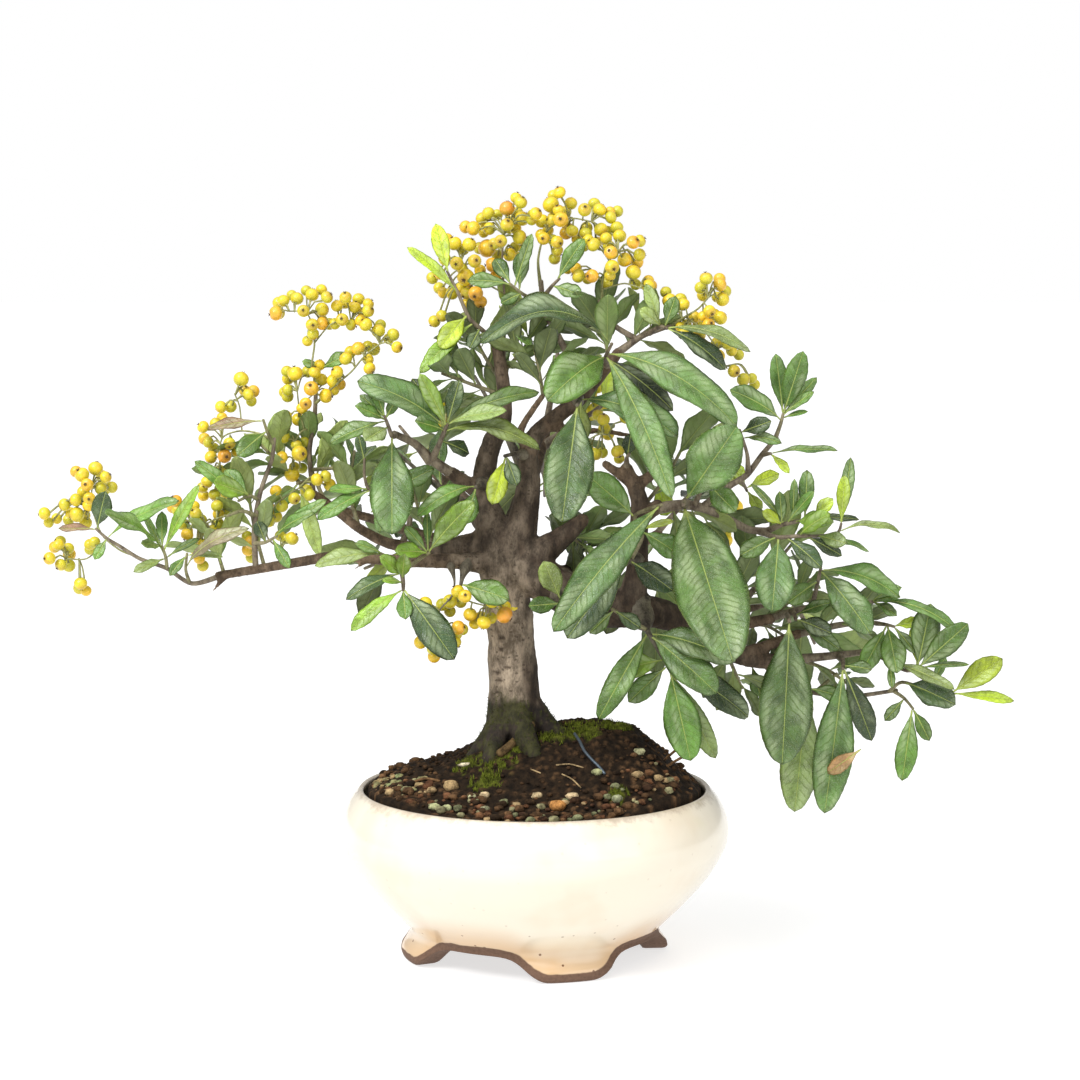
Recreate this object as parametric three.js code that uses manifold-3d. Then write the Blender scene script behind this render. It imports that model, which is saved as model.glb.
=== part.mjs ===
// A scarlet firethorn bonsai in its round four-footed bowl, in millimetres, +Z up.
// X runs to the right of the shown side, Y away from it, and Z = 0 is the table.
// The crown is laid out as it is seen: a place is given as across, up and toward the viewer,
// and the sight line through (across, up) is followed to the depth "toward".
import * as THREE from "three";
import { mergeVertices } from "three/addons/utils/BufferGeometryUtils.js";
import Module from "manifold-3d";

const wasm = await Module();
wasm.setup();
const { Manifold, Mesh: SolidMesh } = wasm;

// Where the plant is looked at from.
const VIEW_PITCH = THREE.MathUtils.degToRad(6.7);
const VIEW_DISTANCE = 1280;
const VIEW_ACROSS = 2.2;
const VIEW_UP = 164.4;

// Bowl.
const BOWL_SEGMENTS = 26;
const BOWL_OUTSIDE = [
  [48.6, 11],
  [53.6, 15.6],
  [61, 23],
  [70, 33.5],
  [76.4, 45],
  [77.2, 52],
  [75.6, 58],
  [72.8, 63],
  [69.6, 66.6],
];
const BOWL_INSIDE = [
  [67.6, 66.2],
  [69.4, 61],
  [71.6, 50],
  [64.5, 32],
  [47, 18],
];
const BOWL_UNDERSIDE = 11;
const FOOT_ANGLES = [16, 106, 196, 286];
const FOOT_LEVELS = [
  { z: 0, inner: 43.5, outer: 52.2, half: 15 },
  { z: 4.2, inner: 42.5, outer: 53, half: 17.5 },
  { z: 8.6, inner: 41, outer: 50, half: 23.5 },
  { z: 12.5, inner: 40, outer: 48.8, half: 33 },
];
const FOOT_FRONT = [-1, -0.35, 0.35, 1];
const FOOT_BACK = [1, -1];

// Soil: its crest from left to right, and how it falls off to the front and the back.
const SOIL_CLEARANCE = 0.5;
const SOIL_FLOOR = 24;
const SOIL_EDGE = 65.2;
const SOIL_CREST = [
  [-66, 66],
  [-55, 71],
  [-40, 76],
  [-30, 79.5],
  [-20, 85],
  [-8, 89],
  [8, 92],
  [26, 93],
  [40, 89],
  [50, 79],
  [58, 71],
  [66, 66],
];
const SOIL_DEPTH = 60;
const SOIL_FALL = 1.6;
const SOIL_LUMP = 0.9;
const SOIL_WALL_LEVELS = [SOIL_FLOOR, 36, 50, 61];
const SOIL_TOP = 66;
const SOIL_STEPS = 20;
const SOIL_RINGS = [66, 52, 36, 18];

// Leaves, berries and the gap kept between one node and the next.
const LEAF_THICKNESS = 1;
const LAST_SEAT = 0.88;
const STALK = 0.45;
const ROOT = 0.3;
const SHANK = 1.15;
const THINNEST = 0.9;
const GAP = 0.36;
const FINENESS = 0.04;
const LEAST_FACING = 0.35;
const WIDEST_LEAF = 0.5;
const SHIFTS = [0, 5, -5, 10, -10, 15, -15, 21, -21, 28, -28, 36, -36];
const SHORTEST = 15;
const BERRIES_KEPT = 0.42;
const BERRY_TRIES = 14;
const BERRY_ROOM = 0.3;

// Stations of a berry and its stalk, as shares of the radius.
const BALL_WIDE = 1.06;
const BALL_LOW = -0.36;
const BALL_HIGH = 0.46;
const BALL_HIGH_WIDE = 0.96;
const BALL_TIP = 1.03;
const STALK_END = -0.84;
const SEATED = 2.2;

// Stations along a leaf's blade: share of the length, share of the half width.
const LONG_LEAF = [
  [0.3, 0.78],
  [0.56, 1],
  [0.8, 0.76],
];
const MIDDLE_LEAF = [
  [0.38, 0.9],
  [0.7, 0.95],
];
const SHORT_LEAF = [[0.54, 1]];
const BLADE_START = 0.2;

// Back of the crown: a leaf there stays behind what is seen from the front.
const COVER_CELL = 1.2;
const HIDDEN_SHARE = 0.8;
const GOLDEN_ANGLE = 2.39996;
const BACK_TRIES = [0, 1, 2, 3, 4, 5, 6, 7, 8];
const BACK_SEATS = { first: 0.3, span: 1.6 };
const BACK_TURN = 0.9;
const BACK_LEAN = { least: 0.75, spread: 0.35, step: 0.06 };
const BACK_LENGTH = { least: 0.75, spread: 0.5, step: 0.05 };
const BACK_WIDTH = 0.36;
const BACK_ARCH = 0.06;
const DOME = { radius: 8.5, height: 7, slope: 0.6, lift: 2, seat: 0.09, berry: 2.9, growth: 0.5 };

const LOOKS = [
  ["bowl", 0xf4ead2, 0.3],
  ["soil", 0x3a2a20, 0.95],
  ["wood", 0x6e6152, 0.85],
  ["berries", 0xd9b73a, 0.35],
  ["leaves", 0x557a4b, 0.5],
  ["back", 0x557a4b, 0.5],
];

// Wood: [across, up, toward, radius] along each limb, branch, twig and thorn.
const WOOD = [
  [[-7, 66, 0, 13.5], [-8, 84, 0, 12.4], [-8, 100, 0, 10.6], [-9.3, 124, 0, 9.2], [-11, 141, 0, 9.2],
    [-13, 154, 0, 9.6], [-16, 166, -1, 7.6], [-19, 178, -2, 5]],
  [[-12.5, 95, 3, 5], [-18, 85, 8, 4.2], [-26, 76, 12, 2.6]],
  [[-1.5, 98, 2, 5], [6, 89, 6, 4.2], [18, 81, 12, 2.4]],
  [[-8, 96, 6, 6], [-3, 84, 16, 4.4], [5, 68, 26, 2.6]],
  [[-13, 92, 6, 5], [-17, 79, 17, 3.6], [-22, 66, 27, 2]],
  [[-8, 98, -4, 7], [-14, 86, -16, 4.5], [-20, 74, -26, 2.6]],
  [[-4, 98, -4, 7], [6, 88, -15, 4.4], [14, 78, -27, 2.4]],
  [[-17, 168, -1, 6], [-20, 180, -2, 5], [-20, 191, -3, 4.6], [-17, 203, -4, 4], [-13, 211, -4, 3.5],
    [-12, 222, -5, 3], [-15, 243, -6, 2.4]],
  [[-11, 156, 0, 8], [-5, 170, 2, 6.5], [-2.5, 186, 2, 4.8], [-2.5, 199, 2, 4], [1, 207, 1, 3.5],
    [9, 214, 0, 3.2], [17, 220, 0, 3.1], [30, 235, -3, 2.5], [34, 240, -4, 2]],
  [[-19, 181, -2, 4], [-27, 187, 1, 3], [-34, 191.5, 3, 2.7]],
  [[-18, 163, -1, 6], [-28, 162, -3, 4.6], [-40, 160.5, -6, 3.4], [-58, 163, -10, 2.3],
    [-70, 169, -12, 2], [-84, 180, -14, 1.8], [-91, 184.5, -15, 1.7]],
  [[-16, 156, 2, 6], [-24, 155.5, 5, 4], [-34, 156, 8, 3.1], [-54, 156, 11, 2.4],
    [-78, 158, 12, 2.2], [-94, 155.6, 12, 2], [-114, 152.2, 13, 1.9], [-127, 150, 14, 1.8]],
  [[-2, 200, 2, 2.6], [-6, 207, 2, 1.6], [3.5, 222.5, 4, 1.2]],
  [[21, 225, -2, 2.6], [14, 237, -5, 2.1]],
  [[5, 210.5, 0.5, 2.6], [16, 208, 0, 1.6], [27, 208, -3, 1.2], [40, 205.8, -5, 0.9]],
  [[-6, 154, 3, 8.5], [6, 147, 5, 8.6], [20, 139, 6, 8.4], [36, 137, 6, 7.6], [50, 135, 6, 6],
    [62, 130, 5, 4.6], [76, 121, 2, 4], [90, 116, 0, 3.2], [106, 116.8, -2, 2.6]],
  [[38, 137, 6, 6.5], [41, 150, 6, 4.6], [41.5, 165, 5, 3.9], [42, 180, 5, 3.6], [39, 188, 5, 2.8],
    [36.5, 194, 5, 2.3]],
  [[39, 187, 5, 2.4], [28, 195, 6, 1.6]],
  [[41, 186, 5, 2.6], [51, 193.6, 3, 1.8]],
  [[42, 172, 5, 3.2], [50, 178.5, 5, 2.7]],
  [[60, 131.5, 5, 4], [72, 129.5, 1, 3], [84, 131, -1, 2.5], [95, 133, -2, 2.2]],
  [[84, 119, 1, 3], [94, 122.5, -3, 2.3], [106, 127, -6, 2]],
  // Branches at the back.
  [[-15, 160, -2, 6], [-20, 170, -20, 4], [-30, 182, -44, 3], [-40, 191, -62, 2]],
  [[-10, 164, -2, 6], [-4, 182, -22, 3.8], [2, 200, -44, 2.8], [6, 214, -60, 2]],
  [[8, 148, -2, 6], [20, 152, -24, 3.8], [36, 160, -46, 2.8], [50, 167, -62, 2]],
  [[-18, 160, -4, 4], [-38, 164, -26, 2.8], [-62, 172, -42, 2.1], [-76, 176, -49, 1.7]],
  [[62, 129, 2, 3.6], [76, 134, -18, 2.6], [94, 140, -36, 2], [104, 142, -44, 1.7]],
];

// Leafy sprays. A stem is [across, up, toward, radius]. A leaf is
// [root across, root up, tip across, tip up, tip toward, seen width, tilt, arch].
// The tilt turns the upper face from the sky (0) to the viewer (90), and the root is taken
// to the nearest place on the stem.
const SPRAYS = {
  leaves_far_left: {
    stems: [
      [
        [-124.5, 150.4, 14, 1.7], [-137, 147, 15, 1.3], [-147, 153, 15, 1.2], [-158, 157, 14, 1.1],
        [-166, 162, 13, 1], [-171, 165, 14.5, 0.9], [-175.5, 169, 15, 0.75],
      ],
      [[-147, 153, 15, 1.1], [-147.5, 157.5, 18, 0.95], [-149, 162, 19, 0.75]],
      [[-138, 147.3, 15, 1.2], [-139.5, 152.5, 19, 0.9], [-139, 159, 21, 0.75]],
    ],
    leaves: [
      [-175, 168.5, -190.5, 169, 18, 3.5, 35, 0.5],
      [-175, 169, -171.5, 184, 22, 7, 80, 1],
      [-171, 165, -176, 156.5, 20, 4, 75, 0.5],
      [-171, 165, -142, 180, 24, 5, 35, 3],
      [-149, 162, -172, 175, 30, 4.5, 40, 2],
      [-147.5, 158, -156.5, 175.5, 12, 3, 60, 1],
      [-148, 160, -134, 186.5, 30, 4.5, 60, 2],
      [-149, 162, -149, 176, 19, 5, 80, 1],
      [-149, 161.5, -157.5, 163, 26, 3, 50, 0.5],
      [-147.5, 157, -160.5, 151.5, 24, 4, 60, 1],
      [-147.5, 157, -134, 165, 12, 3, 50, 1],
      [-139, 153, -114, 169, 30, 8, 45, 5],
      [-139, 159, -124.5, 157.5, 25, 2.5, 40, 1],
      [-139, 158, -146, 150, 26, 4, 60, 1],
    ],
  },
  leaves_left_twig: {
    stems: [
      [
        [-111.5, 152.6, 13, 1.7], [-112, 170, 11, 1.5], [-109.5, 184, 7, 1.3], [-105, 197, 4, 1.2],
        [-104, 205, 3, 1],
      ],
      [[-110.5, 180.5, 8, 1.2], [-114, 182, 12, 0.95], [-118.5, 180, 14, 0.75]],
      [[-112, 163, 12, 1.4], [-107.5, 163.5, 17, 0.95], [-103, 166, 18, 0.75]],
      [[-104.4, 202.5, 3, 1.1], [-107, 208, 7, 0.9], [-108.5, 212.5, 9, 0.75]],
      [[-111, 174, 10, 1.2], [-117, 176, 14, 1], [-123, 174, 16, 0.8]],
    ],
    leaves: [
      [-118, 180, -136, 196, 18, 6, 55, 2],
      [-114, 182, -128.5, 187.5, 24, 9, 60, 1],
      [-114, 182, -124, 192.5, 8, 7, 70, 1],
      [-104, 165.5, -88, 175.5, 26, 4, 45, 2],
      [-103, 166, -83, 180.5, 16, 5, 55, 2],
      [-107.5, 163.5, -111, 172, 24, 4.5, 75, 0.5],
      [-105, 165, -98, 153, 26, 4.5, 65, 1],
      [-107, 208, -119, 198, 16, 10, 75, 1],
      [-108.5, 212.5, -131, 209, 12, 4.5, 40, 1],
    ],
  },
  leaves_left_upright: {
    stems: [
      [
        [-88.5, 182.8, -14.7, 1.6], [-90, 200, -18, 1.4], [-88, 213, -20, 1.3], [-87, 230, -22, 1.1],
        [-85.5, 233, -18, 0.85],
      ],
      [[-89.4, 188, -15.8, 1.4], [-95, 187, -10, 0.9]],
      [[-89.5, 192.5, -16.5, 1.2], [-76, 193.5, -15, 0.9]],
    ],
    leaves: [
      [-94, 186, -86, 158, -4, 6.5, 70, 2],
      [-94.5, 186, -104, 175, -4, 5, 60, 1],
      [-85.6, 232.6, -74, 238.5, -14, 5, 60, 1],
      [-85.6, 232.8, -93, 236, -16, 3.5, 60, 0.5],
    ],
  },
  leaves_left_crown: {
    stems: [
      [[-31, 189.6, 2.2, 2.7], [-41, 196.5, 6, 2.4], [-48, 203, 8, 2.1], [-56.5, 207, 10, 1.8]],
      [[-55, 206.5, 10, 1.9], [-57, 206, 17, 1.3], [-58.5, 210, 20, 1.1], [-60, 214, 22, 0.8]],
      [[-41, 196.5, 6, 2.2], [-38, 203, 13, 1.5], [-36, 208, 16, 1.3], [-34.8, 210.8, 17, 1]],
    ],
    leaves: [
      [-59, 212, -72, 218, 28, 4.5, 50, 1],
      [-59.5, 213, -70, 222.5, 20, 4.5, 60, 1],
      [-60, 214, -64, 225, 22, 4.5, 80, 0.5],
      [-59.5, 213, -55, 221, 26, 4, 80, 0.5],
      [-59, 212, -82, 203, 22, 6.5, 45, 2],
      [-58, 209.5, -68, 204, 34, 7, 60, 1],
      [-57, 206, -57, 166.5, 34, 17, 88, 2],
      [-36.3, 209, -71, 228, 22, 12, 50, 6],
      [-35.8, 209.5, -49, 229, 8, 8, 75, 2],
      [-35.3, 210, -46, 231, 28, 6, 70, 2],
      [-34.8, 210.8, -30, 228.5, 24, 6.5, 85, 1],
      [-34.8, 210.8, -11, 216, 30, 5, 45, 2],
      [-34.8, 210.8, 2, 223.6, 16, 7, 40, 4],
      [-36, 207.5, 2.2, 200.4, 26, 6.5, 35, 7],
      [-36, 208, -48, 212, 26, 7, 60, 1],
      [-37.5, 204, -26, 199, 8, 6, 60, 1],
    ],
  },
  leaves_crown_left: {
    stems: [
      [
        [-14.6, 241, -6, 2.3], [-20, 247.5, -2, 1.5], [-26, 253, 1, 1.2], [-30.5, 263, 2, 1],
        [-35, 272, 3, 0.75],
      ],
    ],
    leaves: [
      [-27, 254.5, -38, 241, 10, 8, 70, 1],
      [-22, 249, -26, 241, 8, 8, 80, 0.5],
      [-30.5, 263, -51, 281.5, 8, 4.5, 50, 2],
      [-35, 272, -39.5, 291, 6, 7, 80, 1],
      [-24, 251.5, -46, 231, 16, 6.5, 55, 3],
    ],
  },
  leaves_crown_middle: {
    stems: [
      [[15, 235, -4.6, 2], [9, 247, -7, 1.8], [4, 256, -8, 1.6], [2.5, 268, -9, 1.4]],
      [[-1, 260.8, -6.6, 1.3], [-5, 263, 0, 1], [-10, 267, 2, 0.75]],
      [[3.2, 261, -8.5, 1.6], [7, 266, -3, 1], [10, 269, -1, 0.8]],
      [[4.5, 255, -8, 1.4], [-1, 260.8, -6.6, 1.3]],
    ],
    leaves: [
      [-5, 263, -13.5, 259, 6, 6, 70, 1],
      [-10, 267, -16, 277, -2, 6, 70, 1],
      [-6, 264, -5, 280, -4, 6.5, 75, 1],
      [-8, 265.5, -1, 287, 4, 5, 75, 1],
      [-9, 266.5, -27, 268, 4, 6, 60, 2],
      [9, 268, 20, 285, 2, 7, 65, 2],
      [7, 266, 19, 262, 4, 6, 60, 1],
    ],
  },
  leaves_crown_arching: {
    stems: [
      [[29, 233.8, -3, 2.6], [28.5, 236.5, 6, 1.5], [28.5, 238, 12, 1.1], [31, 243, 15, 0.9]],
    ],
    leaves: [
      [31, 243, -22, 243, 26, 9.5, 30, 16],
      [28.5, 237.5, 5, 220, 36, 15, 65, 6],
      [28.5, 238, 55, 181, 46, 12, 60, 10],
      [28.8, 239, 81, 210, 30, 14, 50, 11],
      [28.5, 237, 55.5, 216, 12, 9, 60, 4],
    ],
  },
  leaves_crown_right: {
    stems: [
      [[33.5, 239.5, -3.8, 2.2], [43, 246, -6, 1.7], [49.5, 248.5, -8, 1.5], [57, 251, -10, 1.3]],
      [[46, 247.2, -7, 1.8], [50.5, 249.8, 0, 1.15], [53, 249, 4, 0.9]],
      [[41, 244.6, -5.5, 1.7], [31, 251, -7, 1.5], [26, 260, -7, 1.3]],
    ],
    leaves: [
      [53, 249, 86.5, 239.5, 12, 5, 40, 5],
      [52, 249.3, 56.5, 262, 3, 8, 80, 1],
      [50.5, 249.8, 42, 257, 5, 8, 70, 1],
      [53, 249, 76.5, 232.5, 2, 7.5, 55, 4],
      [50.5, 249.8, 44.5, 267, 1, 5.5, 75, 1],
    ],
  },
  leaves_centre_long: {
    stems: [
      [[17, 220, 0, 3.2], [18.5, 221.5, 16, 1.6], [17, 218.5, 34, 1.2]],
    ],
    leaves: [
      [17, 218.5, 11, 171.5, 52, 19, 88, 3],
      [18, 220.5, 57, 206, 36, 13, 45, 7],
      [18.5, 221.5, 18, 203, 14, 9.5, 75, 1],
    ],
  },
  leaves_centre_cut: {
    stems: [
      [[36.8, 193, 5, 2.3], [37, 197.5, 10, 1], [38, 199, 12, 0.8]],
    ],
    leaves: [
      [36.8, 197, 38.5, 207, 15, 7.5, 85, 0.5],
    ],
  },
  leaves_centre_lime: {
    stems: [
      [[47, 191, 4, 2.1], [48, 189.5, -4, 1.1], [49, 189, -9, 0.85]],
    ],
    leaves: [
      [48.5, 189.5, 48, 212, -12, 8, 80, 1],
      [48.8, 189, 53, 174, -12, 7.5, 75, 1],
    ],
  },
  leaves_centre: {
    stems: [
      [[41, 157, 6, 4.2], [38.5, 156.5, 15, 1.5], [36.5, 154.5, 21, 1.1]],
      [
        [38.5, 156.5, 15, 1.3], [43, 166, 16, 1.2], [40, 173.5, 15, 1.1], [45, 176.5, 20, 1.2],
        [51, 178.5, 27, 1],
      ],
    ],
    leaves: [
      [40, 173.5, 21, 190.5, 22, 12, 70, 2],
      [50.5, 178.3, 7.5, 127.6, 46, 15, 62, 8],
      [45, 169, 59, 157.5, 22, 9, 60, 2],
      [46, 169.7, 56, 172, 16, 3, 50, 1],
      [36.5, 154.5, 13, 125, 34, 14, 60, 4],
      [38, 156, 55.5, 144, 28, 11, 65, 2],
      [38, 156, 31, 168, 19, 6, 75, 1],
    ],
  },
  leaves_inner_left: {
    stems: [
      [[-20, 187, -2.5, 4.8], [-22, 186.5, 7, 1.5], [-23.5, 185.5, 11, 1.1]],
    ],
    leaves: [
      [-23, 185.8, -47, 174, 20, 6.5, 50, 5],
      [-23.3, 185.6, -28, 170.5, 15, 9, 80, 1],
    ],
  },
  leaves_inner_middle: {
    stems: [
      [[-2.6, 198, 2, 4.2], [-7, 199, 8, 1.4], [-12, 198, 12, 1]],
    ],
    leaves: [
      [-11.5, 198, -7, 186, 18, 8.5, 85, 1],
      [-12, 198, -17, 178.5, 15, 8.5, 85, 1],
    ],
  },
  leaves_low_left: {
    stems: [
      [[-54, 156, 11, 2.5], [-53, 151, 17, 1.4], [-52.5, 147, 19, 1.2], [-52.5, 144.2, 20, 0.9]],
      [[-53, 151.5, 16.5, 1.2], [-56, 156, 18, 1.1], [-61.5, 159, 20, 0.9]],
      [[-53, 151.5, 16.5, 1.2], [-47, 156, 17, 1.1], [-42, 159.5, 19, 1]],
    ],
    leaves: [
      [-53, 150, -62, 158, 27, 4.5, 60, 1],
      [-52.8, 149, -52, 159, 29, 4, 80, 1],
      [-52.5, 144.3, -73.5, 128, 26, 6.5, 55, 3],
      [-52.5, 144.3, -51.5, 132.5, 28, 7.5, 85, 0.5],
      [-52.5, 145, -32, 116.5, 30, 13.5, 75, 3],
      [-53, 151, -75.5, 140.5, 22, 6, 50, 3],
      [-52.5, 147, -61, 148, 25, 2.5, 50, 1],
      [-61, 158.8, -88, 154, 24, 6.5, 45, 3],
      [-60.5, 158.7, -72, 163, 24, 4, 50, 1],
      [-41.7, 158, -24, 180, 26, 9.5, 65, 3],
      [-42, 159.5, -56, 160, 26, 7.5, 60, 1],
      [-41.9, 159, -43, 176, 16, 3.5, 75, 1],
      [-42, 159.5, -52, 170, 19, 5, 70, 1],
    ],
  },
  leaves_trunk_side: {
    stems: [
      [[-27, 155.6, 6, 3.7], [-29, 149, 15, 1.3], [-29.5, 146.3, 18, 1]],
    ],
    leaves: [
      [-29.5, 146.5, -10, 140.5, 27, 13.5, 70, 2],
    ],
  },
  leaves_trunk_front: {
    stems: [
      [[9, 145.3, 5, 8.6], [10.5, 141, 17, 1.3], [10.5, 138.8, 20, 1]],
    ],
    leaves: [
      [10.5, 139, -2.5, 138, 26, 9, 80, 1],
      [10.5, 140.5, 3.5, 156, 24, 9, 80, 1],
    ],
  },
  leaves_left_behind: {
    stems: [
      [[-53.5, 161.6, -9, 2], [-50, 171, -10, 1.6], [-50, 180, -10, 1.5]],
      [
        [-50, 179, -10, 1.7], [-58, 183.5, -4, 1.1], [-66, 184.5, 0, 0.95], [-68, 190, 1, 0.85],
        [-68, 197, 1, 0.75],
      ],
    ],
    leaves: [
      [-66, 184.5, -82.6, 184, 4, 4, 40, 1],
      [-65, 184.4, -87, 172.4, 8, 6, 50, 2],
      [-68, 197, -70.5, 206.5, 3, 4.5, 80, 0.5],
      [-58, 183.5, -40, 193, -2, 7.5, 60, 1],
      [-59, 183.7, -62, 167, 0, 6.5, 80, 1],
    ],
  },
  leaves_right_branch: {
    stems: [
      [
        [48, 176.9, 5, 2.8], [60, 178.5, 6, 2.5], [68, 177, 6, 2.3], [77, 173, 6, 2.1],
        [86, 168.5, 7, 2], [94, 168, 7, 1.9],
      ],
      [[60, 178.5, 6, 2.6], [60.5, 180.5, 22, 1.6], [59.5, 178.5, 38, 1.2]],
      [[64, 177.8, 6, 2.1], [66.5, 184, 13, 1.1], [68.5, 188.5, 17, 0.9]],
      [[93, 168, 7, 2], [99, 170.5, 12, 1.3], [106, 172, 14, 1.1], [112, 173.5, 15, 0.8]],
      [
        [90, 167.9, 7, 2.1], [97, 165.5, 16, 1.3], [106, 166, 19, 1.1], [114, 166, 18, 0.95],
        [121.5, 167.5, 17, 0.85], [122.7, 171, 17, 0.75],
      ],
    ],
    leaves: [
      [59.5, 178.5, 79.4, 115.6, 58, 23, 85, 4],
      [60.3, 180.3, 81, 210, 44, 20, 80, 3],
      [60.3, 180, 67.5, 193.5, 18, 6.5, 80, 1],
      [68.5, 188.5, 80.5, 175.5, 28, 10.5, 80, 1],
      [99, 170.5, 98, 184, 16, 4.5, 80, 1],
      [103, 171.5, 104, 189, 17, 3.5, 80, 1],
      [108, 172.5, 109, 192.5, 12, 6.5, 75, 2],
      [112, 173.5, 119.5, 181, 18, 5.5, 65, 1],
      [104, 171.5, 119, 171, 24, 6.5, 55, 2],
      [110, 173, 130, 172.5, 12, 3, 40, 1],
      [100, 170.8, 86.5, 187, 12, 3, 60, 2],
      [101, 171, 112, 184, 22, 4, 60, 1],
      [99, 170.4, 91, 176, 16, 6, 65, 1],
      [122.7, 171, 124, 190.5, 19, 5.5, 80, 1],
      [122.6, 170.5, 126.5, 197.5, 12, 5.5, 80, 2],
      [121.5, 167.5, 146.5, 167, 18, 3, 25, 4],
      [113, 166, 125, 163, 26, 7.5, 70, 1],
      [108, 166, 123, 158, 20, 5.5, 60, 1],
      [109, 166, 134, 159.7, 14, 2.5, 30, 2],
      [106, 166, 118.5, 175, 28, 6, 55, 2],
      [97.5, 165.5, 95, 135.6, 32, 15, 88, 2],
      [100, 165.6, 115, 153, 26, 7, 60, 2],
      [97, 165.5, 82, 158, 20, 9, 65, 2],
    ],
  },
  leaves_right_twig: {
    stems: [
      [
        [67, 177.5, 6, 2], [78, 186, 6, 1.8], [85, 190.5, 6, 1.7], [91, 198.5, 6.5, 1.5],
        [97, 205.5, 7, 1.2],
      ],
      [[82, 188.6, 6, 1.8], [84, 186, 0, 1], [85, 184, -5, 0.8]],
      [[96, 204.2, 7, 1.4], [98.5, 211, 10, 1.05], [99.5, 215, 11, 0.85]],
      [[91, 198.5, 6.5, 1.6], [94.5, 199, 12, 0.85]],
      [[85.5, 191, 6, 1.8], [85, 199, 13, 1.05], [82, 208.5, 17, 0.85]],
    ],
    leaves: [
      [84.5, 185, 98, 191, -6, 5.5, 60, 1],
      [85, 184, 90.5, 175.5, -4, 8.5, 70, 1],
      [84.5, 185, 79.5, 195, -8, 7, 75, 1],
      [84.5, 185, 72, 193, -8, 4, 60, 1],
      [99.5, 215, 96.5, 239, 12, 7, 85, 1],
      [99.5, 215, 107.5, 240, 15, 8.5, 85, 1],
      [99.5, 214.5, 113, 229.5, 9, 5, 70, 1],
      [99.3, 214, 112, 223.8, 15, 4, 50, 1],
      [99, 213, 109.5, 215.8, 13, 2.2, 40, 0.5],
      [98.7, 212, 78, 224.5, 16, 8, 55, 3],
      [94.4, 199, 121.4, 200, 16, 3, 25, 1.5],
      [94.4, 199, 102, 191, 16, 3.5, 50, 1],
      [82, 208.3, 94.8, 212, 22, 11, 75, 1],
      [83.2, 205, 99, 203, 22, 4, 45, 2],
      [82.3, 207.5, 74, 201, 14, 4, 60, 1],
    ],
  },
  leaves_right_middle: {
    stems: [
      [[92, 132.4, -1.7, 2.2], [105, 136.3, -3, 1.9], [121, 139.8, -3, 1.4]],
      [[111, 137.6, -3, 1.8], [113, 146, 5, 1.2], [114.5, 153, 10, 0.95]],
      [[103, 135.7, -3, 2.1], [104, 134.5, 5, 1.2], [104.5, 132.5, 9, 0.95]],
      [[99, 134.4, -2.5, 2.2], [101, 134.5, 16, 1.5], [102, 131.8, 30, 1.15]],
      [[119.5, 139.5, -3, 1.6], [129, 140.5, 0, 1.1], [136, 139.5, 1, 0.85]],
    ],
    leaves: [
      [114.5, 153, 134.5, 126.8, 24, 13, 68, 4],
      [114.5, 152.8, 146, 141.5, 12, 9, 45, 6],
      [113.3, 148, 101, 139, 12, 12, 72, 2],
      [104.5, 132.5, 119, 127, 16, 9.5, 65, 1],
      [104.5, 132.5, 122, 120.5, 10, 7, 60, 1],
      [104.1, 134, 119, 139.5, 12, 4.5, 45, 1],
      [102, 132, 99, 74.4, 44, 22, 88, 3],
      [136, 139.5, 171, 126, 10, 4.6, 40, 7],
      [135, 139.7, 147, 145.5, 5, 4.2, 45, 1.5],
      [135, 139.6, 146.5, 141.5, 9, 3.2, 45, 1],
      [135.5, 139.5, 145, 134, 6, 4.2, 50, 1],
    ],
  },
  leaves_right_low: {
    stems: [
      [
        [92, 115.6, -0.2, 2.2], [99, 107, -3, 1.7], [112, 103.3, -5, 1.4], [126, 101.8, -4, 1.3],
        [145, 104.3, -2, 1.1],
      ],
      [[108, 104.4, -4.5, 1.7], [108.6, 104.8, 4, 1], [110, 105, 7, 0.85]],
      [[143.5, 104.1, -2, 1.3], [148, 101, 1, 0.95], [151.5, 96.8, 2, 0.8]],
      [[142, 103.9, -2, 1.3], [147, 107.5, 3, 1], [157, 104.5, 2, 0.9], [168, 102.8, 2, 0.8]],
      [[112, 103.4, -5, 1.2], [121, 111, -5, 0.9]],
    ],
    leaves: [
      [109, 104.9, 104, 55.6, 14, 16, 85, 2],
      [110, 105, 123, 101.5, 8, 8.5, 60, 1],
      [151.4, 97, 147, 68, 6, 9, 80, 1],
      [151.4, 97, 158, 84, 4, 6, 75, 1],
      [148, 101, 140, 92, 2, 5, 70, 1],
      [147.5, 107.3, 168.5, 98.5, 14, 13, 60, 2],
      [168, 102.8, 187.3, 117, 4, 10, 68, 2],
      [168, 102.8, 192, 100, 4, 4.5, 50, 1],
      [158, 104.3, 164.5, 118, -2, 4, 75, 1],
    ],
  },
  leaves_right_outer: {
    stems: [
      [[103, 116.6, -1.7, 2.5], [122, 118.4, -3, 2], [138, 120.5, -3, 1.5]],
      [[122, 118.4, -3, 2.2], [123.4, 115.5, 8, 1.3], [123.4, 113, 14, 1]],
      [[135, 120.1, -3, 1.7], [142, 115.5, 3, 1.2], [149, 112, 5, 1], [153.5, 113, 5, 0.85]],
    ],
    leaves: [
      [123.4, 113, 116, 55, 30, 16, 85, 3],
      [123.4, 113.5, 135, 84, 8, 9, 75, 2],
      [123.4, 114, 135, 112.5, 16, 6.5, 60, 1],
      [153.4, 113, 158.5, 139, 8, 11.5, 85, 1],
      [153.2, 113, 153, 132, 0, 7, 80, 1],
      [153.5, 113, 173.5, 131, 10, 9.5, 75, 1],
      [153.5, 113, 174, 114.5, 10, 2.6, 35, 1],
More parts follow.
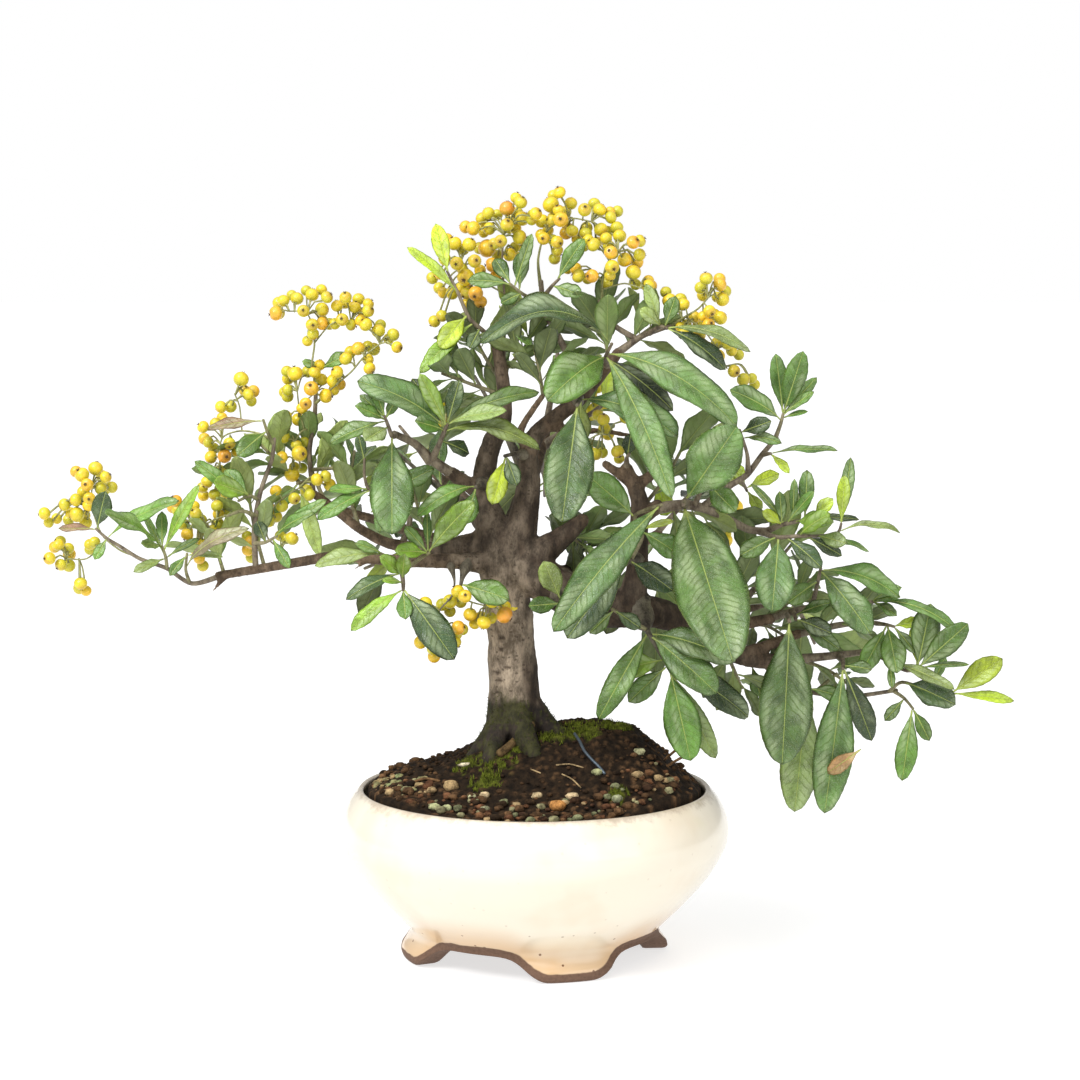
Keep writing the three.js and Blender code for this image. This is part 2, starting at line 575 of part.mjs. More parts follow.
      [142, 115.5, 168, 104.5, 20, 4.5, 40, 2],
      [142, 115.5, 143, 105, 10, 3, 70, 1],
    ],
  },
  leaves_right_branch_end: {
    stems: [
      [[103.5, 126.2, -5.6, 2], [120, 130, -7, 1.8], [131, 131.5, -7, 1.5], [138, 131, -6, 1.2]],
      [[136.5, 131.1, -6, 1.5], [141, 130.5, 0, 1], [144, 129.7, 2, 0.8]],
    ],
    leaves: [
      [144, 129.7, 154.5, 131.5, 3, 4.8, 55, 1],
      [143.5, 129.8, 152.5, 119, 6, 4.8, 60, 1],
      [141, 130.5, 145, 111, 4, 9, 80, 2],
      [141, 130.5, 131, 112, -2, 8.5, 80, 1],
    ],
  },
  leaves_low_right: {
    stems: [
      [
        [42, 136, 7, 7.4], [45, 128.5, 19, 1.8], [46.3, 126, 23, 1.4], [51.5, 117, 21, 1.1],
        [54.5, 111.5, 20, 0.9],
      ],
      [[45.5, 128, 20, 1.2], [38, 132.5, 22, 1.1], [31, 136.8, 22, 1]],
    ],
    leaves: [
      [45.5, 127.5, 25.5, 92.5, 36, 10, 72, 5],
      [46.3, 126, 73, 103, 38, 14, 65, 3],
      [46, 126.8, 80.5, 116, 30, 12, 50, 4],
      [51.8, 116.4, 32.5, 112, 30, 9, 60, 1],
      [53, 114, 37.5, 99.5, 24, 9, 75, 1],
      [54.5, 111.7, 62.5, 76, 30, 15, 80, 2],
      [54.5, 111.7, 72.5, 77, 14, 8.5, 80, 2],
      [52.5, 115, 85.5, 93.5, 14, 10.5, 60, 5],
      [30.5, 137, 42.5, 129, 26, 8.5, 70, 1],
      [31, 136.8, 22, 127, 24, 7, 70, 1],
    ],
  },
  leaves_right_behind: {
    stems: [
      [[84, 117.8, 1, 3.6], [86, 115.5, -9, 1.3], [87, 114, -12, 1]],
    ],
    leaves: [
      [87, 114.2, 90.5, 101.5, -12, 9, 80, 1],
      [86.7, 114.6, 94, 125, -14, 8, 75, 1],
    ],
  },
};

// Berry bunches. Berries are [across, up, radius], spread in depth about the bunch's own.
const BUNCHES = {
  berries_far_left: {
    stalks: [[[-161, 158.5, 13.7, 1], [-166, 160.5, 8, 0.75], [-173, 166.5, 5, 0.7],
      [-177, 178, 3, 0.65], [-177, 187, 3, 0.55]],
      [[-171, 164.8, 6, 0.6], [-179, 157, 5, 0.6], [-188, 157, 4, 0.55]]],
    depth: 4,
    spread: 6,
    berries: [[-181, 190.5, 2.9], [-175.5, 193, 2.9], [-171.5, 189.5, 2.4], [-179, 186.5, 2.5],
      [-173.5, 185, 2.5],
      [-188, 178.5, 2.5], [-183.5, 180.5, 2.5], [-178, 181, 2.4], [-183, 174.5, 3],
        [-196, 175, 2.5], [-176, 163.5, 2.3],
      [-190.5, 162.5, 2.4], [-194, 157, 2.5], [-186.5, 161, 2.3], [-189.5, 154.5, 2.4],
        [-181.5, 147, 2.6]],
  },
  berries_left_twig: {
    stalks: [[[-122, 174.4, 15.6, 0.8], [-127, 173, 10, 0.7], [-134, 170, 6, 0.65],
      [-138, 172, 4, 0.55]]],
    depth: 5,
    spread: 6,
    berries: [[-143.5, 180, 2.5], [-139.5, 176, 2.4], [-141, 171, 2.5], [-135.5, 175, 2.4],
      [-139, 166.5, 2.5],
      [-132.5, 162.5, 2.5], [-134, 157, 2.3], [-127, 178, 2.4], [-129, 168, 2.4]],
  },
  berries_left_high: {
    stalks: [[[-104.1, 204, 3, 1], [-110, 207, -2, 0.75], [-118, 208, -6, 0.7],
      [-125, 205, -8, 0.6], [-126, 193, -8, 0.55]],
      [[-117, 208, -6, 0.6], [-118, 218, -6, 0.6], [-120, 223, -6, 0.55]]],
    depth: -8,
    spread: 6,
    berries: [[-132.6, 209.6, 2.4], [-127.5, 211, 2.4], [-130.5, 203.5, 2.2], [-122, 203, 2.4],
      [-129.5, 197.5, 2.5],
      [-124, 198, 2.7], [-125.5, 191, 2.5], [-131, 187.5, 2.4], [-128, 182.5, 2.4],
        [-125.4, 217.6, 2.4], [-117.4, 228.8, 3],
      [-114.5, 222.5, 2.4]],
  },
  berries_left_middle: {
    stalks: [[[-88.6, 209, -19.5, 1.2], [-93, 208, -15, 0.75], [-96, 203, -13, 0.65],
      [-97, 194, -12, 0.55]],
      [[-92, 208.3, -16, 0.6], [-94, 216, -14, 0.6], [-95, 225, -14, 0.55]],
      [[-94.2, 218, -14, 0.55], [-88, 223, -14, 0.55]]],
    depth: -12,
    spread: 5,
    berries: [[-99.8, 213.6, 2.9], [-95.8, 231, 3], [-98.8, 224.4, 2.3], [-91.5, 219, 2.4],
      [-100.5, 205.6, 2.7],
      [-94, 199, 3.1], [-97, 190.5, 2.9], [-101, 197.5, 2.4], [-89.4, 225, 2.9], [-83.4, 222, 2.8],
        [-88, 231.5, 2.4]],
  },
  berries_left_low: {
    stalks: [[[-98, 154.9, 12.4, 1.9], [-101, 160, 5, 0.75], [-107, 166, 2, 0.65],
      [-104, 178, -1, 0.6], [-93, 186, -3, 0.55]]],
    depth: 0,
    spread: 5,
    berries: [[-113.5, 163.5, 2.6], [-106.5, 172, 2.5], [-101, 178, 2.5], [-97, 165, 2.7],
      [-103.5, 184, 2.4],
      [-87, 188.5, 2.5], [-90, 182.5, 2.4], [-96, 181, 2.4]],
  },
  berries_left_crown: {
    stalks: [[[-87, 227, -21.8, 1.2], [-89, 234, -16, 0.85], [-88, 244, -13, 0.75],
      [-91, 255, -12, 0.6], [-99, 256, -12, 0.55]],
      [[-88.2, 243, -13.2, 0.6], [-81, 251, -12, 0.6], [-72, 252.5, -12, 0.55]]],
    depth: -12,
    spread: 6,
    berries: [[-103.5, 255, 2.8], [-100.5, 260, 2.4], [-95, 261, 2.5], [-92.5, 256, 2.4],
      [-89, 262.5, 2.6],
      [-89, 250.5, 2.5], [-85, 256.5, 2.8], [-83, 261.5, 2.4], [-79, 258, 2.4], [-75.5, 261.5, 2.4],
        [-77, 252.5, 2.5],
      [-72, 257.5, 2.5], [-66.5, 256, 2.4]],
  },
  berries_left_crown_low: {
    stalks: [[[-87.6, 219, -20.7, 1.3], [-80, 226, -12, 0.75], [-73, 232, -8, 0.7],
      [-68, 238, -6, 0.65], [-61, 243.5, -6, 0.55]]],
    depth: -6,
    spread: 5,
    berries: [[-67.5, 250.5, 2.6], [-62.5, 248, 2.7], [-56.5, 246.5, 2.5], [-55, 241.5, 2.3],
      [-70.5, 241, 2.7],
      [-75.5, 237, 2.6], [-79, 231.5, 2.5], [-66, 233, 2.4]],
  },
  berries_crown_left: {
    stalks: [[[-13, 231, -5.6, 2.6], [-12, 243, -14, 1], [-12, 262, -16, 0.9],
      [-13, 276, -15, 0.75], [-12, 288, -14, 0.6]],
      [[-12.2, 263, -16, 0.7], [-24, 270, -15, 0.65], [-30, 277, -14, 0.55]]],
    depth: -12,
    spread: 9,
    berries: [[-5.5, 299.5, 2.5], [-11, 297, 3], [-18.5, 295, 2.5], [0.5, 295, 2.5], [-5, 293, 2.9],
      [-24.5, 289, 2.8],
      [-18, 289, 2.5], [-11, 290.5, 2.6], [-6, 285.5, 2.9], [-13.5, 284, 2.5], [-32, 283, 2.8],
        [-26, 282.5, 2.8],
      [-19, 281, 3.5], [-10, 278.5, 2.6], [-36, 277, 2.5], [-31, 275, 2.6], [-24, 276, 2.6],
        [-17, 274.5, 2.8],
      [-38, 271, 2.4], [-27.5, 269.5, 3.4], [-33, 263, 2.5], [-23.5, 263, 2.9], [-37, 254, 2.4]],
  },
  berries_crown_middle: {
    stalks: [[[2.4, 266, -9, 1.6], [1.5, 277, -10, 0.9], [5, 288, -10, 0.75], [14, 293, -10, 0.6],
      [24, 291.5, -10, 0.55]]],
    depth: -9,
    spread: 7,
    berries: [[10, 303.5, 2.4], [14.5, 299, 2.5], [6.5, 298.5, 3.2], [20, 296.5, 2.6],
      [26, 296.5, 2.6], [30.5, 293.5, 2.4],
      [3, 292, 2.7], [10.5, 292.5, 2.9], [3.5, 285, 2.5], [15, 288, 2.5], [20.5, 287, 2.5],
        [26.5, 288.5, 2.7], [9, 283.5, 2.5]],
  },
  berries_crown_right: {
    stalks: [[[27.5, 257, -6.7, 1.5], [27, 266, -2, 0.85], [29, 275, 0, 0.75], [34, 280, 0, 0.6]],
      [[27, 264.5, -2.5, 0.65], [36, 267, 0, 0.6], [43, 265, 1, 0.55]]],
    depth: 0,
    spread: 6,
    berries: [[23.5, 282.5, 2.7], [28.5, 285, 2.4], [34, 286, 2.6], [39.5, 283.5, 2.6],
      [42, 278.5, 2.5], [30.5, 279.5, 2.6],
      [36, 276.5, 2.8], [31, 273.5, 2.8], [39.5, 271.5, 3], [17.5, 270, 2.7], [23, 270, 2.6],
        [45.4, 266, 2.6]],
  },
  berries_right_high: {
    stalks: [[[55, 250.4, -9.5, 1.5], [59, 253, -4, 0.85], [65.5, 257, -2, 0.75], [70, 262, -1, 0.6]],
      [[60, 253.8, -3.7, 0.6], [67, 249, -3, 0.6], [73, 241, -3, 0.6], [77, 233, -3, 0.55]]],
    depth: -3,
    spread: 6,
    berries: [[68.6, 269, 2.6], [74.2, 266.5, 2.6], [75.2, 260.6, 2.7], [70, 256, 2.4],
      [74.4, 253.2, 2.7], [69.6, 250.5, 2.5],
      [64, 253.5, 2.4], [66, 246.5, 2.5], [77, 243, 2.5], [73.5, 238, 2.6], [54, 260.2, 2.9],
        [59.5, 258.6, 2.5],
      [79.8, 232, 2.5], [83.6, 228.6, 2.6], [59.5, 247, 2.4]],
  },
  berries_centre: {
    stalks: [[[25.5, 208.1, -2.6, 1.4], [27, 207, 2, 0.65], [30, 206.5, 3, 0.6]]],
    depth: 3,
    spread: 3,
    berries: [[27.6, 212.6, 2.5], [36.4, 213.4, 2.5], [24.4, 198.8, 2.6], [33.2, 199.8, 2.6],
      [19, 199, 2.4]],
  },
  berries_low: {
    stalks: [[[-34, 155.8, 8, 3.3], [-32, 148, 17, 0.85], [-33, 142, 20, 0.75], [-38, 136, 21, 0.6],
      [-37, 128, 21, 0.55]],
      [[-32.8, 143, 19.6, 0.6], [-25, 139.5, 20, 0.6], [-15, 137, 21, 0.55]]],
    depth: 21,
    spread: 5,
    berries: [[-43.8, 138.8, 3], [-45, 132.4, 3.2], [-33.8, 139.8, 2.8], [-27.8, 142, 2.6],
      [-40.2, 127, 2.8], [-36.8, 121.6, 2.8],
      [-25.8, 134.6, 2.7], [-30.5, 129.4, 2.8], [-31.8, 123.4, 2.6], [-20.2, 131.4, 2.8],
        [-17, 140, 2.8], [-12, 134.4, 3.3]],
  },
};

// Leafy stems at the back, from the back branches outwards.
const BACK_SPRAYS = {
  back_left_low: {
    stem: [[-40, 165, -27, 2.6], [-56, 158, -38, 1.3], [-68, 153, -46, 0.9]],
    count: 7,
    size: 29,
    seed: 1,
  },
  back_left_tip: {
    stem: [[-70, 174.3, -46, 1.9], [-84, 180, -57, 1.2], [-94, 184, -66, 0.9]],
    count: 7,
    size: 28,
    seed: 2,
  },
  back_left_high: {
    stem: [[-38, 189, -58, 2], [-46, 200, -72, 1.4], [-54, 210, -88, 0.9]],
    count: 8,
    size: 34,
    seed: 3,
  },
  back_left_middle: {
    stem: [[-24, 175, -32, 3.4], [-44, 190, -36, 1.4], [-58, 202, -38, 0.9]],
    count: 7,
    size: 31,
    seed: 4,
  },
  back_top: {
    stem: [[5, 212, -58, 2], [8, 230, -68, 1.4], [10, 246, -76, 0.9]],
    count: 8,
    size: 32,
    seed: 5,
  },
  back_top_left: {
    stem: [[-2, 188, -30, 3.4], [-14, 212, -38, 1.5], [-24, 230, -46, 0.9]],
    count: 8,
    size: 30,
    seed: 6,
  },
  back_middle: {
    stem: [[1, 198, -42, 2.8], [4, 190, -62, 1.4], [4, 182, -84, 0.9]],
    count: 7,
    size: 32,
    seed: 7,
  },
  back_right_top: {
    stem: [[2, 201, -46, 2.7], [24, 216, -50, 1.4], [42, 230, -54, 0.9]],
    count: 8,
    size: 31,
    seed: 8,
  },
  back_right_high: {
    stem: [[48, 166, -60, 2], [60, 180, -72, 1.3], [68, 192, -84, 0.9]],
    count: 8,
    size: 33,
    seed: 9,
  },
  back_right_middle: {
    stem: [[34, 159, -43, 2.8], [46, 150, -60, 1.4], [52, 142, -76, 0.9]],
    count: 7,
    size: 31,
    seed: 10,
  },
  back_right_low: {
    stem: [[102, 141.5, -42, 1.8], [108, 132, -54, 1.2], [112, 123, -64, 0.9]],
    count: 7,
    size: 29,
    seed: 11,
  },
  back_right_tip: {
    stem: [[80, 135.5, -22, 2.5], [94, 152, -32, 1.3], [104, 164, -40, 0.9]],
    count: 7,
    size: 28,
    seed: 12,
  },
};

// Berry bunches at the back, on stalks that leave the back sprays.
const BACK_BUNCHES = {
  berries_back_left: {
    stalk: [[-45, 198, -70, 1.4], [-38, 206, -82, 1], [-34, 213, -90, 0.8]],
    count: 7,
    seed: 21,
  },
  berries_back_middle: {
    stalk: [[7, 224, -65, 1.4], [16, 222, -80, 1], [22, 220, -92, 0.8]],
    count: 7,
    seed: 22,
  },
  berries_back_right: {
    stalk: [[57, 176, -69, 1.3], [70, 174, -80, 1], [78, 171, -88, 0.8]],
    count: 7,
    seed: 23,
  },
};

const RIGHT = new THREE.Vector3(1, 0, 0);
const UP = new THREE.Vector3(0, Math.sin(VIEW_PITCH), Math.cos(VIEW_PITCH));
const AHEAD = new THREE.Vector3(0, Math.cos(VIEW_PITCH), -Math.sin(VIEW_PITCH));
const EYE = new THREE.Vector3()
  .addScaledVector(RIGHT, VIEW_ACROSS)
  .addScaledVector(UP, VIEW_UP)
  .addScaledVector(AHEAD, -VIEW_DISTANCE);

// The point on the sight line through (across, up) that lies "toward" in front of the trunk.
function seen(across, up, toward) {
  const aim = new THREE.Vector3(across, 0, 0).addScaledVector(UP, up).sub(EYE);
  return aim.multiplyScalar((-toward - EYE.y) / aim.y).add(EYE);
}

// How much smaller a thing is than it looks, at this depth.
function shrink(toward) {
  return (-toward - EYE.y) / -EYE.y;
}

// Where a point is seen.
function looksAt(point) {
  const aim = point.clone().sub(EYE);
  aim.multiplyScalar(VIEW_DISTANCE / aim.dot(AHEAD)).add(EYE);
  return [aim.dot(RIGHT), aim.dot(UP)];
}

// A repeatable draw from 0 to 1.
function draw(n) {
  const s = Math.sin(n * 12.9898) * 43758.5453;
  return s - Math.floor(s);
}

function solidOf(points, faces) {
  const vertProperties = new Float32Array(points.flatMap((p) => [p.x, p.y, p.z]));
  const triVerts = new Uint32Array(faces.flat());
  return new Manifold(new SolidMesh({ numProp: 3, vertProperties, triVerts }));
}

function solidOfGeometry(geometry) {
  geometry.deleteAttribute("normal");
  geometry.deleteAttribute("uv");
  const merged = mergeVertices(geometry, 1e-4);
  return new Manifold(
    new SolidMesh({
      numProp: 3,
      vertProperties: new Float32Array(merged.attributes.position.array),
      triVerts: new Uint32Array(merged.index.array),
    }),
  );
}

// Rings of equally many points, skinned into a closed solid. A ring of one point is a tip.
function skin(rings) {
  const starts = [];
  rings.reduce((at, ring) => {
    starts.push(at);
    return at + ring.length;
  }, 0);
  const count = Math.max(...rings.map((ring) => ring.length));
  const faces = [];
  const cap = (ring, start, flip) => {
    for (let k = 2; k < ring.length; k++) {
      faces.push(flip ? [start, start + k, start + k - 1] : [start, start + k - 1, start + k]);
    }
  };
  cap(rings[0], 0, true);
  for (let i = 1; i < rings.length; i++) {
    const [pointed, pointing] = [rings[i - 1].length === 1, rings[i].length === 1];
    for (let k = 0; k < count; k++) {
      const next = (k + 1) % count;
      const a = starts[i - 1] + (pointed ? 0 : k);
      const b = starts[i - 1] + (pointed ? 0 : next);
      const c = starts[i] + (pointing ? 0 : next);
      const d = starts[i] + (pointing ? 0 : k);
      if (pointed) faces.push([a, c, d]);
      else if (pointing) faces.push([a, b, d]);
      else if (k % 2) faces.push([a, b, c], [a, c, d]);
      else faces.push([a, b, d], [b, c, d]);
    }
  }
  cap(rings.at(-1), starts.at(-1), false);
  return solidOf(rings.flat(), faces);
}

function ringAround(centre, side, other, radius, count, turned) {
  const ring = [];
  for (let k = 0; k < count; k++) {
    const turn = (2 * Math.PI * (k + turned)) / count;
    ring.push(
      centre
        .clone()
        .addScaledVector(side, radius * Math.cos(turn))
        .addScaledVector(other, radius * Math.sin(turn)),
    );
  }
  return ring;
}

function squareTo(direction, guide) {
  return guide.clone().addScaledVector(direction, -guide.dot(direction)).normalize();
}

function anySide(direction) {
  const upright = Math.abs(direction.z) >= 0.8;
  return squareTo(direction, upright ? new THREE.Vector3(0, 1, 0) : new THREE.Vector3(0, 0, 1));
}

// A tapered limb through centres with radii.
function limb(centres, radii, sides) {
  let side = null;
  const rings = centres.map((centre, i) => {
    const before = centres[Math.max(i - 1, 0)];
    const after = centres[Math.min(i + 1, centres.length - 1)];
    const along = after.clone().sub(before).normalize();
    side = side ? squareTo(along, side) : anySide(along);
    return ringAround(centre, side, along.clone().cross(side), radii[i], sides, 0);
  });
  return skin(rings);
}

function sidesFor(radius) {
  if (radius > 8) return 7;
  return radius > 4.2 ? 5 : 4;
}

function limbOf(path, grow, sides) {
  return limb(
    path.map(([across, up, toward]) => seen(across, up, toward)),
    path.map(([, , , radius]) => Math.max(radius, THINNEST) + grow),
    sides ?? sidesFor(path[0][3]),
  );
}

const boxed = (solid) => ({ solid, box: solid.boundingBox() });

function largest(solid) {
  return solid.decompose().reduce((best, body) => (body.volume() > best.volume() ? body : best));
}

function meets(solid, others) {
  const box = solid.boundingBox();
  return others.some((other) => {
    const near = [0, 1, 2].every((k) => box.min[k] < other.box.max[k] && other.box.min[k] < box.max[k]);
    return near && solid.intersect(other.solid).volume() > 1e-4;
  });
}

// Leaf: flat on top and keeled below, along an arched midrib, with its root sunk in the stem.
function leafShape(length) {
  if (length > 33) return LONG_LEAF;
  return length > 17 ? MIDDLE_LEAF : SHORT_LEAF;
}

function leafSolid(leaf, from, grow) {
  const span = leaf.tip.clone().sub(leaf.root);
  const length = span.length();
  const middle = leaf.root.clone().addScaledVector(span, 0.5).addScaledVector(leaf.normal, leaf.arch * 2);
  const curve = new THREE.QuadraticBezierCurve3(leaf.root, middle, leaf.tip);
  const shape = leafShape(length);
  const first = from ? [from, along([[0, 0.1], ...shape], from)] : [SHANK / length, 0];
  const rings = [first, ...shape].map(([share, wide]) => {
    const centre = curve.getPoint(share);
    const forward = curve.getTangent(share);
    const side = forward.clone().cross(leaf.normal).normalize();
    const face = side.clone().cross(forward);
    const half = Math.max(LEAF_THICKNESS / 2, (wide * leaf.width) / 2) + grow;
    const thick = LEAF_THICKNESS / 2 + grow;
    return [
      centre.clone().addScaledVector(side, -half).addScaledVector(face, thick),
      centre.clone().addScaledVector(side, half).addScaledVector(face, thick),
      centre.clone().addScaledVector(face, -thick),
    ];
  });
  if (!from) rings.unshift([leaf.root.clone()]);
  rings.push([leaf.tip.clone().addScaledVector(span, grow / length)]);
  return skin(rings);
}

function leafAt(root, tip, guide, seenWidth, arch) {
  const along = tip.clone().sub(root).normalize();
  const normal = squareTo(along, guide);
  const facing = Math.max(LEAST_FACING, Math.abs(normal.dot(tip.clone().sub(EYE).normalize())));
  const width = Math.min(seenWidth / facing, WIDEST_LEAF * tip.distanceTo(root));
  return { root, tip, normal, width, arch };
}

function nearestOn(stems, across, up) {
  let best = null;
  for (const path of stems) {
    for (let i = 1; i < path.length; i++) {
      const [a, b] = [path[i - 1], path[i]];
      const [dx, dy] = [b[0] - a[0], b[1] - a[1]];
      const raw = ((across - a[0]) * dx + (up - a[1]) * dy) / Math.max(dx * dx + dy * dy, 1e-6);
      const share = Math.min(Math.max(raw, i === 1 ? 0.6 : 0), i === path.length - 1 ? LAST_SEAT : 1);
      const at = a.map((value, k) => value + (b[k] - value) * share);
      const away = Math.hypot(at[0] - across, at[1] - up);
      if (!best || away < best.away) best = { away, at };
    }
  }
  return best.at;
}

const seenLength = ([across, up, tipAcross, tipUp]) => Math.hypot(tipAcross - across, tipUp - up);

function frontLeaf(stems, row, shift) {
  const [rootAcross, rootUp, tipAcross, tipUp, tipToward, wide, tilt, arch] = row;
  const at = nearestOn(stems, rootAcross, rootUp);
  const turn = THREE.MathUtils.degToRad(tilt);
  const guide = new THREE.Vector3(0, -Math.sin(turn), Math.cos(turn));
  const [root, tip] = [seen(at[0], at[1], at[2]), seen(tipAcross, tipUp, tipToward + shift)];
  return leafAt(root, tip, guide, wide * shrink(tipToward), arch);
}

// Berry: an eight-sided ball on a stalk.
function berrySolid(foot, centre, radius, grow) {
  const along = centre.clone().sub(foot);
  const reach = along.length();
  along.normalize();
  const side = anySide(along);
  const other = along.clone().cross(side);
  const at = (share) => centre.clone().addScaledVector(along, share * (radius + grow));
  const wide = (radius + grow) * BALL_WIDE;
  const ball = [
    ringAround(at(BALL_LOW), side, other, wide, 4, 0),
    ringAround(at(BALL_HIGH), side, other, wide * BALL_HIGH_WIDE, 4, 0.5),
  ];
  const stalk = [
    ringAround(foot, side, other, ROOT + grow, 4, 0),
    ringAround(at(STALK_END), side, other, STALK + grow, 4, 0),
  ];
  return skin([...(reach < SEATED * radius ? [[foot]] : stalk), ...ball, [at(BALL_TIP)]]);
}

function placeBerries(bunch) {
  const placed = [];
  bunch.berries.forEach(([across, up, radius], k) => {
    let best = null;
    for (let attempt = 0; attempt < BERRY_TRIES; attempt++) {
      const toward = bunch.depth + bunch.spread * (2 * draw(31 * k + 7 * attempt + 3) - 1);
      const centre = seen(across, up, toward);
      const beside = closestOnStalks(bunch.stalks, centre).distanceTo(centre) - radius - THINNEST;
      const others = placed.map((other) => other.centre.distanceTo(centre) - other.radius - radius);
      const room = Math.min(beside, ...others);
      if (!best || room > best.room) best = { room, centre, radius: radius * shrink(toward) };
      if (room > BERRY_ROOM) break;
    }
    placed.push(best);
  });
  return placed.filter((_, k) => Math.floor((k + 1) * BERRIES_KEPT) > Math.floor(k * BERRIES_KEPT));
}

function closestOnStalks(stalks, point) {
  let best = null;
  stalks.forEach((path, n) => {
    path.slice(1).forEach((end, i) => {
      if (n === 0 && i === 0) return;
      const line = new THREE.Line3(seen(...path[i]), seen(...end));
      const last = i === path.length - 2 ? LAST_SEAT : 1;
      const share = Math.min(line.closestPointToPointParameter(point, true), last);
      const at = line.at(share, new THREE.Vector3());
      const away = at.distanceTo(point);
      if (!best || away < best.away) best = { away, at };
    });
  });
  return best.at;
}

// Wood, and the room it takes with the gap about it.
const woodWhole = largest(Manifold.union(WOOD.map((path) => limbOf(path, 0))));
const woodRooms = WOOD.map((path) => boxed(limbOf(path, GAP)));

const pieces = new Map();
const rooms = new Map();
const stemRooms = new Map();
const blades = new Map();

function startNode(name, stems, sides) {
  pieces.set(name, stems.map((path) => limbOf(path, 0, sides)));
  const grown = stems.map((path) => boxed(limbOf(path, GAP, sides)));
  rooms.set(name, grown.slice());
  stemRooms.set(name, grown.map(({ solid }) => solid));
  blades.set(name, []);
}

const roomsOfOthers = (name) => [...rooms].filter(([other]) => other !== name).flatMap(([, list]) => list);

function addBerry(name, foot, centre, radius) {
  const berry = berrySolid(foot, centre, radius, 0);
  if (meets(berry, roomsOfOthers(name))) return;
  pieces.get(name).push(berry);
  rooms.get(name).push(boxed(berrySolid(foot, centre, radius, GAP)));
}

for (const [name, spray] of Object.entries(SPRAYS)) startNode(name, spray.stems, 3);
for (const [name, bunch] of Object.entries(BUNCHES)) startNode(name, bunch.stalks, 3);
for (const [name, bunch] of Object.entries(BUNCHES)) {
  for (const { centre, radius } of placeBerries(bunch)) {
    addBerry(name, closestOnStalks(bunch.stalks, centre), centre, radius);
  }
}

// A leaf has room where it clears the other nodes, and best where it clears its own node too.
function roomFor(name, leaf) {
  const blade = leafSolid(leaf, BLADE_START, 0);
  if (meets(leafSolid(leaf, 0, 0), roomsOfOthers(name)) || meets(blade, woodRooms)) return 0;
  return meets(blade, blades.get(name)) ? 1 : 2;
}

function layLeaf(name, leaf) {
  pieces.get(name).push(leafSolid(leaf, 0, 0));
  rooms.get(name).push(boxed(leafSolid(leaf, 0, GAP)));
  blades.get(name).push(boxed(leafSolid(leaf, BLADE_START, 0)));
}

// The first leaf with the best room of those that a rule offers.
function layBest(name, offers) {
  let best = null;
  for (const leaf of offers) {
    const room = roomFor(name, leaf);
    if (room > (best?.room ?? 0)) best = { room, leaf };
    if (room === 2) break;
  }
  if (best) layLeaf(name, best.leaf);
}

for (const [name, spray] of Object.entries(SPRAYS)) {
  for (const row of spray.leaves.filter((each) => seenLength(each) > SHORTEST)) {
    layBest(name, SHIFTS.map((shift) => frontLeaf(spray.stems, row, shift)));
  }
}

// What is covered from the front, on a grid of cells.
const covered = new Set();
const cell = (across, up) => Math.round(across / COVER_CELL) * 4096 + Math.round(up / COVER_CELL);

function cover(solid) {
  const made = solid.getMesh();
  const at = [];
  for (let i = 0; i < made.numVert; i++) {
    at.push(looksAt(new THREE.Vector3(...made.vertProperties.slice(i * made.numProp, i * made.numProp + 3))));
  }
  for (let i = 0; i < made.triVerts.length; i += 3) {
    const [a, b, c] = [...made.triVerts.slice(i, i + 3)].map((k) => at[k]);
    const [ab, ac] = [[b[0] - a[0], b[1] - a[1]], [c[0] - a[0], c[1] - a[1]]];
    const steps = Math.ceil(Math.max(Math.hypot(...ab), Math.hypot(...ac)) / COVER_CELL) + 1;
    for (let u = 0; u <= steps; u++) {
      for (let v = 0; v <= steps - u; v++) {
        const [s, t] = [u / steps, v / steps];
        covered.add(cell(a[0] + ab[0] * s + ac[0] * t, a[1] + ab[1] * s + ac[1] * t));
      }
    }
  }
}

function hiddenShare(leaf) {
  let hits = 0;
  let count = 0;
  const side = leaf.tip.clone().sub(leaf.root).cross(leaf.normal).normalize();
  for (let i = 1; i <= 8; i++) {
    for (const share of [-0.8, 0, 0.8]) {
      const reach = (share * leaf.width * Math.sin((Math.PI * i) / 9)) / 2;
      const at = looksAt(leaf.root.clone().lerp(leaf.tip, i / 8).addScaledVector(side, reach));
      count += 1;
      hits += covered.has(cell(...at)) ? 1 : 0;
    }
  }
  return hits / count;
}

// Leaves of a back spray stand round its stem at the golden angle.
function backLeaf(spray, k, attempt) {
  const [start, bend, end] = spray.stem.map(([across, up, toward]) => seen(across, up, toward));
  const place = BACK_SEATS.first + (BACK_SEATS.span * (k + 0.5)) / spray.count;
  const root = place < 1 ? start.lerp(bend, place) : bend.clone().lerp(end, (place - 1) * LAST_SEAT);
  const axis = end.clone().sub(bend).normalize();
  const side = anySide(axis);
  const other = axis.clone().cross(side);
  const turn = GOLDEN_ANGLE * k + spray.seed + BACK_TURN * attempt;
  const lean = BACK_LEAN.least + BACK_LEAN.spread * draw(spray.seed * 5 + k) + BACK_LEAN.step * attempt;
  const grown = BACK_LENGTH.least + BACK_LENGTH.spread * draw(spray.seed * 9 + 3 * k);
  const length = spray.size * grown * (1 - BACK_LENGTH.step * attempt);
  const tip = root
    .clone()
    .addScaledVector(axis, length * Math.cos(lean))
    .addScaledVector(side, length * Math.sin(lean) * Math.cos(turn))
    .addScaledVector(other, length * Math.sin(lean) * Math.sin(turn));
  const guide = new THREE.Vector3(0, 0.6, 0.7).addScaledVector(axis, 0.5);
  const normal = squareTo(tip.clone().sub(root).normalize(), guide);
  return { root, tip, normal, width: length * BACK_WIDTH, arch: length * BACK_ARCH };
}

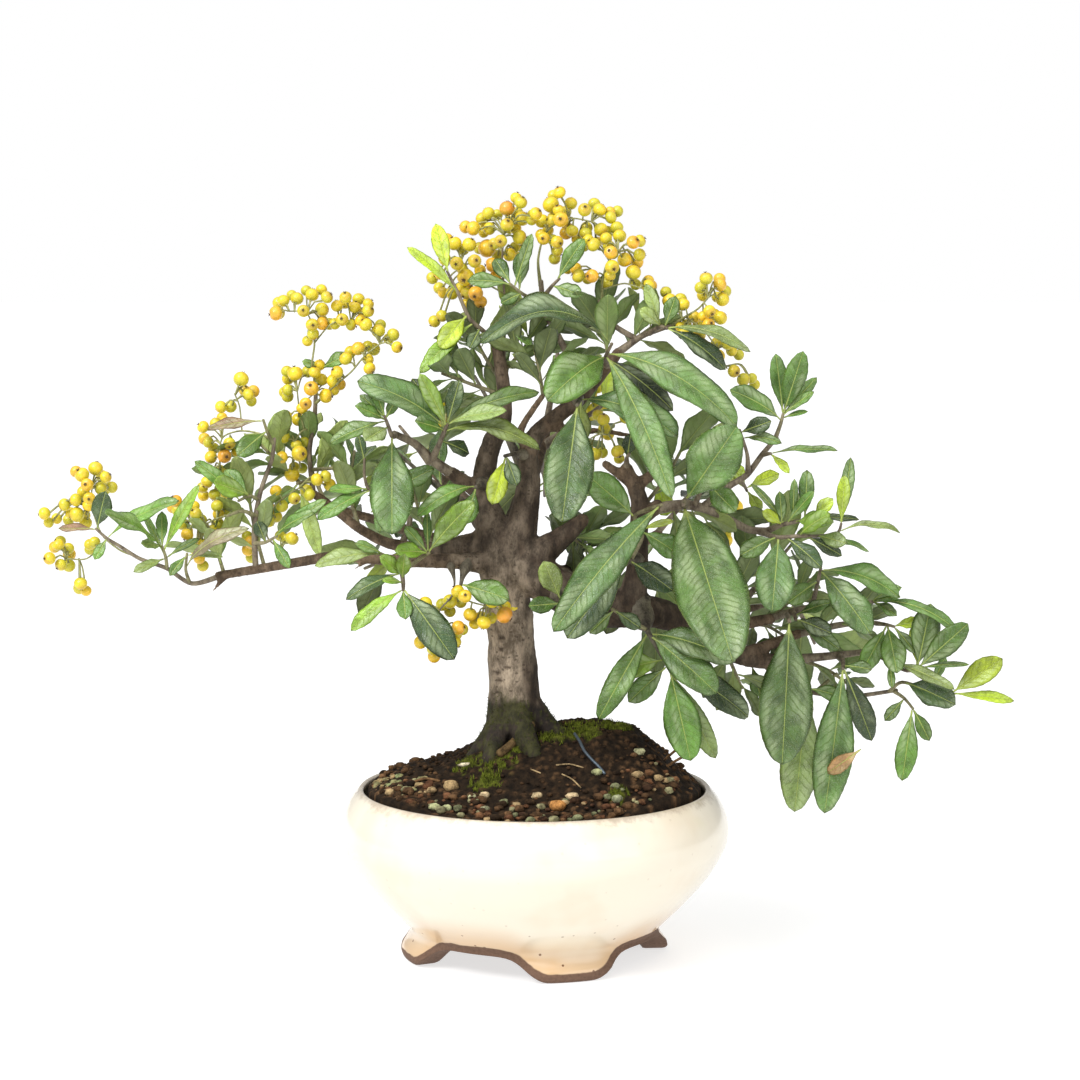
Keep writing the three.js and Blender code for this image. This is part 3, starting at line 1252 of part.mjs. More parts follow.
// Berries of a back bunch stand in a dome round the end of their stalk.
function backBerry(bunch, k) {
  const [, bend, end] = bunch.stalk.map(([across, up, toward]) => seen(across, up, toward));
  const axis = end.clone().sub(bend).normalize();
  const side = anySide(axis);
  const other = axis.clone().cross(side);
  const turn = GOLDEN_ANGLE * k + bunch.seed;
  const out = DOME.radius * Math.sqrt((k + 0.6) / bunch.count);
  const centre = end
    .clone()
    .addScaledVector(axis, DOME.height - DOME.slope * out + DOME.lift * draw(bunch.seed + 3 * k))
    .addScaledVector(side, out * Math.cos(turn))
    .addScaledVector(other, out * Math.sin(turn));
  const foot = bend.clone().lerp(end, LAST_SEAT - DOME.seat * k);
  return { foot, centre, radius: DOME.berry + DOME.growth * draw(bunch.seed * 3 + k) };
}

for (const list of pieces.values()) list.forEach(cover);
cover(woodWhole);

for (const [name, spray] of Object.entries(BACK_SPRAYS)) startNode(name, [spray.stem], 3);
for (const [name, bunch] of Object.entries(BACK_BUNCHES)) {
  startNode(name, [bunch.stalk], 3);
  for (let k = 0; k < bunch.count; k++) {
    const { foot, centre, radius } = backBerry(bunch, k);
    if (covered.has(cell(...looksAt(centre)))) addBerry(name, foot, centre, radius);
  }
}
for (const [name, spray] of Object.entries(BACK_SPRAYS)) {
  for (let k = 0; k < spray.count; k++) {
    const offers = BACK_TRIES.map((attempt) => backLeaf(spray, k, attempt));
    layBest(name, offers.filter((leaf) => hiddenShare(leaf) >= HIDDEN_SHARE));
  }
}

// Bowl: turned body with four flared feet.
function bowl() {
  const bed = BOWL_INSIDE.at(-1)[1];
  const profile = [[0, BOWL_UNDERSIDE], ...BOWL_OUTSIDE, ...BOWL_INSIDE, [0, bed]];
  const lathe = new THREE.LatheGeometry(
    profile.map(([r, z]) => new THREE.Vector2(r, z)),
    BOWL_SEGMENTS,
  ).rotateX(Math.PI / 2);
  const feet = FOOT_ANGLES.map((degrees) => {
    const rings = FOOT_LEVELS.map(({ z, inner, outer, half }) => {
      const place = (radius, share) => {
        const angle = THREE.MathUtils.degToRad(degrees + half * share);
        return new THREE.Vector3(radius * Math.sin(angle), -radius * Math.cos(angle), z);
      };
      const outside = FOOT_FRONT.map((share) => place(outer, share));
      const inside = FOOT_BACK.map((share) => place(inner, share));
      return [...outside, ...inside];
    });
    return skin(rings);
  });
  return Manifold.union([solidOfGeometry(lathe), ...feet]);
}

function along(rows, x) {
  const i = Math.min(Math.max(rows.findIndex(([at]) => at > x), 1), rows.length - 1);
  const [a, b] = [rows[i - 1], rows[i]];
  const share = Math.min(Math.max((x - a[0]) / (b[0] - a[0]), 0), 1);
  return a[1] + (b[1] - a[1]) * share;
}

function soilHeight(x, y) {
  const fall = Math.cos((Math.PI / 2) * Math.min(Math.abs(y) / SOIL_DEPTH, 1)) ** SOIL_FALL;
  const lump = SOIL_LUMP * (draw(Math.round(x * 3) + 57 * Math.round(y * 3)) - 0.5);
  return SOIL_EDGE + (along(SOIL_CREST, x) - SOIL_EDGE) * fall + lump;
}

// Soil: heaped over the rim and filled down into the bowl.
function soil() {
  const inside = BOWL_INSIDE.map(([r, z]) => [z, r]).reverse();
  const shy = Math.cos(Math.PI / BOWL_SEGMENTS);
  const wall = (z) => along(inside, z) * shy - SOIL_CLEARANCE;
  const ringAt = (radius, height) => {
    const ring = [];
    for (let k = 0; k < SOIL_STEPS; k++) {
      const angle = (2 * Math.PI * k) / SOIL_STEPS;
      const [x, y] = [radius * Math.cos(angle), radius * Math.sin(angle)];
      ring.push(new THREE.Vector3(x, y, height ?? soilHeight(x, y)));
    }
    return ring;
  };
  const sides = SOIL_WALL_LEVELS.map((z) => ringAt(wall(z), z));
  const top = SOIL_RINGS.map((radius) => ringAt(Math.min(radius, wall(SOIL_TOP))));
  const summit = new THREE.Vector3(0, 0, soilHeight(0, 0));
  return skin([...sides, ...top, [summit]]);
}

pieces.set("wood", [woodWhole]);
pieces.set("soil", [soil()]);
pieces.set("bowl", [bowl()]);

// Every node stands in a plain hole in what carries it.
const carriers = new Map([["soil", woodRooms.map(({ solid }) => solid)], ["wood", []], ["bowl", []]]);
const earlier = woodRooms.map(({ solid }) => solid);
for (const [name, list] of stemRooms) {
  carriers.set(name, earlier.slice());
  earlier.push(...list);
}

const solids = new Map();
for (const [name, list] of pieces) {
  const whole = Manifold.union(list);
  const { min, max } = whole.boundingBox();
  const near = carriers.get(name).filter((room) => {
    const other = room.boundingBox();
    return [0, 1, 2].every((k) => min[k] < other.max[k] && other.min[k] < max[k]);
  });
  const cut = near.length ? whole.subtract(Manifold.union(near)) : whole;
  solids.set(name, largest(cut).simplify(FINENESS));
}

const box = new THREE.Box3();
for (const solid of solids.values()) {
  const { min, max } = solid.boundingBox();
  box.expandByPoint(new THREE.Vector3(...min)).expandByPoint(new THREE.Vector3(...max));
}
const middle = box.getCenter(new THREE.Vector3());

const plant = new THREE.Group();
for (const [name, solid] of solids) {
  const made = solid.getMesh();
  const geometry = new THREE.BufferGeometry();
  geometry.setAttribute("position", new THREE.BufferAttribute(new Float32Array(made.vertProperties), 3));
  geometry.setIndex(new THREE.BufferAttribute(new Uint32Array(made.triVerts), 1));
  geometry.computeVertexNormals();
  const [, color, roughness] = LOOKS.find(([prefix]) => name.startsWith(prefix));
  const mesh = new THREE.Mesh(geometry, new THREE.MeshStandardMaterial({ color, roughness, metalness: 0 }));
  mesh.name = name;
  mesh.position.set(-middle.x, -middle.y, 0);
  plant.add(mesh);
}

export default plant;
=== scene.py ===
"""A firethorn bonsai: its leaves, berries, bark, soil and glazed bowl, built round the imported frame."""

import math
from typing import NamedTuple

import bpy
import numpy as np
from bpy.props import FloatProperty, FloatVectorProperty, IntProperty, PointerProperty
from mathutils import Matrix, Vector, kdtree, noise


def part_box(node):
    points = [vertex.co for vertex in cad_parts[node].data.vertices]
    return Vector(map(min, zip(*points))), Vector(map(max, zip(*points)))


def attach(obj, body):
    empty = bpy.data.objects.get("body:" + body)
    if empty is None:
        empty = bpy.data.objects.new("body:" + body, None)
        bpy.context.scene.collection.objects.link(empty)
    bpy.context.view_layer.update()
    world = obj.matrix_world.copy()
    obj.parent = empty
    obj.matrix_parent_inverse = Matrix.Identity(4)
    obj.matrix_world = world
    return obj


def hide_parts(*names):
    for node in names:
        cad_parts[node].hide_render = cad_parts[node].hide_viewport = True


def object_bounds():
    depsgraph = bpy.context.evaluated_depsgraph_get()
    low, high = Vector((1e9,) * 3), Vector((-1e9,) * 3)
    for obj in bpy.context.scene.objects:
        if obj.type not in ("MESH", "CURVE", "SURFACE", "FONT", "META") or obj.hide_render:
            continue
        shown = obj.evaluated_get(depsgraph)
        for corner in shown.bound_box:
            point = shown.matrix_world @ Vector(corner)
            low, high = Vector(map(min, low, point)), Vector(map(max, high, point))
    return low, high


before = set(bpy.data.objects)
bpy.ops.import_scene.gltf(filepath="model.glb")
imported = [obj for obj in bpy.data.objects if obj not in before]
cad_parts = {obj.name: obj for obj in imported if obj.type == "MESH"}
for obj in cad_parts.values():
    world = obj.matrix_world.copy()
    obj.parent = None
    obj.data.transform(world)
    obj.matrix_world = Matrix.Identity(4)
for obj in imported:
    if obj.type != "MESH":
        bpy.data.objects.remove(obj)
CAD_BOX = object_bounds()

bl_info = {
    "name": "Firethorn bonsai",
    "version": (1, 0, 0),
    "blender": (4, 5, 0),
    "location": "3D View > Sidebar > Bonsai",
    "description": "Builds a firethorn bonsai with its berries in a glazed bowl",
    "category": "Add Mesh",
}

MM = 0.001
BODY = "root"

# The view that the tables are read in, in mm: the eye stands before the trunk and looks down a little.
VIEW_PITCH = math.radians(6.7)
VIEW_DISTANCE = 1280
VIEW_ACROSS = 2.2
VIEW_UP = 164.4
VIEW_WIDTH = 432
SENSOR = 36

# Seats on a stem, as shares of its first and last stretch, and how near a tip lies to its node's corner.
FIRST_SEAT = 0.6
LAST_SEAT = 0.88
TIP_REACH = 0.3

# The outline of a leaf, and what keeps the width of one that is seen from its edge within bounds.
LEAF_BOW = 1.28
LEAF_TAPER = 0.85
LEAF_BLUNT = 0.33
LEAST_FACING = 0.35
WIDEST_LEAF = 0.5

# How far the solids' leaves may be shifted toward the viewer, in the order of the part's own tries.
SHIFTS = (0, 5, -5, 10, -10, 15, -15, 21, -21, 28, -28, 36, -36)

# Leaves of the far side: their places on the stem, turn, lean and length as (least, spread, change a try).
GOLDEN_ANGLE = 2.39996
FAR_TRIES = 9
FAR_SEATS = (0.3, 1.6)
FAR_TURN = 0.9
FAR_LEAN = (0.75, 0.35, 0.06)
FAR_LENGTH = (0.75, 0.5, 0.05)
FAR_LEAF_WIDTH = 0.36
FAR_LEAF_ARCH = 0.06

# Berries: tries for a place, the room between two and round a stalk's foot, and the far side's dome.
BERRY_TRIES = 14
BERRY_ROOM = 0.3
BERRY_SEAT = 0.9
BERRY_TOP = 1.03
FAR_DOME = 8.5

# Stems: how much thinner a slim one is than the solid's, and the radius from which one is a branch.
SLIM_TWIG = 0.7
BRANCH = 3

# Leaf tones.
RED = "red"
TAN = "tan"
DARK = "dark"
DEEP = "deep"
FRESH = "fresh"
LIME = "lime"
PALE = "pale"
GREY = "grey"
OLIVE = "olive"
GREEN = "green"

# Bowl: its outside and inside as (radius, height), its foot as (height, radius), and where its feet are.
BOWL_WALL = [(53.6, 15.6), (61, 23), (70, 33.5), (76.4, 45), (77.2, 52), (75.6, 58), (72.8, 63), (70.1, 66)]
BOWL_LIP = [(69.4, 66.75), (68.6, 66.8), (67.9, 66.3)]
BOWL_LINING = [(67.7, 65.4), (69.4, 61), (71.6, 50), (64.5, 32), (47, 18.5)]
BOWL_FLOOR = 18.5
FOOT_CURVE = [
    (0, 52.3), (0.8, 52.9), (2.4, 53.3), (4.2, 52.9), (6.4, 51.2), (8.6, 49.9), (11, 49.6), (13, 51),
]
FOOT_BED = 43.5
BOWL_BED = 40
BOWL_UNDERSIDE = 12.2
FOOT_TOP = 13
FOOT_ANGLES = (16, 106, 196, 286)
FOOT_HALF = 9
FOOT_FLARE = 12.5
FOOT_BEND = 2.2
SKIRT = 9.5

# Soil: its crest from left to right, and its fall to the front and the back.
SOIL_CREST = [
    (-66, 66.4), (-55, 72.2), (-40, 77.2), (-30, 80.5), (-20, 85.5), (-8, 89), (8, 92), (26, 93.5),
    (40, 90.5), (50, 81.5), (58, 72.5), (66, 66.4),
]
SOIL_FALL = 1.6
SOIL_EDGE = 65.2
SOIL_DEPTH = 60
SOIL_RADIUS = 66
LITTER_REACH = 62.5
SOIL_FLOOR = 24


class Spray(NamedTuple):
    """A leafy spray: its stems, and its leaves as rows."""

    stems: list
    leaves: list


class Bunch(NamedTuple):
    """A berry bunch: its stalks, the depth and spread of its berries, and these as rows."""

    stalks: list
    depth: float
    spread: float
    berries: list


# Limbs of the tree as lists of points (across, up, toward the viewer, radius), in mm as seen in the photo.
LIMBS = [
    [(-7, 66, 0, 13.5), (-8, 84, 0, 12.4), (-8, 100, 0, 10.6), (-9.3, 124, 0, 9.2), (-11, 141, 0, 9.2),
     (-13, 154, 0, 9.6), (-16, 166, -1, 7.6), (-19, 178, -2, 5)],
    [(-12.5, 95, 3, 5), (-18, 85, 8, 4.2), (-26, 76, 12, 2.6)],
    [(-1.5, 98, 2, 5), (6, 89, 6, 4.2), (18, 81, 12, 2.4)],
    [(-8, 96, 6, 6), (-3, 84, 16, 4.4), (5, 68, 26, 2.6)],
    [(-13, 92, 6, 5), (-17, 79, 17, 3.6), (-22, 66, 27, 2)],
    [(-8, 98, -4, 7), (-14, 86, -16, 4.5), (-20, 74, -26, 2.6)],
    [(-4, 98, -4, 7), (6, 88, -15, 4.4), (14, 78, -27, 2.4)],
    [(-17, 168, -1, 6), (-20, 180, -2, 5), (-20, 191, -3, 4.6), (-17, 203, -4, 4), (-13, 211, -4, 3.5),
     (-12, 222, -5, 3), (-15, 243, -6, 2.4)],
    [(-11, 156, 0, 8), (-5, 170, 2, 6.5), (-2.5, 186, 2, 4.8), (-2.5, 199, 2, 4), (1, 207, 1, 3.5),
     (9, 214, 0, 3.2), (17, 220, 0, 3.1), (30, 235, -3, 2.5), (34, 240, -4, 2)],
    [(-19, 181, -2, 4), (-27, 187, 1, 3), (-34, 191.5, 3, 2.7)],
    [(-18, 163, -1, 6), (-28, 162, -3, 4.6), (-40, 160.5, -6, 3.4), (-58, 163, -10, 2.3),
     (-70, 169, -12, 2), (-84, 180, -14, 1.8), (-91, 184.5, -15, 1.7)],
    [(-16, 156, 2, 6), (-24, 155.5, 5, 4), (-34, 156, 8, 3.1), (-54, 156, 11, 2.4), (-78, 158, 12, 2.2),
     (-94, 155.6, 12, 2), (-114, 152.2, 13, 1.9), (-127, 150, 14, 1.8)],
    [(-2, 200, 2, 2.6), (-6, 207, 2, 1.6), (3.5, 222.5, 4, 1.2)],
    [(21, 225, -2, 2.6), (14, 237, -5, 2.1)],
    [(5, 210.5, 0.5, 2.6), (16, 208, 0, 1.6), (27, 208, -3, 1.2), (40, 205.8, -5, 0.9)],
    [(-6, 154, 3, 8.5), (6, 147, 5, 8.6), (20, 139, 6, 8.4), (36, 137, 6, 7.6), (50, 135, 6, 6),
     (62, 130, 5, 4.6), (76, 121, 2, 4), (90, 116, 0, 3.2), (106, 116.8, -2, 2.6)],
    [(38, 137, 6, 6.5), (41, 150, 6, 4.6), (41.5, 165, 5, 3.9), (42, 180, 5, 3.6), (39, 188, 5, 2.8),
     (36.5, 194, 5, 2.3)],
    [(39, 187, 5, 2.4), (28, 195, 6, 1.6)],
    [(41, 186, 5, 2.6), (51, 193.6, 3, 1.8)],
    [(42, 172, 5, 3.2), (50, 178.5, 5, 2.7)],
    [(60, 131.5, 5, 4), (72, 129.5, 1, 3), (84, 131, -1, 2.5), (95, 133, -2, 2.2)],
    [(84, 119, 1, 3), (94, 122.5, -3, 2.3), (106, 127, -6, 2)],
    [(-5, 155, 3, 7), (5, 161, 2, 5.6), (13, 167, 1, 4), (20, 173, 0, 2.6)],
    [(-15, 160, -2, 6), (-20, 170, -20, 4), (-30, 182, -44, 3), (-40, 191, -62, 2)],
    [(-10, 164, -2, 6), (-4, 182, -22, 3.8), (2, 200, -44, 2.8), (6, 214, -60, 2)],
    [(8, 148, -2, 6), (20, 152, -24, 3.8), (36, 160, -46, 2.8), (50, 167, -62, 2)],
    [(-18, 160, -4, 4), (-38, 164, -26, 2.8), (-62, 172, -42, 2.1), (-76, 176, -49, 1.7)],
    [(62, 129, 2, 3.6), (76, 134, -18, 2.6), (94, 140, -36, 2), (104, 142, -44, 1.7)],
]

# Leafy sprays: stems, which are limbs, and leaves as (root across, root up, tip across, tip up,
# tip toward the viewer, seen width, tilt in degrees, arch, tone).
SPRAYS = {
    "far_left": Spray([
        [(-124.5, 150.4, 14, 1.7), (-137, 147, 15, 1.3), (-147, 153, 15, 1.2), (-158, 157, 14, 1.1),
         (-166, 162, 13, 1), (-171, 165, 14.5, 0.9), (-175.5, 169, 15, 0.75)],
        [(-147, 153, 15, 1.1), (-147.5, 157.5, 18, 0.95), (-149, 162, 19, 0.75)],
        [(-138, 147.3, 15, 1.2), (-139.5, 152.5, 19, 0.9), (-139, 159, 21, 0.75)],
    ], [
        (-175, 168.5, -190.5, 169, 18, 3.5, 35, 0.5, RED), (-175, 169, -171.5, 184, 22, 7, 80, 1, DARK),
        (-171, 165, -176, 156.5, 20, 4, 75, 0.5, GREEN), (-171, 165, -142, 180, 24, 5, 35, 3, GREEN),
        (-149, 162, -172, 175, 30, 4.5, 40, 2, GREEN), (-147.5, 158, -156.5, 175.5, 12, 3, 60, 1, GREEN),
        (-148, 160, -134, 186.5, 30, 4.5, 60, 2, FRESH), (-149, 162, -149, 176, 19, 5, 80, 1, GREEN),
        (-149, 161.5, -157.5, 163, 26, 3, 50, 0.5, PALE), (-147.5, 157, -160.5, 151.5, 24, 4, 60, 1, PALE),
        (-147.5, 157, -134, 165, 12, 3, 50, 1, GREEN), (-139, 153, -114, 169, 30, 4.8, 45, 5, TAN),
        (-139, 159, -124.5, 157.5, 25, 2.5, 40, 1, PALE), (-139, 158, -146, 150, 26, 4, 60, 1, GREEN),
    ]),
    "left_twig": Spray([
        [(-111.5, 152.6, 13, 1.7), (-112, 170, 11, 1.5), (-109.5, 184, 7, 1.3), (-105, 197, 4, 1.2),
         (-104, 205, 3, 1)],
        [(-110.5, 180.5, 8, 1.2), (-114, 182, 12, 0.95), (-118.5, 180, 14, 0.75)],
        [(-112, 163, 12, 1.4), (-107.5, 163.5, 17, 0.95), (-103, 166, 18, 0.75)],
        [(-104.4, 202.5, 3, 1.1), (-107, 208, 7, 0.9), (-108.5, 212.5, 9, 0.75)],
        [(-111, 174, 10, 1.2), (-117, 176, 14, 1), (-123, 174, 16, 0.8)],
    ], [
        (-118, 180, -136, 196, 18, 6, 55, 2, GREEN), (-114, 182, -128.5, 187.5, 24, 9, 60, 1, FRESH),
        (-114, 182, -124, 192.5, 8, 7, 70, 1, GREEN), (-104, 165.5, -88, 175.5, 26, 4, 45, 2, GREEN),
        (-103, 166, -83, 180.5, 16, 5, 55, 2, GREEN), (-107.5, 163.5, -111, 172, 24, 4.5, 75, 0.5, DARK),
        (-105, 165, -98, 153, 26, 4.5, 65, 1, GREEN), (-107, 208, -119, 198, 16, 10, 75, 1, GREEN),
        (-108.5, 212.5, -131, 209, 12, 4.5, 40, 1, RED),
    ]),
    "left_upright": Spray([
        [(-88.5, 182.8, -14.7, 1.6), (-90, 200, -18, 1.4), (-88, 213, -20, 1.3), (-87, 230, -22, 1.1),
         (-85.5, 233, -18, 0.85)],
        [(-89.4, 188, -15.8, 1.4), (-95, 187, -10, 0.9)],
        [(-89.5, 192.5, -16.5, 1.2), (-76, 193.5, -15, 0.9)],
    ], [
        (-94, 186, -86, 158, -4, 6.5, 70, 2, PALE), (-94.5, 186, -104, 175, -4, 5, 60, 1, GREEN),
        (-85.6, 232.6, -74, 238.5, -14, 5, 60, 1, GREEN),
        (-85.6, 232.8, -93, 236, -16, 3.5, 60, 0.5, GREEN),
    ]),
    "left_crown": Spray([
        [(-31, 189.6, 2.2, 2.7), (-41, 196.5, 6, 2.4), (-48, 203, 8, 2.1), (-56.5, 207, 10, 1.8)],
        [(-55, 206.5, 10, 1.9), (-57, 206, 17, 1.3), (-58.5, 210, 20, 1.1), (-60, 214, 22, 0.8)],
        [(-41, 196.5, 6, 2.2), (-38, 203, 13, 1.5), (-36, 208, 16, 1.3), (-34.8, 210.8, 17, 1)],
    ], [
        (-59, 212, -72, 218, 28, 4.5, 50, 1, GREEN), (-59.5, 213, -70, 222.5, 20, 4.5, 60, 1, GREY),
        (-60, 214, -64, 225, 22, 4.5, 80, 0.5, GREEN), (-59.5, 213, -55, 221, 26, 4, 80, 0.5, GREEN),
        (-59, 212, -82, 203, 22, 6.5, 45, 2, GREEN), (-58, 209.5, -68, 204, 34, 7, 60, 1, PALE),
        (-57, 206, -57, 166.5, 34, 17, 88, 2, GREY), (-36.3, 209, -71, 228, 22, 12, 50, 6, GREY),
        (-35.8, 209.5, -49, 229, 8, 8, 75, 2, DEEP), (-35.3, 210, -46, 231, 28, 6, 70, 2, FRESH),
        (-34.8, 210.8, -30, 228.5, 24, 6.5, 85, 1, DARK), (-34.8, 210.8, -11, 216, 30, 5, 45, 2, PALE),
        (-34.8, 210.8, 2, 223.6, 16, 7, 40, 4, GREEN), (-36, 207.5, 2.2, 200.4, 26, 6.5, 35, 7, OLIVE),
        (-36, 208, -48, 212, 26, 7, 60, 1, GREEN), (-37.5, 204, -26, 199, 8, 6, 60, 1, DARK),
    ]),
    "crown_left": Spray([
        [(-14.6, 241, -6, 2.3), (-20, 247.5, -2, 1.5), (-26, 253, 1, 1.2), (-30.5, 263, 2, 1),
         (-35, 272, 3, 0.75)],
    ], [
        (-27, 254.5, -38, 241, 10, 8, 70, 1, LIME), (-22, 249, -26, 241, 8, 8, 80, 0.5, DARK),
        (-30.5, 263, -51, 281.5, 8, 4.5, 50, 2, LIME), (-35, 272, -39.5, 291, 6, 7, 80, 1, LIME),
        (-24, 251.5, -46, 231, 16, 6.5, 55, 3, FRESH),
    ]),
    "crown_middle": Spray([
        [(15, 235, -4.6, 2), (9, 247, -7, 1.8), (4, 256, -8, 1.6), (2.5, 268, -9, 1.4)],
        [(-1, 260.8, -6.6, 1.3), (-5, 263, 0, 1), (-10, 267, 2, 0.75)],
        [(3.2, 261, -8.5, 1.6), (7, 266, -3, 1), (10, 269, -1, 0.8)],
        [(4.5, 255, -8, 1.4), (-1, 260.8, -6.6, 1.3)],
    ], [
        (-5, 263, -13.5, 259, 6, 6, 70, 1, GREEN), (-10, 267, -16, 277, -2, 6, 70, 1, GREEN),
        (-6, 264, -5, 280, -4, 6.5, 75, 1, GREEN), (-8, 265.5, -1, 287, 4, 5, 75, 1, GREEN),
        (-9, 266.5, -27, 268, 4, 6, 60, 2, GREEN), (9, 268, 20, 285, 2, 7, 65, 2, GREEN),
        (7, 266, 19, 262, 4, 6, 60, 1, GREEN),
    ]),
    "crown_arching": Spray([
        [(29, 233.8, -3, 2.6), (28.5, 236.5, 6, 1.5), (28.5, 238, 12, 1.1), (31, 243, 15, 0.9)],
    ], [
        (31, 243, -22, 243, 26, 9.5, 30, 16, DARK), (28.5, 237.5, 5, 220, 36, 15, 65, 6, GREEN),
        (28.5, 238, 55, 181, 46, 12, 60, 10, GREY), (28.8, 239, 81, 210, 30, 14, 50, 11, GREY),
        (28.5, 237, 55.5, 216, 12, 9, 60, 4, DEEP),
    ]),
    "crown_right": Spray([
        [(33.5, 239.5, -3.8, 2.2), (43, 246, -6, 1.7), (49.5, 248.5, -8, 1.5), (57, 251, -10, 1.3)],
        [(46, 247.2, -7, 1.8), (50.5, 249.8, 0, 1.15), (53, 249, 4, 0.9)],
        [(41, 244.6, -5.5, 1.7), (31, 251, -7, 1.5), (26, 260, -7, 1.3)],
    ], [
        (53, 249, 86.5, 239.5, 12, 5, 40, 5, PALE), (52, 249.3, 56.5, 262, 3, 8, 80, 1, GREEN),
        (50.5, 249.8, 42, 257, 5, 8, 70, 1, PALE), (53, 249, 76.5, 232.5, 2, 7.5, 55, 4, DARK),
        (50.5, 249.8, 44.5, 267, 1, 5.5, 75, 1, PALE),
    ]),
    "centre_long": Spray([
        [(17, 220, 0, 3.2), (18.5, 221.5, 16, 1.6), (17, 218.5, 34, 1.2)],
    ], [
        (17, 218.5, 11, 171.5, 52, 19, 88, 3, GREY), (18, 220.5, 57, 206, 36, 13, 45, 7, GREY),
        (18.5, 221.5, 18, 203, 14, 9.5, 75, 1, OLIVE),
    ]),
    "centre_cut": Spray([
        [(36.8, 193, 5, 2.3), (37, 197.5, 10, 1), (38, 199, 12, 0.8)],
    ], [
        (36.8, 197, 38.5, 207, 15, 7.5, 85, 0.5, DARK),
    ]),
    "centre_lime": Spray([
        [(47, 191, 4, 2.1), (48, 189.5, -4, 1.1), (49, 189, -9, 0.85)],
    ], [
        (48.5, 189.5, 48, 212, -12, 8, 80, 1, LIME), (48.8, 189, 53, 174, -12, 7.5, 75, 1, LIME),
    ]),
    "centre": Spray([
        [(41, 157, 6, 4.2), (38.5, 156.5, 15, 1.5), (36.5, 154.5, 21, 1.1)],
        [(38.5, 156.5, 15, 1.3), (43, 166, 16, 1.2), (40, 173.5, 15, 1.1), (45, 176.5, 20, 1.2),
         (51, 178.5, 27, 1)],
    ], [
        (40, 173.5, 21, 190.5, 22, 12, 70, 2, GREEN), (50.5, 178.3, 7.5, 127.6, 46, 15, 62, 8, GREY),
        (45, 169, 59, 157.5, 22, 9, 60, 2, GREEN), (46, 169.7, 56, 172, 16, 3, 50, 1, LIME),
        (36.5, 154.5, 13, 125, 34, 14, 60, 4, DARK), (38, 156, 55.5, 144, 28, 11, 65, 2, DARK),
        (38, 156, 31, 168, 19, 6, 75, 1, GREEN),
    ]),
    "inner_left": Spray([
        [(-20, 187, -2.5, 4.8), (-22, 186.5, 7, 1.5), (-23.5, 185.5, 11, 1.1)],
    ], [
        (-23, 185.8, -47, 174, 20, 6.5, 50, 5, GREEN), (-23.3, 185.6, -28, 170.5, 15, 9, 80, 1, GREEN),
    ]),
    "inner_middle": Spray([
        [(-2.6, 198, 2, 4.2), (-7, 199, 8, 1.4), (-12, 198, 12, 1)],
    ], [
        (-11.5, 198, -7, 186, 18, 8.5, 85, 1, DARK), (-12, 198, -17, 178.5, 15, 8.5, 85, 1, LIME),
    ]),
    "low_left": Spray([
        [(-54, 156, 11, 2.5), (-53, 151, 17, 1.4), (-52.5, 147, 19, 1.2), (-52.5, 144.2, 20, 0.9)],
        [(-53, 151.5, 16.5, 1.2), (-56, 156, 18, 1.1), (-61.5, 159, 20, 0.9)],
        [(-53, 151.5, 16.5, 1.2), (-47, 156, 17, 1.1), (-42, 159.5, 19, 1)],
    ], [
        (-53, 150, -62, 158, 27, 4.5, 60, 1, FRESH), (-52.8, 149, -52, 159, 29, 4, 80, 1, FRESH),
        (-52.5, 144.3, -73.5, 128, 26, 6.5, 55, 3, FRESH),
        (-52.5, 144.3, -51.5, 132.5, 28, 7.5, 85, 0.5, GREEN),
        (-52.5, 145, -32, 116.5, 30, 13.5, 75, 3, DARK), (-53, 151, -75.5, 140.5, 22, 6, 50, 3, DARK),
        (-52.5, 147, -61, 148, 25, 2.5, 50, 1, FRESH), (-61, 158.8, -88, 154, 24, 6.5, 45, 3, PALE),
        (-60.5, 158.7, -72, 163, 24, 4, 50, 1, GREEN), (-41.7, 158, -24, 180, 26, 9.5, 65, 3, FRESH),
        (-42, 159.5, -56, 160, 26, 7.5, 60, 1, FRESH), (-41.9, 159, -43, 176, 16, 3.5, 75, 1, GREEN),
        (-42, 159.5, -52, 170, 19, 5, 70, 1, GREEN),
    ]),
    "trunk_side": Spray([
        [(-27, 155.6, 6, 3.7), (-29, 149, 15, 1.3), (-29.5, 146.3, 18, 1)],
    ], [
        (-29.5, 146.5, -10, 140.5, 27, 13.5, 70, 2, GREEN),
    ]),
    "trunk_front": Spray([
        [(9, 145.3, 5, 8.6), (10.5, 141, 17, 1.3), (10.5, 138.8, 20, 1)],
    ], [
        (10.5, 139, -2.5, 138, 26, 9, 80, 1, GREEN), (10.5, 140.5, 3.5, 156, 24, 9, 80, 1, PALE),
    ]),
    "left_behind": Spray([
        [(-53.5, 161.6, -9, 2), (-50, 171, -10, 1.6), (-50, 180, -10, 1.5)],
        [(-50, 179, -10, 1.7), (-58, 183.5, -4, 1.1), (-66, 184.5, 0, 0.95), (-68, 190, 1, 0.85),
         (-68, 197, 1, 0.75)],
    ], [
        (-66, 184.5, -82.6, 184, 4, 4, 40, 1, GREEN), (-65, 184.4, -87, 172.4, 8, 6, 50, 2, GREEN),
        (-68, 197, -70.5, 206.5, 3, 4.5, 80, 0.5, DARK), (-58, 183.5, -40, 193, -2, 7.5, 60, 1, GREEN),
        (-59, 183.7, -62, 167, 0, 6.5, 80, 1, GREY),
    ]),
    "right_branch": Spray([
        [(48, 176.9, 5, 2.8), (60, 178.5, 6, 2.5), (68, 177, 6, 2.3), (77, 173, 6, 2.1), (86, 168.5, 7, 2),
         (94, 168, 7, 1.9)],
        [(60, 178.5, 6, 2.6), (60.5, 180.5, 22, 1.6), (59.5, 178.5, 38, 1.2)],
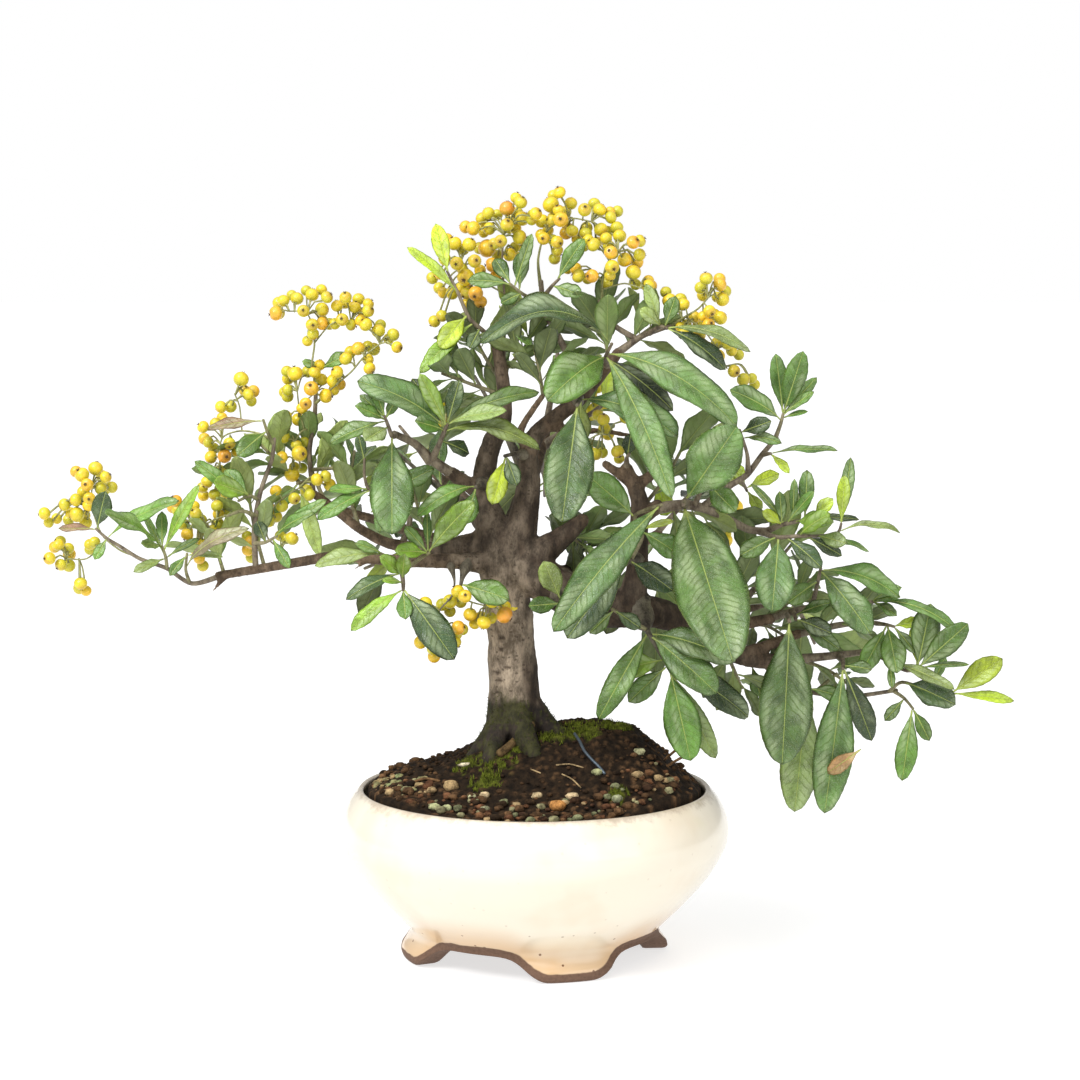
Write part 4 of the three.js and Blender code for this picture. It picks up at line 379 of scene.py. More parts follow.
        [(64, 177.8, 6, 2.1), (66.5, 184, 13, 1.1), (68.5, 188.5, 17, 0.9)],
        [(93, 168, 7, 2), (99, 170.5, 12, 1.3), (106, 172, 14, 1.1), (112, 173.5, 15, 0.8)],
        [(90, 167.9, 7, 2.1), (97, 165.5, 16, 1.3), (106, 166, 19, 1.1), (114, 166, 18, 0.95),
         (121.5, 167.5, 17, 0.85), (122.7, 171, 17, 0.75)],
    ], [
        (59.5, 178.5, 79.4, 115.6, 58, 23, 85, 4, GREY), (60.3, 180.3, 81, 210, 44, 20, 80, 3, GREY),
        (60.3, 180, 67.5, 193.5, 18, 6.5, 80, 1, DEEP), (68.5, 188.5, 80.5, 175.5, 28, 10.5, 80, 1, GREEN),
        (99, 170.5, 98, 184, 16, 4.5, 80, 1, GREEN), (103, 171.5, 104, 189, 17, 3.5, 80, 1, GREEN),
        (108, 172.5, 109, 192.5, 12, 6.5, 75, 2, GREEN), (112, 173.5, 119.5, 181, 18, 5.5, 65, 1, LIME),
        (104, 171.5, 119, 171, 24, 6.5, 55, 2, FRESH), (110, 173, 130, 172.5, 12, 3, 40, 1, DARK),
        (100, 170.8, 86.5, 187, 12, 3, 60, 2, GREEN), (101, 171, 112, 184, 22, 4, 60, 1, GREEN),
        (99, 170.4, 91, 176, 16, 6, 65, 1, LIME), (122.7, 171, 124, 190.5, 19, 5.5, 80, 1, LIME),
        (122.6, 170.5, 126.5, 197.5, 12, 5.5, 80, 2, GREEN), (121.5, 167.5, 146.5, 167, 18, 3, 25, 4, PALE),
        (113, 166, 125, 163, 26, 7.5, 70, 1, PALE), (108, 166, 123, 158, 20, 5.5, 60, 1, DARK),
        (109, 166, 134, 159.7, 14, 2.5, 30, 2, GREEN), (106, 166, 118.5, 175, 28, 6, 55, 2, FRESH),
        (97.5, 165.5, 95, 135.6, 32, 15, 88, 2, GREY), (100, 165.6, 115, 153, 26, 7, 60, 2, DARK),
        (97, 165.5, 82, 158, 20, 9, 65, 2, GREEN),
    ]),
    "right_twig": Spray([
        [(67, 177.5, 6, 2), (78, 186, 6, 1.8), (85, 190.5, 6, 1.7), (91, 198.5, 6.5, 1.5),
         (97, 205.5, 7, 1.2)],
        [(82, 188.6, 6, 1.8), (84, 186, 0, 1), (85, 184, -5, 0.8)],
        [(96, 204.2, 7, 1.4), (98.5, 211, 10, 1.05), (99.5, 215, 11, 0.85)],
        [(91, 198.5, 6.5, 1.6), (94.5, 199, 12, 0.85)],
        [(85.5, 191, 6, 1.8), (85, 199, 13, 1.05), (82, 208.5, 17, 0.85)],
    ], [
        (84.5, 185, 98, 191, -6, 5.5, 60, 1, LIME), (85, 184, 90.5, 175.5, -4, 8.5, 70, 1, LIME),
        (84.5, 185, 79.5, 195, -8, 7, 75, 1, LIME), (84.5, 185, 72, 193, -8, 4, 60, 1, LIME),
        (99.5, 215, 96.5, 239, 12, 7, 85, 1, GREEN), (99.5, 215, 107.5, 240, 15, 8.5, 85, 1, GREEN),
        (99.5, 214.5, 113, 229.5, 9, 5, 70, 1, GREEN), (99.3, 214, 112, 223.8, 15, 4, 50, 1, GREEN),
        (99, 213, 109.5, 215.8, 13, 2.2, 40, 0.5, GREEN), (98.7, 212, 78, 224.5, 16, 8, 55, 3, GREEN),
        (94.4, 199, 121.4, 200, 16, 3, 25, 1.5, GREEN), (94.4, 199, 102, 191, 16, 3.5, 50, 1, LIME),
        (82, 208.3, 94.8, 212, 22, 11, 75, 1, DARK), (83.2, 205, 99, 203, 22, 4, 45, 2, GREEN),
        (82.3, 207.5, 74, 201, 14, 4, 60, 1, GREEN),
    ]),
    "right_middle": Spray([
        [(92, 132.4, -1.7, 2.2), (105, 136.3, -3, 1.9), (121, 139.8, -3, 1.4)],
        [(111, 137.6, -3, 1.8), (113, 146, 5, 1.2), (114.5, 153, 10, 0.95)],
        [(103, 135.7, -3, 2.1), (104, 134.5, 5, 1.2), (104.5, 132.5, 9, 0.95)],
        [(99, 134.4, -2.5, 2.2), (101, 134.5, 16, 1.5), (102, 131.8, 30, 1.15)],
        [(119.5, 139.5, -3, 1.6), (129, 140.5, 0, 1.1), (136, 139.5, 1, 0.85)],
    ], [
        (114.5, 153, 134.5, 126.8, 24, 13, 68, 4, GREY), (114.5, 152.8, 146, 141.5, 12, 9, 45, 6, GREEN),
        (113.3, 148, 101, 139, 12, 12, 72, 2, GREEN), (104.5, 132.5, 119, 127, 16, 9.5, 65, 1, DARK),
        (104.5, 132.5, 122, 120.5, 10, 7, 60, 1, GREEN), (104.1, 134, 119, 139.5, 12, 4.5, 45, 1, GREEN),
        (102, 132, 99, 74.4, 44, 22, 88, 3, GREY), (136, 139.5, 171, 126, 10, 4.6, 40, 7, GREEN),
        (135, 139.7, 147, 145.5, 5, 4.2, 45, 1.5, GREEN), (135, 139.6, 146.5, 141.5, 9, 3.2, 45, 1, GREEN),
        (135.5, 139.5, 145, 134, 6, 4.2, 50, 1, GREEN),
    ]),
    "right_low": Spray([
        [(92, 115.6, -0.2, 2.2), (99, 107, -3, 1.7), (112, 103.3, -5, 1.4), (126, 101.8, -4, 1.3),
         (145, 104.3, -2, 1.1)],
        [(108, 104.4, -4.5, 1.7), (108.6, 104.8, 4, 1), (110, 105, 7, 0.85)],
        [(143.5, 104.1, -2, 1.3), (148, 101, 1, 0.95), (151.5, 96.8, 2, 0.8)],
        [(142, 103.9, -2, 1.3), (147, 107.5, 3, 1), (157, 104.5, 2, 0.9), (168, 102.8, 2, 0.8)],
        [(112, 103.4, -5, 1.2), (121, 111, -5, 0.9)],
    ], [
        (109, 104.9, 104, 55.6, 14, 16, 85, 2, PALE), (110, 105, 123, 101.5, 8, 8.5, 60, 1, GREEN),
        (151.4, 97, 147, 68, 6, 9, 80, 1, GREEN), (151.4, 97, 158, 84, 4, 6, 75, 1, GREEN),
        (148, 101, 140, 92, 2, 5, 70, 1, GREEN), (147.5, 107.3, 168.5, 98.5, 14, 13, 60, 2, DARK),
        (168, 102.8, 187.3, 117, 4, 10, 68, 2, LIME), (168, 102.8, 192, 100, 4, 4.5, 50, 1, LIME),
        (158, 104.3, 164.5, 118, -2, 4, 75, 1, GREEN),
    ]),
    "right_outer": Spray([
        [(103, 116.6, -1.7, 2.5), (122, 118.4, -3, 2), (138, 120.5, -3, 1.5)],
        [(122, 118.4, -3, 2.2), (123.4, 115.5, 8, 1.3), (123.4, 113, 14, 1)],
        [(135, 120.1, -3, 1.7), (142, 115.5, 3, 1.2), (149, 112, 5, 1), (153.5, 113, 5, 0.85)],
    ], [
        (123.4, 113, 116, 55, 30, 16, 85, 3, GREY), (123.4, 113.5, 135, 84, 8, 9, 75, 2, DARK),
        (123.4, 114, 135, 112.5, 16, 6.5, 60, 1, GREEN), (153.4, 113, 158.5, 139, 8, 11.5, 85, 1, GREEN),
        (153.2, 113, 153, 132, 0, 7, 80, 1, LIME), (153.5, 113, 173.5, 131, 10, 9.5, 75, 1, GREEN),
        (153.5, 113, 174, 114.5, 10, 2.6, 35, 1, GREEN), (142, 115.5, 168, 104.5, 20, 4.5, 40, 2, PALE),
        (142, 115.5, 143, 105, 10, 3, 70, 1, GREEN),
    ]),
    "right_branch_end": Spray([
        [(103.5, 126.2, -5.6, 2), (120, 130, -7, 1.8), (131, 131.5, -7, 1.5), (138, 131, -6, 1.2)],
        [(136.5, 131.1, -6, 1.5), (141, 130.5, 0, 1), (144, 129.7, 2, 0.8)],
    ], [
        (144, 129.7, 154.5, 131.5, 3, 4.8, 55, 1, LIME), (143.5, 129.8, 152.5, 119, 6, 4.8, 60, 1, GREEN),
        (141, 130.5, 145, 111, 4, 9, 80, 2, GREEN), (141, 130.5, 131, 112, -2, 8.5, 80, 1, GREEN),
    ]),
    "low_right": Spray([
        [(42, 136, 7, 7.4), (45, 128.5, 19, 1.8), (46.3, 126, 23, 1.4), (51.5, 117, 21, 1.1),
         (54.5, 111.5, 20, 0.9)],
        [(45.5, 128, 20, 1.2), (38, 132.5, 22, 1.1), (31, 136.8, 22, 1)],
    ], [
        (45.5, 127.5, 25.5, 92.5, 36, 10, 72, 5, GREEN), (46.3, 126, 73, 103, 38, 14, 65, 3, GREY),
        (46, 126.8, 80.5, 116, 30, 12, 50, 4, GREY), (51.8, 116.4, 32.5, 112, 30, 9, 60, 1, FRESH),
        (53, 114, 37.5, 99.5, 24, 9, 75, 1, GREEN), (54.5, 111.7, 62.5, 76, 30, 15, 80, 2, GREEN),
        (54.5, 111.7, 72.5, 77, 14, 8.5, 80, 2, PALE), (52.5, 115, 85.5, 93.5, 14, 10.5, 60, 5, DARK),
        (30.5, 137, 42.5, 129, 26, 8.5, 70, 1, DARK), (31, 136.8, 22, 127, 24, 7, 70, 1, GREEN),
    ]),
    "right_behind": Spray([
        [(84, 117.8, 1, 3.6), (86, 115.5, -9, 1.3), (87, 114, -12, 1)],
    ], [
        (87, 114.2, 90.5, 101.5, -12, 9, 80, 1, GREEN), (86.7, 114.6, 94, 125, -14, 8, 75, 1, GREEN),
    ]),
}

# Berry bunches: stalks, which are limbs, the depth and spread of the berries, and berries as (across, up,
# radius).
BUNCHES = {
    "far_left": Bunch([
        [(-161, 158.5, 13.7, 1), (-166, 160.5, 8, 0.75), (-173, 166.5, 5, 0.7), (-177, 178, 3, 0.65),
         (-177, 187, 3, 0.55)],
        [(-171, 164.8, 6, 0.6), (-179, 157, 5, 0.6), (-188, 157, 4, 0.55)],
    ], 4, 6, [
        (-181, 190.5, 2.9), (-175.5, 193, 2.9), (-171.5, 189.5, 2.4), (-179, 186.5, 2.5),
        (-173.5, 185, 2.5), (-188, 178.5, 2.5), (-183.5, 180.5, 2.5), (-178, 181, 2.4), (-183, 174.5, 3),
        (-196, 175, 2.5), (-176, 163.5, 2.3), (-190.5, 162.5, 2.4), (-194, 157, 2.5), (-186.5, 161, 2.3),
        (-189.5, 154.5, 2.4), (-181.5, 147, 2.6),
    ]),
    "left_twig": Bunch([
        [(-122, 174.4, 15.6, 0.8), (-127, 173, 10, 0.7), (-134, 170, 6, 0.65), (-138, 172, 4, 0.55)],
    ], 5, 6, [
        (-143.5, 180, 2.5), (-139.5, 176, 2.4), (-141, 171, 2.5), (-135.5, 175, 2.4), (-139, 166.5, 2.5),
        (-132.5, 162.5, 2.5), (-134, 157, 2.3), (-127, 178, 2.4), (-129, 168, 2.4),
    ]),
    "left_high": Bunch([
        [(-104.1, 204, 3, 1), (-110, 207, -2, 0.75), (-118, 208, -6, 0.7), (-125, 205, -8, 0.6),
         (-126, 193, -8, 0.55)],
        [(-117, 208, -6, 0.6), (-118, 218, -6, 0.6), (-120, 223, -6, 0.55)],
    ], -8, 6, [
        (-132.6, 209.6, 2.4), (-127.5, 211, 2.4), (-130.5, 203.5, 2.2), (-122, 203, 2.4),
        (-129.5, 197.5, 2.5), (-124, 198, 2.7), (-125.5, 191, 2.5), (-131, 187.5, 2.4), (-128, 182.5, 2.4),
        (-125.4, 217.6, 2.4), (-117.4, 228.8, 3), (-114.5, 222.5, 2.4),
    ]),
    "left_middle": Bunch([
        [(-88.6, 209, -19.5, 1.2), (-93, 208, -15, 0.75), (-96, 203, -13, 0.65), (-97, 194, -12, 0.55)],
        [(-92, 208.3, -16, 0.6), (-94, 216, -14, 0.6), (-95, 225, -14, 0.55)],
        [(-94.2, 218, -14, 0.55), (-88, 223, -14, 0.55)],
    ], -12, 5, [
        (-99.8, 213.6, 2.9), (-95.8, 231, 3), (-98.8, 224.4, 2.3), (-91.5, 219, 2.4), (-100.5, 205.6, 2.7),
        (-94, 199, 3.1), (-97, 190.5, 2.9), (-101, 197.5, 2.4), (-89.4, 225, 2.9), (-83.4, 222, 2.8),
        (-88, 231.5, 2.4),
    ]),
    "left_low": Bunch([
        [(-98, 154.9, 12.4, 1.9), (-101, 160, 5, 0.75), (-107, 166, 2, 0.65), (-104, 178, -1, 0.6),
         (-93, 186, -3, 0.55)],
    ], 0, 5, [
        (-113.5, 163.5, 2.6), (-106.5, 172, 2.5), (-101, 178, 2.5), (-97, 165, 2.7), (-103.5, 184, 2.4),
        (-87, 188.5, 2.5), (-90, 182.5, 2.4), (-96, 181, 2.4),
    ]),
    "left_crown": Bunch([
        [(-87, 227, -21.8, 1.2), (-89, 234, -16, 0.85), (-88, 244, -13, 0.75), (-91, 255, -12, 0.6),
         (-99, 256, -12, 0.55)],
        [(-88.2, 243, -13.2, 0.6), (-81, 251, -12, 0.6), (-72, 252.5, -12, 0.55)],
    ], -12, 6, [
        (-103.5, 255, 2.8), (-100.5, 260, 2.4), (-95, 261, 2.5), (-92.5, 256, 2.4), (-89, 262.5, 2.6),
        (-89, 250.5, 2.5), (-85, 256.5, 2.8), (-83, 261.5, 2.4), (-79, 258, 2.4), (-75.5, 261.5, 2.4),
        (-77, 252.5, 2.5), (-72, 257.5, 2.5), (-66.5, 256, 2.4),
    ]),
    "left_crown_low": Bunch([
        [(-87.6, 219, -20.7, 1.3), (-80, 226, -12, 0.75), (-73, 232, -8, 0.7), (-68, 238, -6, 0.65),
         (-61, 243.5, -6, 0.55)],
    ], -6, 5, [
        (-67.5, 250.5, 2.6), (-62.5, 248, 2.7), (-56.5, 246.5, 2.5), (-55, 241.5, 2.3), (-70.5, 241, 2.7),
        (-75.5, 237, 2.6), (-79, 231.5, 2.5), (-66, 233, 2.4),
    ]),
    "crown_left": Bunch([
        [(-13, 231, -5.6, 2.6), (-12, 243, -14, 1), (-12, 262, -16, 0.9), (-13, 276, -15, 0.75),
         (-12, 288, -14, 0.6)],
        [(-12.2, 263, -16, 0.7), (-24, 270, -15, 0.65), (-30, 277, -14, 0.55)],
    ], -12, 9, [
        (-5.5, 299.5, 2.5), (-11, 297, 3), (-18.5, 295, 2.5), (0.5, 295, 2.5), (-5, 293, 2.9),
        (-24.5, 289, 2.8), (-18, 289, 2.5), (-11, 290.5, 2.6), (-6, 285.5, 2.9), (-13.5, 284, 2.5),
        (-32, 283, 2.8), (-26, 282.5, 2.8), (-19, 281, 3.5), (-10, 278.5, 2.6), (-36, 277, 2.5),
        (-31, 275, 2.6), (-24, 276, 2.6), (-17, 274.5, 2.8), (-38, 271, 2.4), (-27.5, 269.5, 3.4),
        (-33, 263, 2.5), (-23.5, 263, 2.9), (-37, 254, 2.4),
    ]),
    "crown_middle": Bunch([
        [(2.4, 266, -9, 1.6), (1.5, 277, -10, 0.9), (5, 288, -10, 0.75), (14, 293, -10, 0.6),
         (24, 291.5, -10, 0.55)],
    ], -9, 7, [
        (10, 303.5, 2.4), (14.5, 299, 2.5), (6.5, 298.5, 3.2), (20, 296.5, 2.6), (26, 296.5, 2.6),
        (30.5, 293.5, 2.4), (3, 292, 2.7), (10.5, 292.5, 2.9), (3.5, 285, 2.5), (15, 288, 2.5),
        (20.5, 287, 2.5), (26.5, 288.5, 2.7), (9, 283.5, 2.5),
    ]),
    "crown_right": Bunch([
        [(27.5, 257, -6.7, 1.5), (27, 266, -2, 0.85), (29, 275, 0, 0.75), (34, 280, 0, 0.6)],
        [(27, 264.5, -2.5, 0.65), (36, 267, 0, 0.6), (43, 265, 1, 0.55)],
    ], 0, 6, [
        (23.5, 282.5, 2.7), (28.5, 285, 2.4), (34, 286, 2.6), (39.5, 283.5, 2.6), (42, 278.5, 2.5),
        (30.5, 279.5, 2.6), (36, 276.5, 2.8), (31, 273.5, 2.8), (39.5, 271.5, 3), (17.5, 270, 2.7),
        (23, 270, 2.6), (45.4, 266, 2.6),
    ]),
    "right_high": Bunch([
        [(55, 250.4, -9.5, 1.5), (59, 253, -4, 0.85), (65.5, 257, -2, 0.75), (70, 262, -1, 0.6)],
        [(60, 253.8, -3.7, 0.6), (67, 249, -3, 0.6), (73, 241, -3, 0.6), (77, 233, -3, 0.55)],
    ], -3, 6, [
        (68.6, 269, 2.6), (74.2, 266.5, 2.6), (75.2, 260.6, 2.7), (70, 256, 2.4), (74.4, 253.2, 2.7),
        (69.6, 250.5, 2.5), (64, 253.5, 2.4), (66, 246.5, 2.5), (77, 243, 2.5), (73.5, 238, 2.6),
        (54, 260.2, 2.9), (59.5, 258.6, 2.5), (79.8, 232, 2.5), (83.6, 228.6, 2.6), (59.5, 247, 2.4),
    ]),
    "centre": Bunch([
        [(25.5, 208.1, -2.6, 1.4), (27, 207, 2, 0.65), (30, 206.5, 3, 0.6)],
    ], 3, 3, [
        (27.6, 212.6, 2.5), (36.4, 213.4, 2.5), (24.4, 198.8, 2.6), (33.2, 199.8, 2.6), (19, 199, 2.4),
    ]),
    "low": Bunch([
        [(-34, 155.8, 8, 3.3), (-32, 148, 17, 0.85), (-33, 142, 20, 0.75), (-38, 136, 21, 0.6),
         (-37, 128, 21, 0.55)],
        [(-32.8, 143, 19.6, 0.6), (-25, 139.5, 20, 0.6), (-15, 137, 21, 0.55)],
    ], 21, 5, [
        (-43.8, 138.8, 3), (-45, 132.4, 3.2), (-33.8, 139.8, 2.8), (-27.8, 142, 2.6), (-40.2, 127, 2.8),
        (-36.8, 121.6, 2.8), (-25.8, 134.6, 2.7), (-30.5, 129.4, 2.8), (-31.8, 123.4, 2.6),
        (-20.2, 131.4, 2.8), (-17, 140, 2.8), (-12, 134.4, 3.3),
    ]),
}

# Sprays on the far side: stem, number of leaves, their size and the seed of their places.
FAR_SPRAYS = {
    "left_low": ([(-40, 165, -27, 2.6), (-56, 158, -38, 1.3), (-68, 153, -46, 0.9)], 7, 29, 1),
    "left_tip": ([(-70, 174.3, -46, 1.9), (-84, 180, -57, 1.2), (-94, 184, -66, 0.9)], 7, 28, 2),
    "left_high": ([(-38, 189, -58, 2), (-46, 200, -72, 1.4), (-54, 210, -88, 0.9)], 8, 34, 3),
    "left_middle": ([(-24, 175, -32, 3.4), (-44, 190, -36, 1.4), (-58, 202, -38, 0.9)], 7, 31, 4),
    "top": ([(5, 212, -58, 2), (8, 230, -68, 1.4), (10, 246, -76, 0.9)], 8, 32, 5),
    "top_left": ([(-2, 188, -30, 3.4), (-14, 212, -38, 1.5), (-24, 230, -46, 0.9)], 8, 30, 6),
    "middle": ([(1, 198, -42, 2.8), (4, 190, -62, 1.4), (4, 182, -84, 0.9)], 7, 32, 7),
    "right_top": ([(2, 201, -46, 2.7), (24, 216, -50, 1.4), (42, 230, -54, 0.9)], 8, 31, 8),
    "right_high": ([(48, 166, -60, 2), (60, 180, -72, 1.3), (68, 192, -84, 0.9)], 8, 33, 9),
    "right_middle": ([(34, 159, -43, 2.8), (46, 150, -60, 1.4), (52, 142, -76, 0.9)], 7, 31, 10),
    "right_low": ([(102, 141.5, -42, 1.8), (108, 132, -54, 1.2), (112, 123, -64, 0.9)], 7, 29, 11),
    "right_tip": ([(80, 135.5, -22, 2.5), (94, 152, -32, 1.3), (104, 164, -40, 0.9)], 7, 28, 12),
}

# Bunches on the far side: stalk, number of berries and the seed of their places.
FAR_BUNCHES = {
    "left": ([(-45, 198, -70, 1.4), (-38, 206, -82, 1), (-34, 213, -90, 0.8)], 7, 21),
    "middle": ([(7, 224, -65, 1.4), (16, 222, -80, 1), (22, 220, -92, 0.8)], 7, 22),
    "right": ([(57, 176, -69, 1.3), (70, 174, -80, 1), (78, 171, -88, 0.8)], 7, 23),
}
# Small leaves between the sprays: stem, number of leaves, their reach and their tones.
SMALL_LEAVES = [
    ([(-12, 226, -5, 1.3), (-20, 238, -12, 1), (-26, 250, -16, 0.8)], 9, 25, (GREEN, DEEP, OLIVE)),
    ([(-12, 222, -5, 1.3), (-26, 227, 2, 1), (-37, 231, 6, 0.8)], 8, 23, (GREEN, GREY, DARK)),
    ([(-13, 231, -6, 1.3), (-5, 240, -14, 1), (0, 248, -18, 0.8)], 9, 24, (GREEN, LIME, DEEP)),
    ([(3.5, 222, 4, 1.2), (2, 231, -2, 1), (0, 241, -4, 0.8)], 8, 22, (DARK, GREEN, PALE)),
    ([(30, 235, -3, 1.3), (28, 245, -10, 1), (24, 254, -14, 0.8)], 9, 22, (GREEN, OLIVE, GREY)),
    ([(34, 240, -4, 1.3), (42, 246, -10, 1), (50, 252, -14, 0.8)], 8, 20, (PALE, GREEN, OLIVE)),
    ([(-84, 180, -14, 1.3), (-89, 192, -20, 1), (-92, 203, -24, 0.8)], 9, 24, (PALE, GREEN, OLIVE)),
    ([(-70, 169, -12, 1.3), (-74, 184, -18, 1), (-72, 200, -20, 0.8)], 9, 25, (GREEN, PALE, GREY)),
    ([(-108, 153.5, 12.6, 1.2), (-112, 169, 2, 1), (-115, 186, -6, 0.8)], 9, 22, (OLIVE, PALE, GREEN)),
    ([(-91, 184.5, -15, 1.2), (-102, 195, -16, 1), (-110, 203, -16, 0.8)], 9, 22, (GREEN, PALE, OLIVE)),
    ([(-124, 150.4, 14, 1.2), (-127, 160, 8, 1), (-131, 171, 4, 0.8)], 8, 18, (OLIVE, GREEN, PALE)),
    ([(-40, 160.5, -6, 1.3), (-45, 172, -12, 1), (-49, 186, -14, 0.8)], 8, 23, (GREEN, DARK, GREY)),
    ([(42, 176, 5, 1.3), (53, 190, -4, 1), (60, 203, -8, 0.8)], 9, 26, (GREY, GREEN, DARK)),
    ([(14, 150, -13, 1.5), (18, 160, -16, 1), (20, 169, -18, 0.8)], 9, 23, (DEEP, GREEN, DARK)),
    ([(12, 166, 1, 1.3), (17, 164, -5, 1), (23, 159, -9, 0.8)], 8, 19, (GREEN, DEEP, FRESH)),
    ([(72, 129.5, 1, 1.3), (80, 142, -6, 1), (88, 156, -10, 0.8)], 9, 24, (DARK, GREEN, GREY)),
    ([(50, 178.5, 5, 1.3), (63, 177, -3, 1), (75, 170, -7, 0.8)], 8, 22, (GREEN, DARK, OLIVE)),
    ([(84, 131, -1, 1.3), (93, 130, -8, 1), (100, 126, -12, 0.8)], 7, 19, (DARK, GREEN, GREY)),
    ([(76, 121, 2, 1.3), (80, 112, -2, 1), (83, 105, -4, 0.8)], 8, 18, (GREEN, DARK, PALE)),
    ([(95, 133, -2, 1.2), (105, 143, -8, 1), (112, 150, -10, 0.8)], 8, 20, (GREEN, PALE, DARK)),
    ([(106, 127, -6, 1.2), (122, 131, -8, 1), (136, 131, -8, 0.8)], 9, 20, (GREEN, GREY, DARK)),
    ([(106, 116.8, -2, 1.2), (118, 112, -6, 1), (125, 107, -8, 0.8)], 6, 15, (GREEN, DARK)),
]



def linear(value):
    """The colour of a #rrggbb value, as Blender's nodes take it."""
    parts = [int(value[i:i + 2], 16) / 255 for i in (1, 3, 5)]
    return tuple(p / 12.92 if p <= 0.04045 else ((p + 0.055) / 1.055) ** 2.4 for p in parts)


def colour(name, description, value):
    """A colour property of a finish."""
    return FloatVectorProperty(
        name=name, description=description, subtype="COLOR", size=3, min=0, max=1, default=linear(value)
    )


def length(name, description, millimetres):
    """A length property, in metres."""
    return FloatProperty(name=name, description=description, unit="LENGTH", min=0, default=millimetres * MM)


def share(name, description, value):
    """A property from 0 to 1."""
    return FloatProperty(name=name, description=description, subtype="FACTOR", min=0, max=1, default=value)


def count(name, description, value, least=0):
    """A property that counts points or things."""
    return IntProperty(name=name, description=description, min=least, max=9000, default=value)


class FirethornLeaves(bpy.types.PropertyGroup):
    """Sizes and colours of the leaves."""

    thickness: length("Thickness", "Thickness of a blade at its midrib", 0.42)
    step: length("Step", "Distance between two teeth of a blade's edge", 1.5)
    tooth: length("Tooth", "How far a tooth stands out", 0.14)
    vein_step: length("Vein step", "Distance between two side veins", 3.2)
    fold: share("Fold", "How far a blade is folded up along its midrib", 0.3)
    bulge: share("Bulge", "How far each half of a blade swells up", 0.11)
    red: colour("Red", "Young reddish leaves", "#8d6a58")
    tan: colour("Tan", "Withering leaves", "#8c7e6a")
    dry: colour("Dry", "The dry leaf", "#b98f5e")
    dark: colour("Dark", "Old leaves in the shade", "#304628")
    deep: colour("Deep", "The darkest leaves", "#202f19")
    fresh: colour("Fresh", "Full-grown leaves in the light", "#6d8d30")
    lime: colour("Lime", "Young leaves", "#adc332")
    pale: colour("Pale", "Dusty leaves", "#7f9354")
    grey: colour("Grey", "Large old leaves", "#4d6c38")
    olive: colour("Olive", "Leaves that show their underside", "#7f8e48")
    green: colour("Green", "Leaves of the usual tone", "#51732f")
    underside: colour("Underside", "The lower face of a leaf", "#94a266")
    rib: colour("Rib", "Midrib and veins", "#b4c268")


class FirethornBerries(bpy.types.PropertyGroup):
    """Sizes and colours of the berries."""

    steps: count("Steps", "Points round a berry", 18, 8)
    stalk: length("Stalk", "Radius of a berry's stalk", 0.38)
    yellow: colour("Yellow", "Berries that are nearly ripe", "#f4d228")
    green: colour("Green", "Berries that are not ripe yet", "#ccc631")
    orange: colour("Orange", "The ripest berries", "#ec9238")
    stalk_colour: colour("Stalk", "Stalks of the berries", "#a0a45a")
    star: colour("Star", "The dry star at a berry's end", "#3a2c1c")


class FirethornWood(bpy.types.PropertyGroup):
    """Sizes and colours of the trunk, the branches and the twigs."""

    grain: length("Grain", "Size of the cells that the limbs are joined in", 0.8)
    ridge: length("Ridge", "Height of the bark's ridges on the trunk", 0.55)
    pale: colour("Pale", "Bark on the lit side", "#978a79")
    brown: colour("Brown", "Bark on the other side", "#3e3329")
    twig: colour("Twig", "Bark of the young twigs", "#6b5a49")
    shoot: colour("Shoot", "Green shoots", "#959a56")
    moss: colour("Moss", "Moss on the trunk's foot", "#3d4117")
    damp: colour("Damp", "Damp bark at the trunk's foot", "#1c1510")
    scar: colour("Scar", "Dark pores", "#3a2e24")
    fuzz: count("Fuzz", "Blades of moss on the trunk's foot", 1100)


class FirethornSoil(bpy.types.PropertyGroup):
    """Sizes and colours of the soil and what lies on it."""

    rings: count("Rings", "Rings of points in the soil's face", 110, 20)
    crumb: length("Crumb", "Height of the soil's crumbs", 1.3)
    crumbs: count("Crumbs", "Loose crumbs", 900)
    tufts: count("Tufts", "Blades of moss", 2600)
    earth: colour("Earth", "Damp soil", "#221910")
    dry: colour("Dry", "Dry crumbs", "#73573d")
    moss: colour("Moss", "Moss on the soil", "#5a641e")
    wire: colour("Wire", "The thin wire", "#3c4650")


class FirethornBowl(bpy.types.PropertyGroup):
    """Sizes and colours of the bowl."""

    wall_step: length("Wall step", "Distance between two rings of the wall", 2.0)
    bare: length("Bare", "Height of the unglazed band over the bowl's lower edge", 3.7)
    glaze: colour("Glaze", "The cream glaze", "#e6ddca")
    warm: colour("Warm", "The glaze where it runs thin, low on the bowl", "#d0aa7b")
    clay: colour("Clay", "The unglazed clay", "#6f5443")
    rust: colour("Rust", "Iron specks in the glaze", "#6b4426")


GROUPS = {
    "firethorn_leaves": FirethornLeaves,
    "firethorn_berries": FirethornBerries,
    "firethorn_wood": FirethornWood,
    "firethorn_soil": FirethornSoil,
    "firethorn_bowl": FirethornBowl,
}

UP = Vector((0, math.sin(VIEW_PITCH), math.cos(VIEW_PITCH)))
AHEAD = Vector((0, math.cos(VIEW_PITCH), -math.sin(VIEW_PITCH)))
EYE = Vector((VIEW_ACROSS, 0, 0)) + UP * VIEW_UP - AHEAD * VIEW_DISTANCE


def bowl_axis():
    """Where the bowl's axis stands on the floor, in mm."""
    low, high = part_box("bowl")
    middle = (low + high) / (2 * MM)
    return Vector((middle.x, middle.y, 0))


AXIS = bowl_axis()


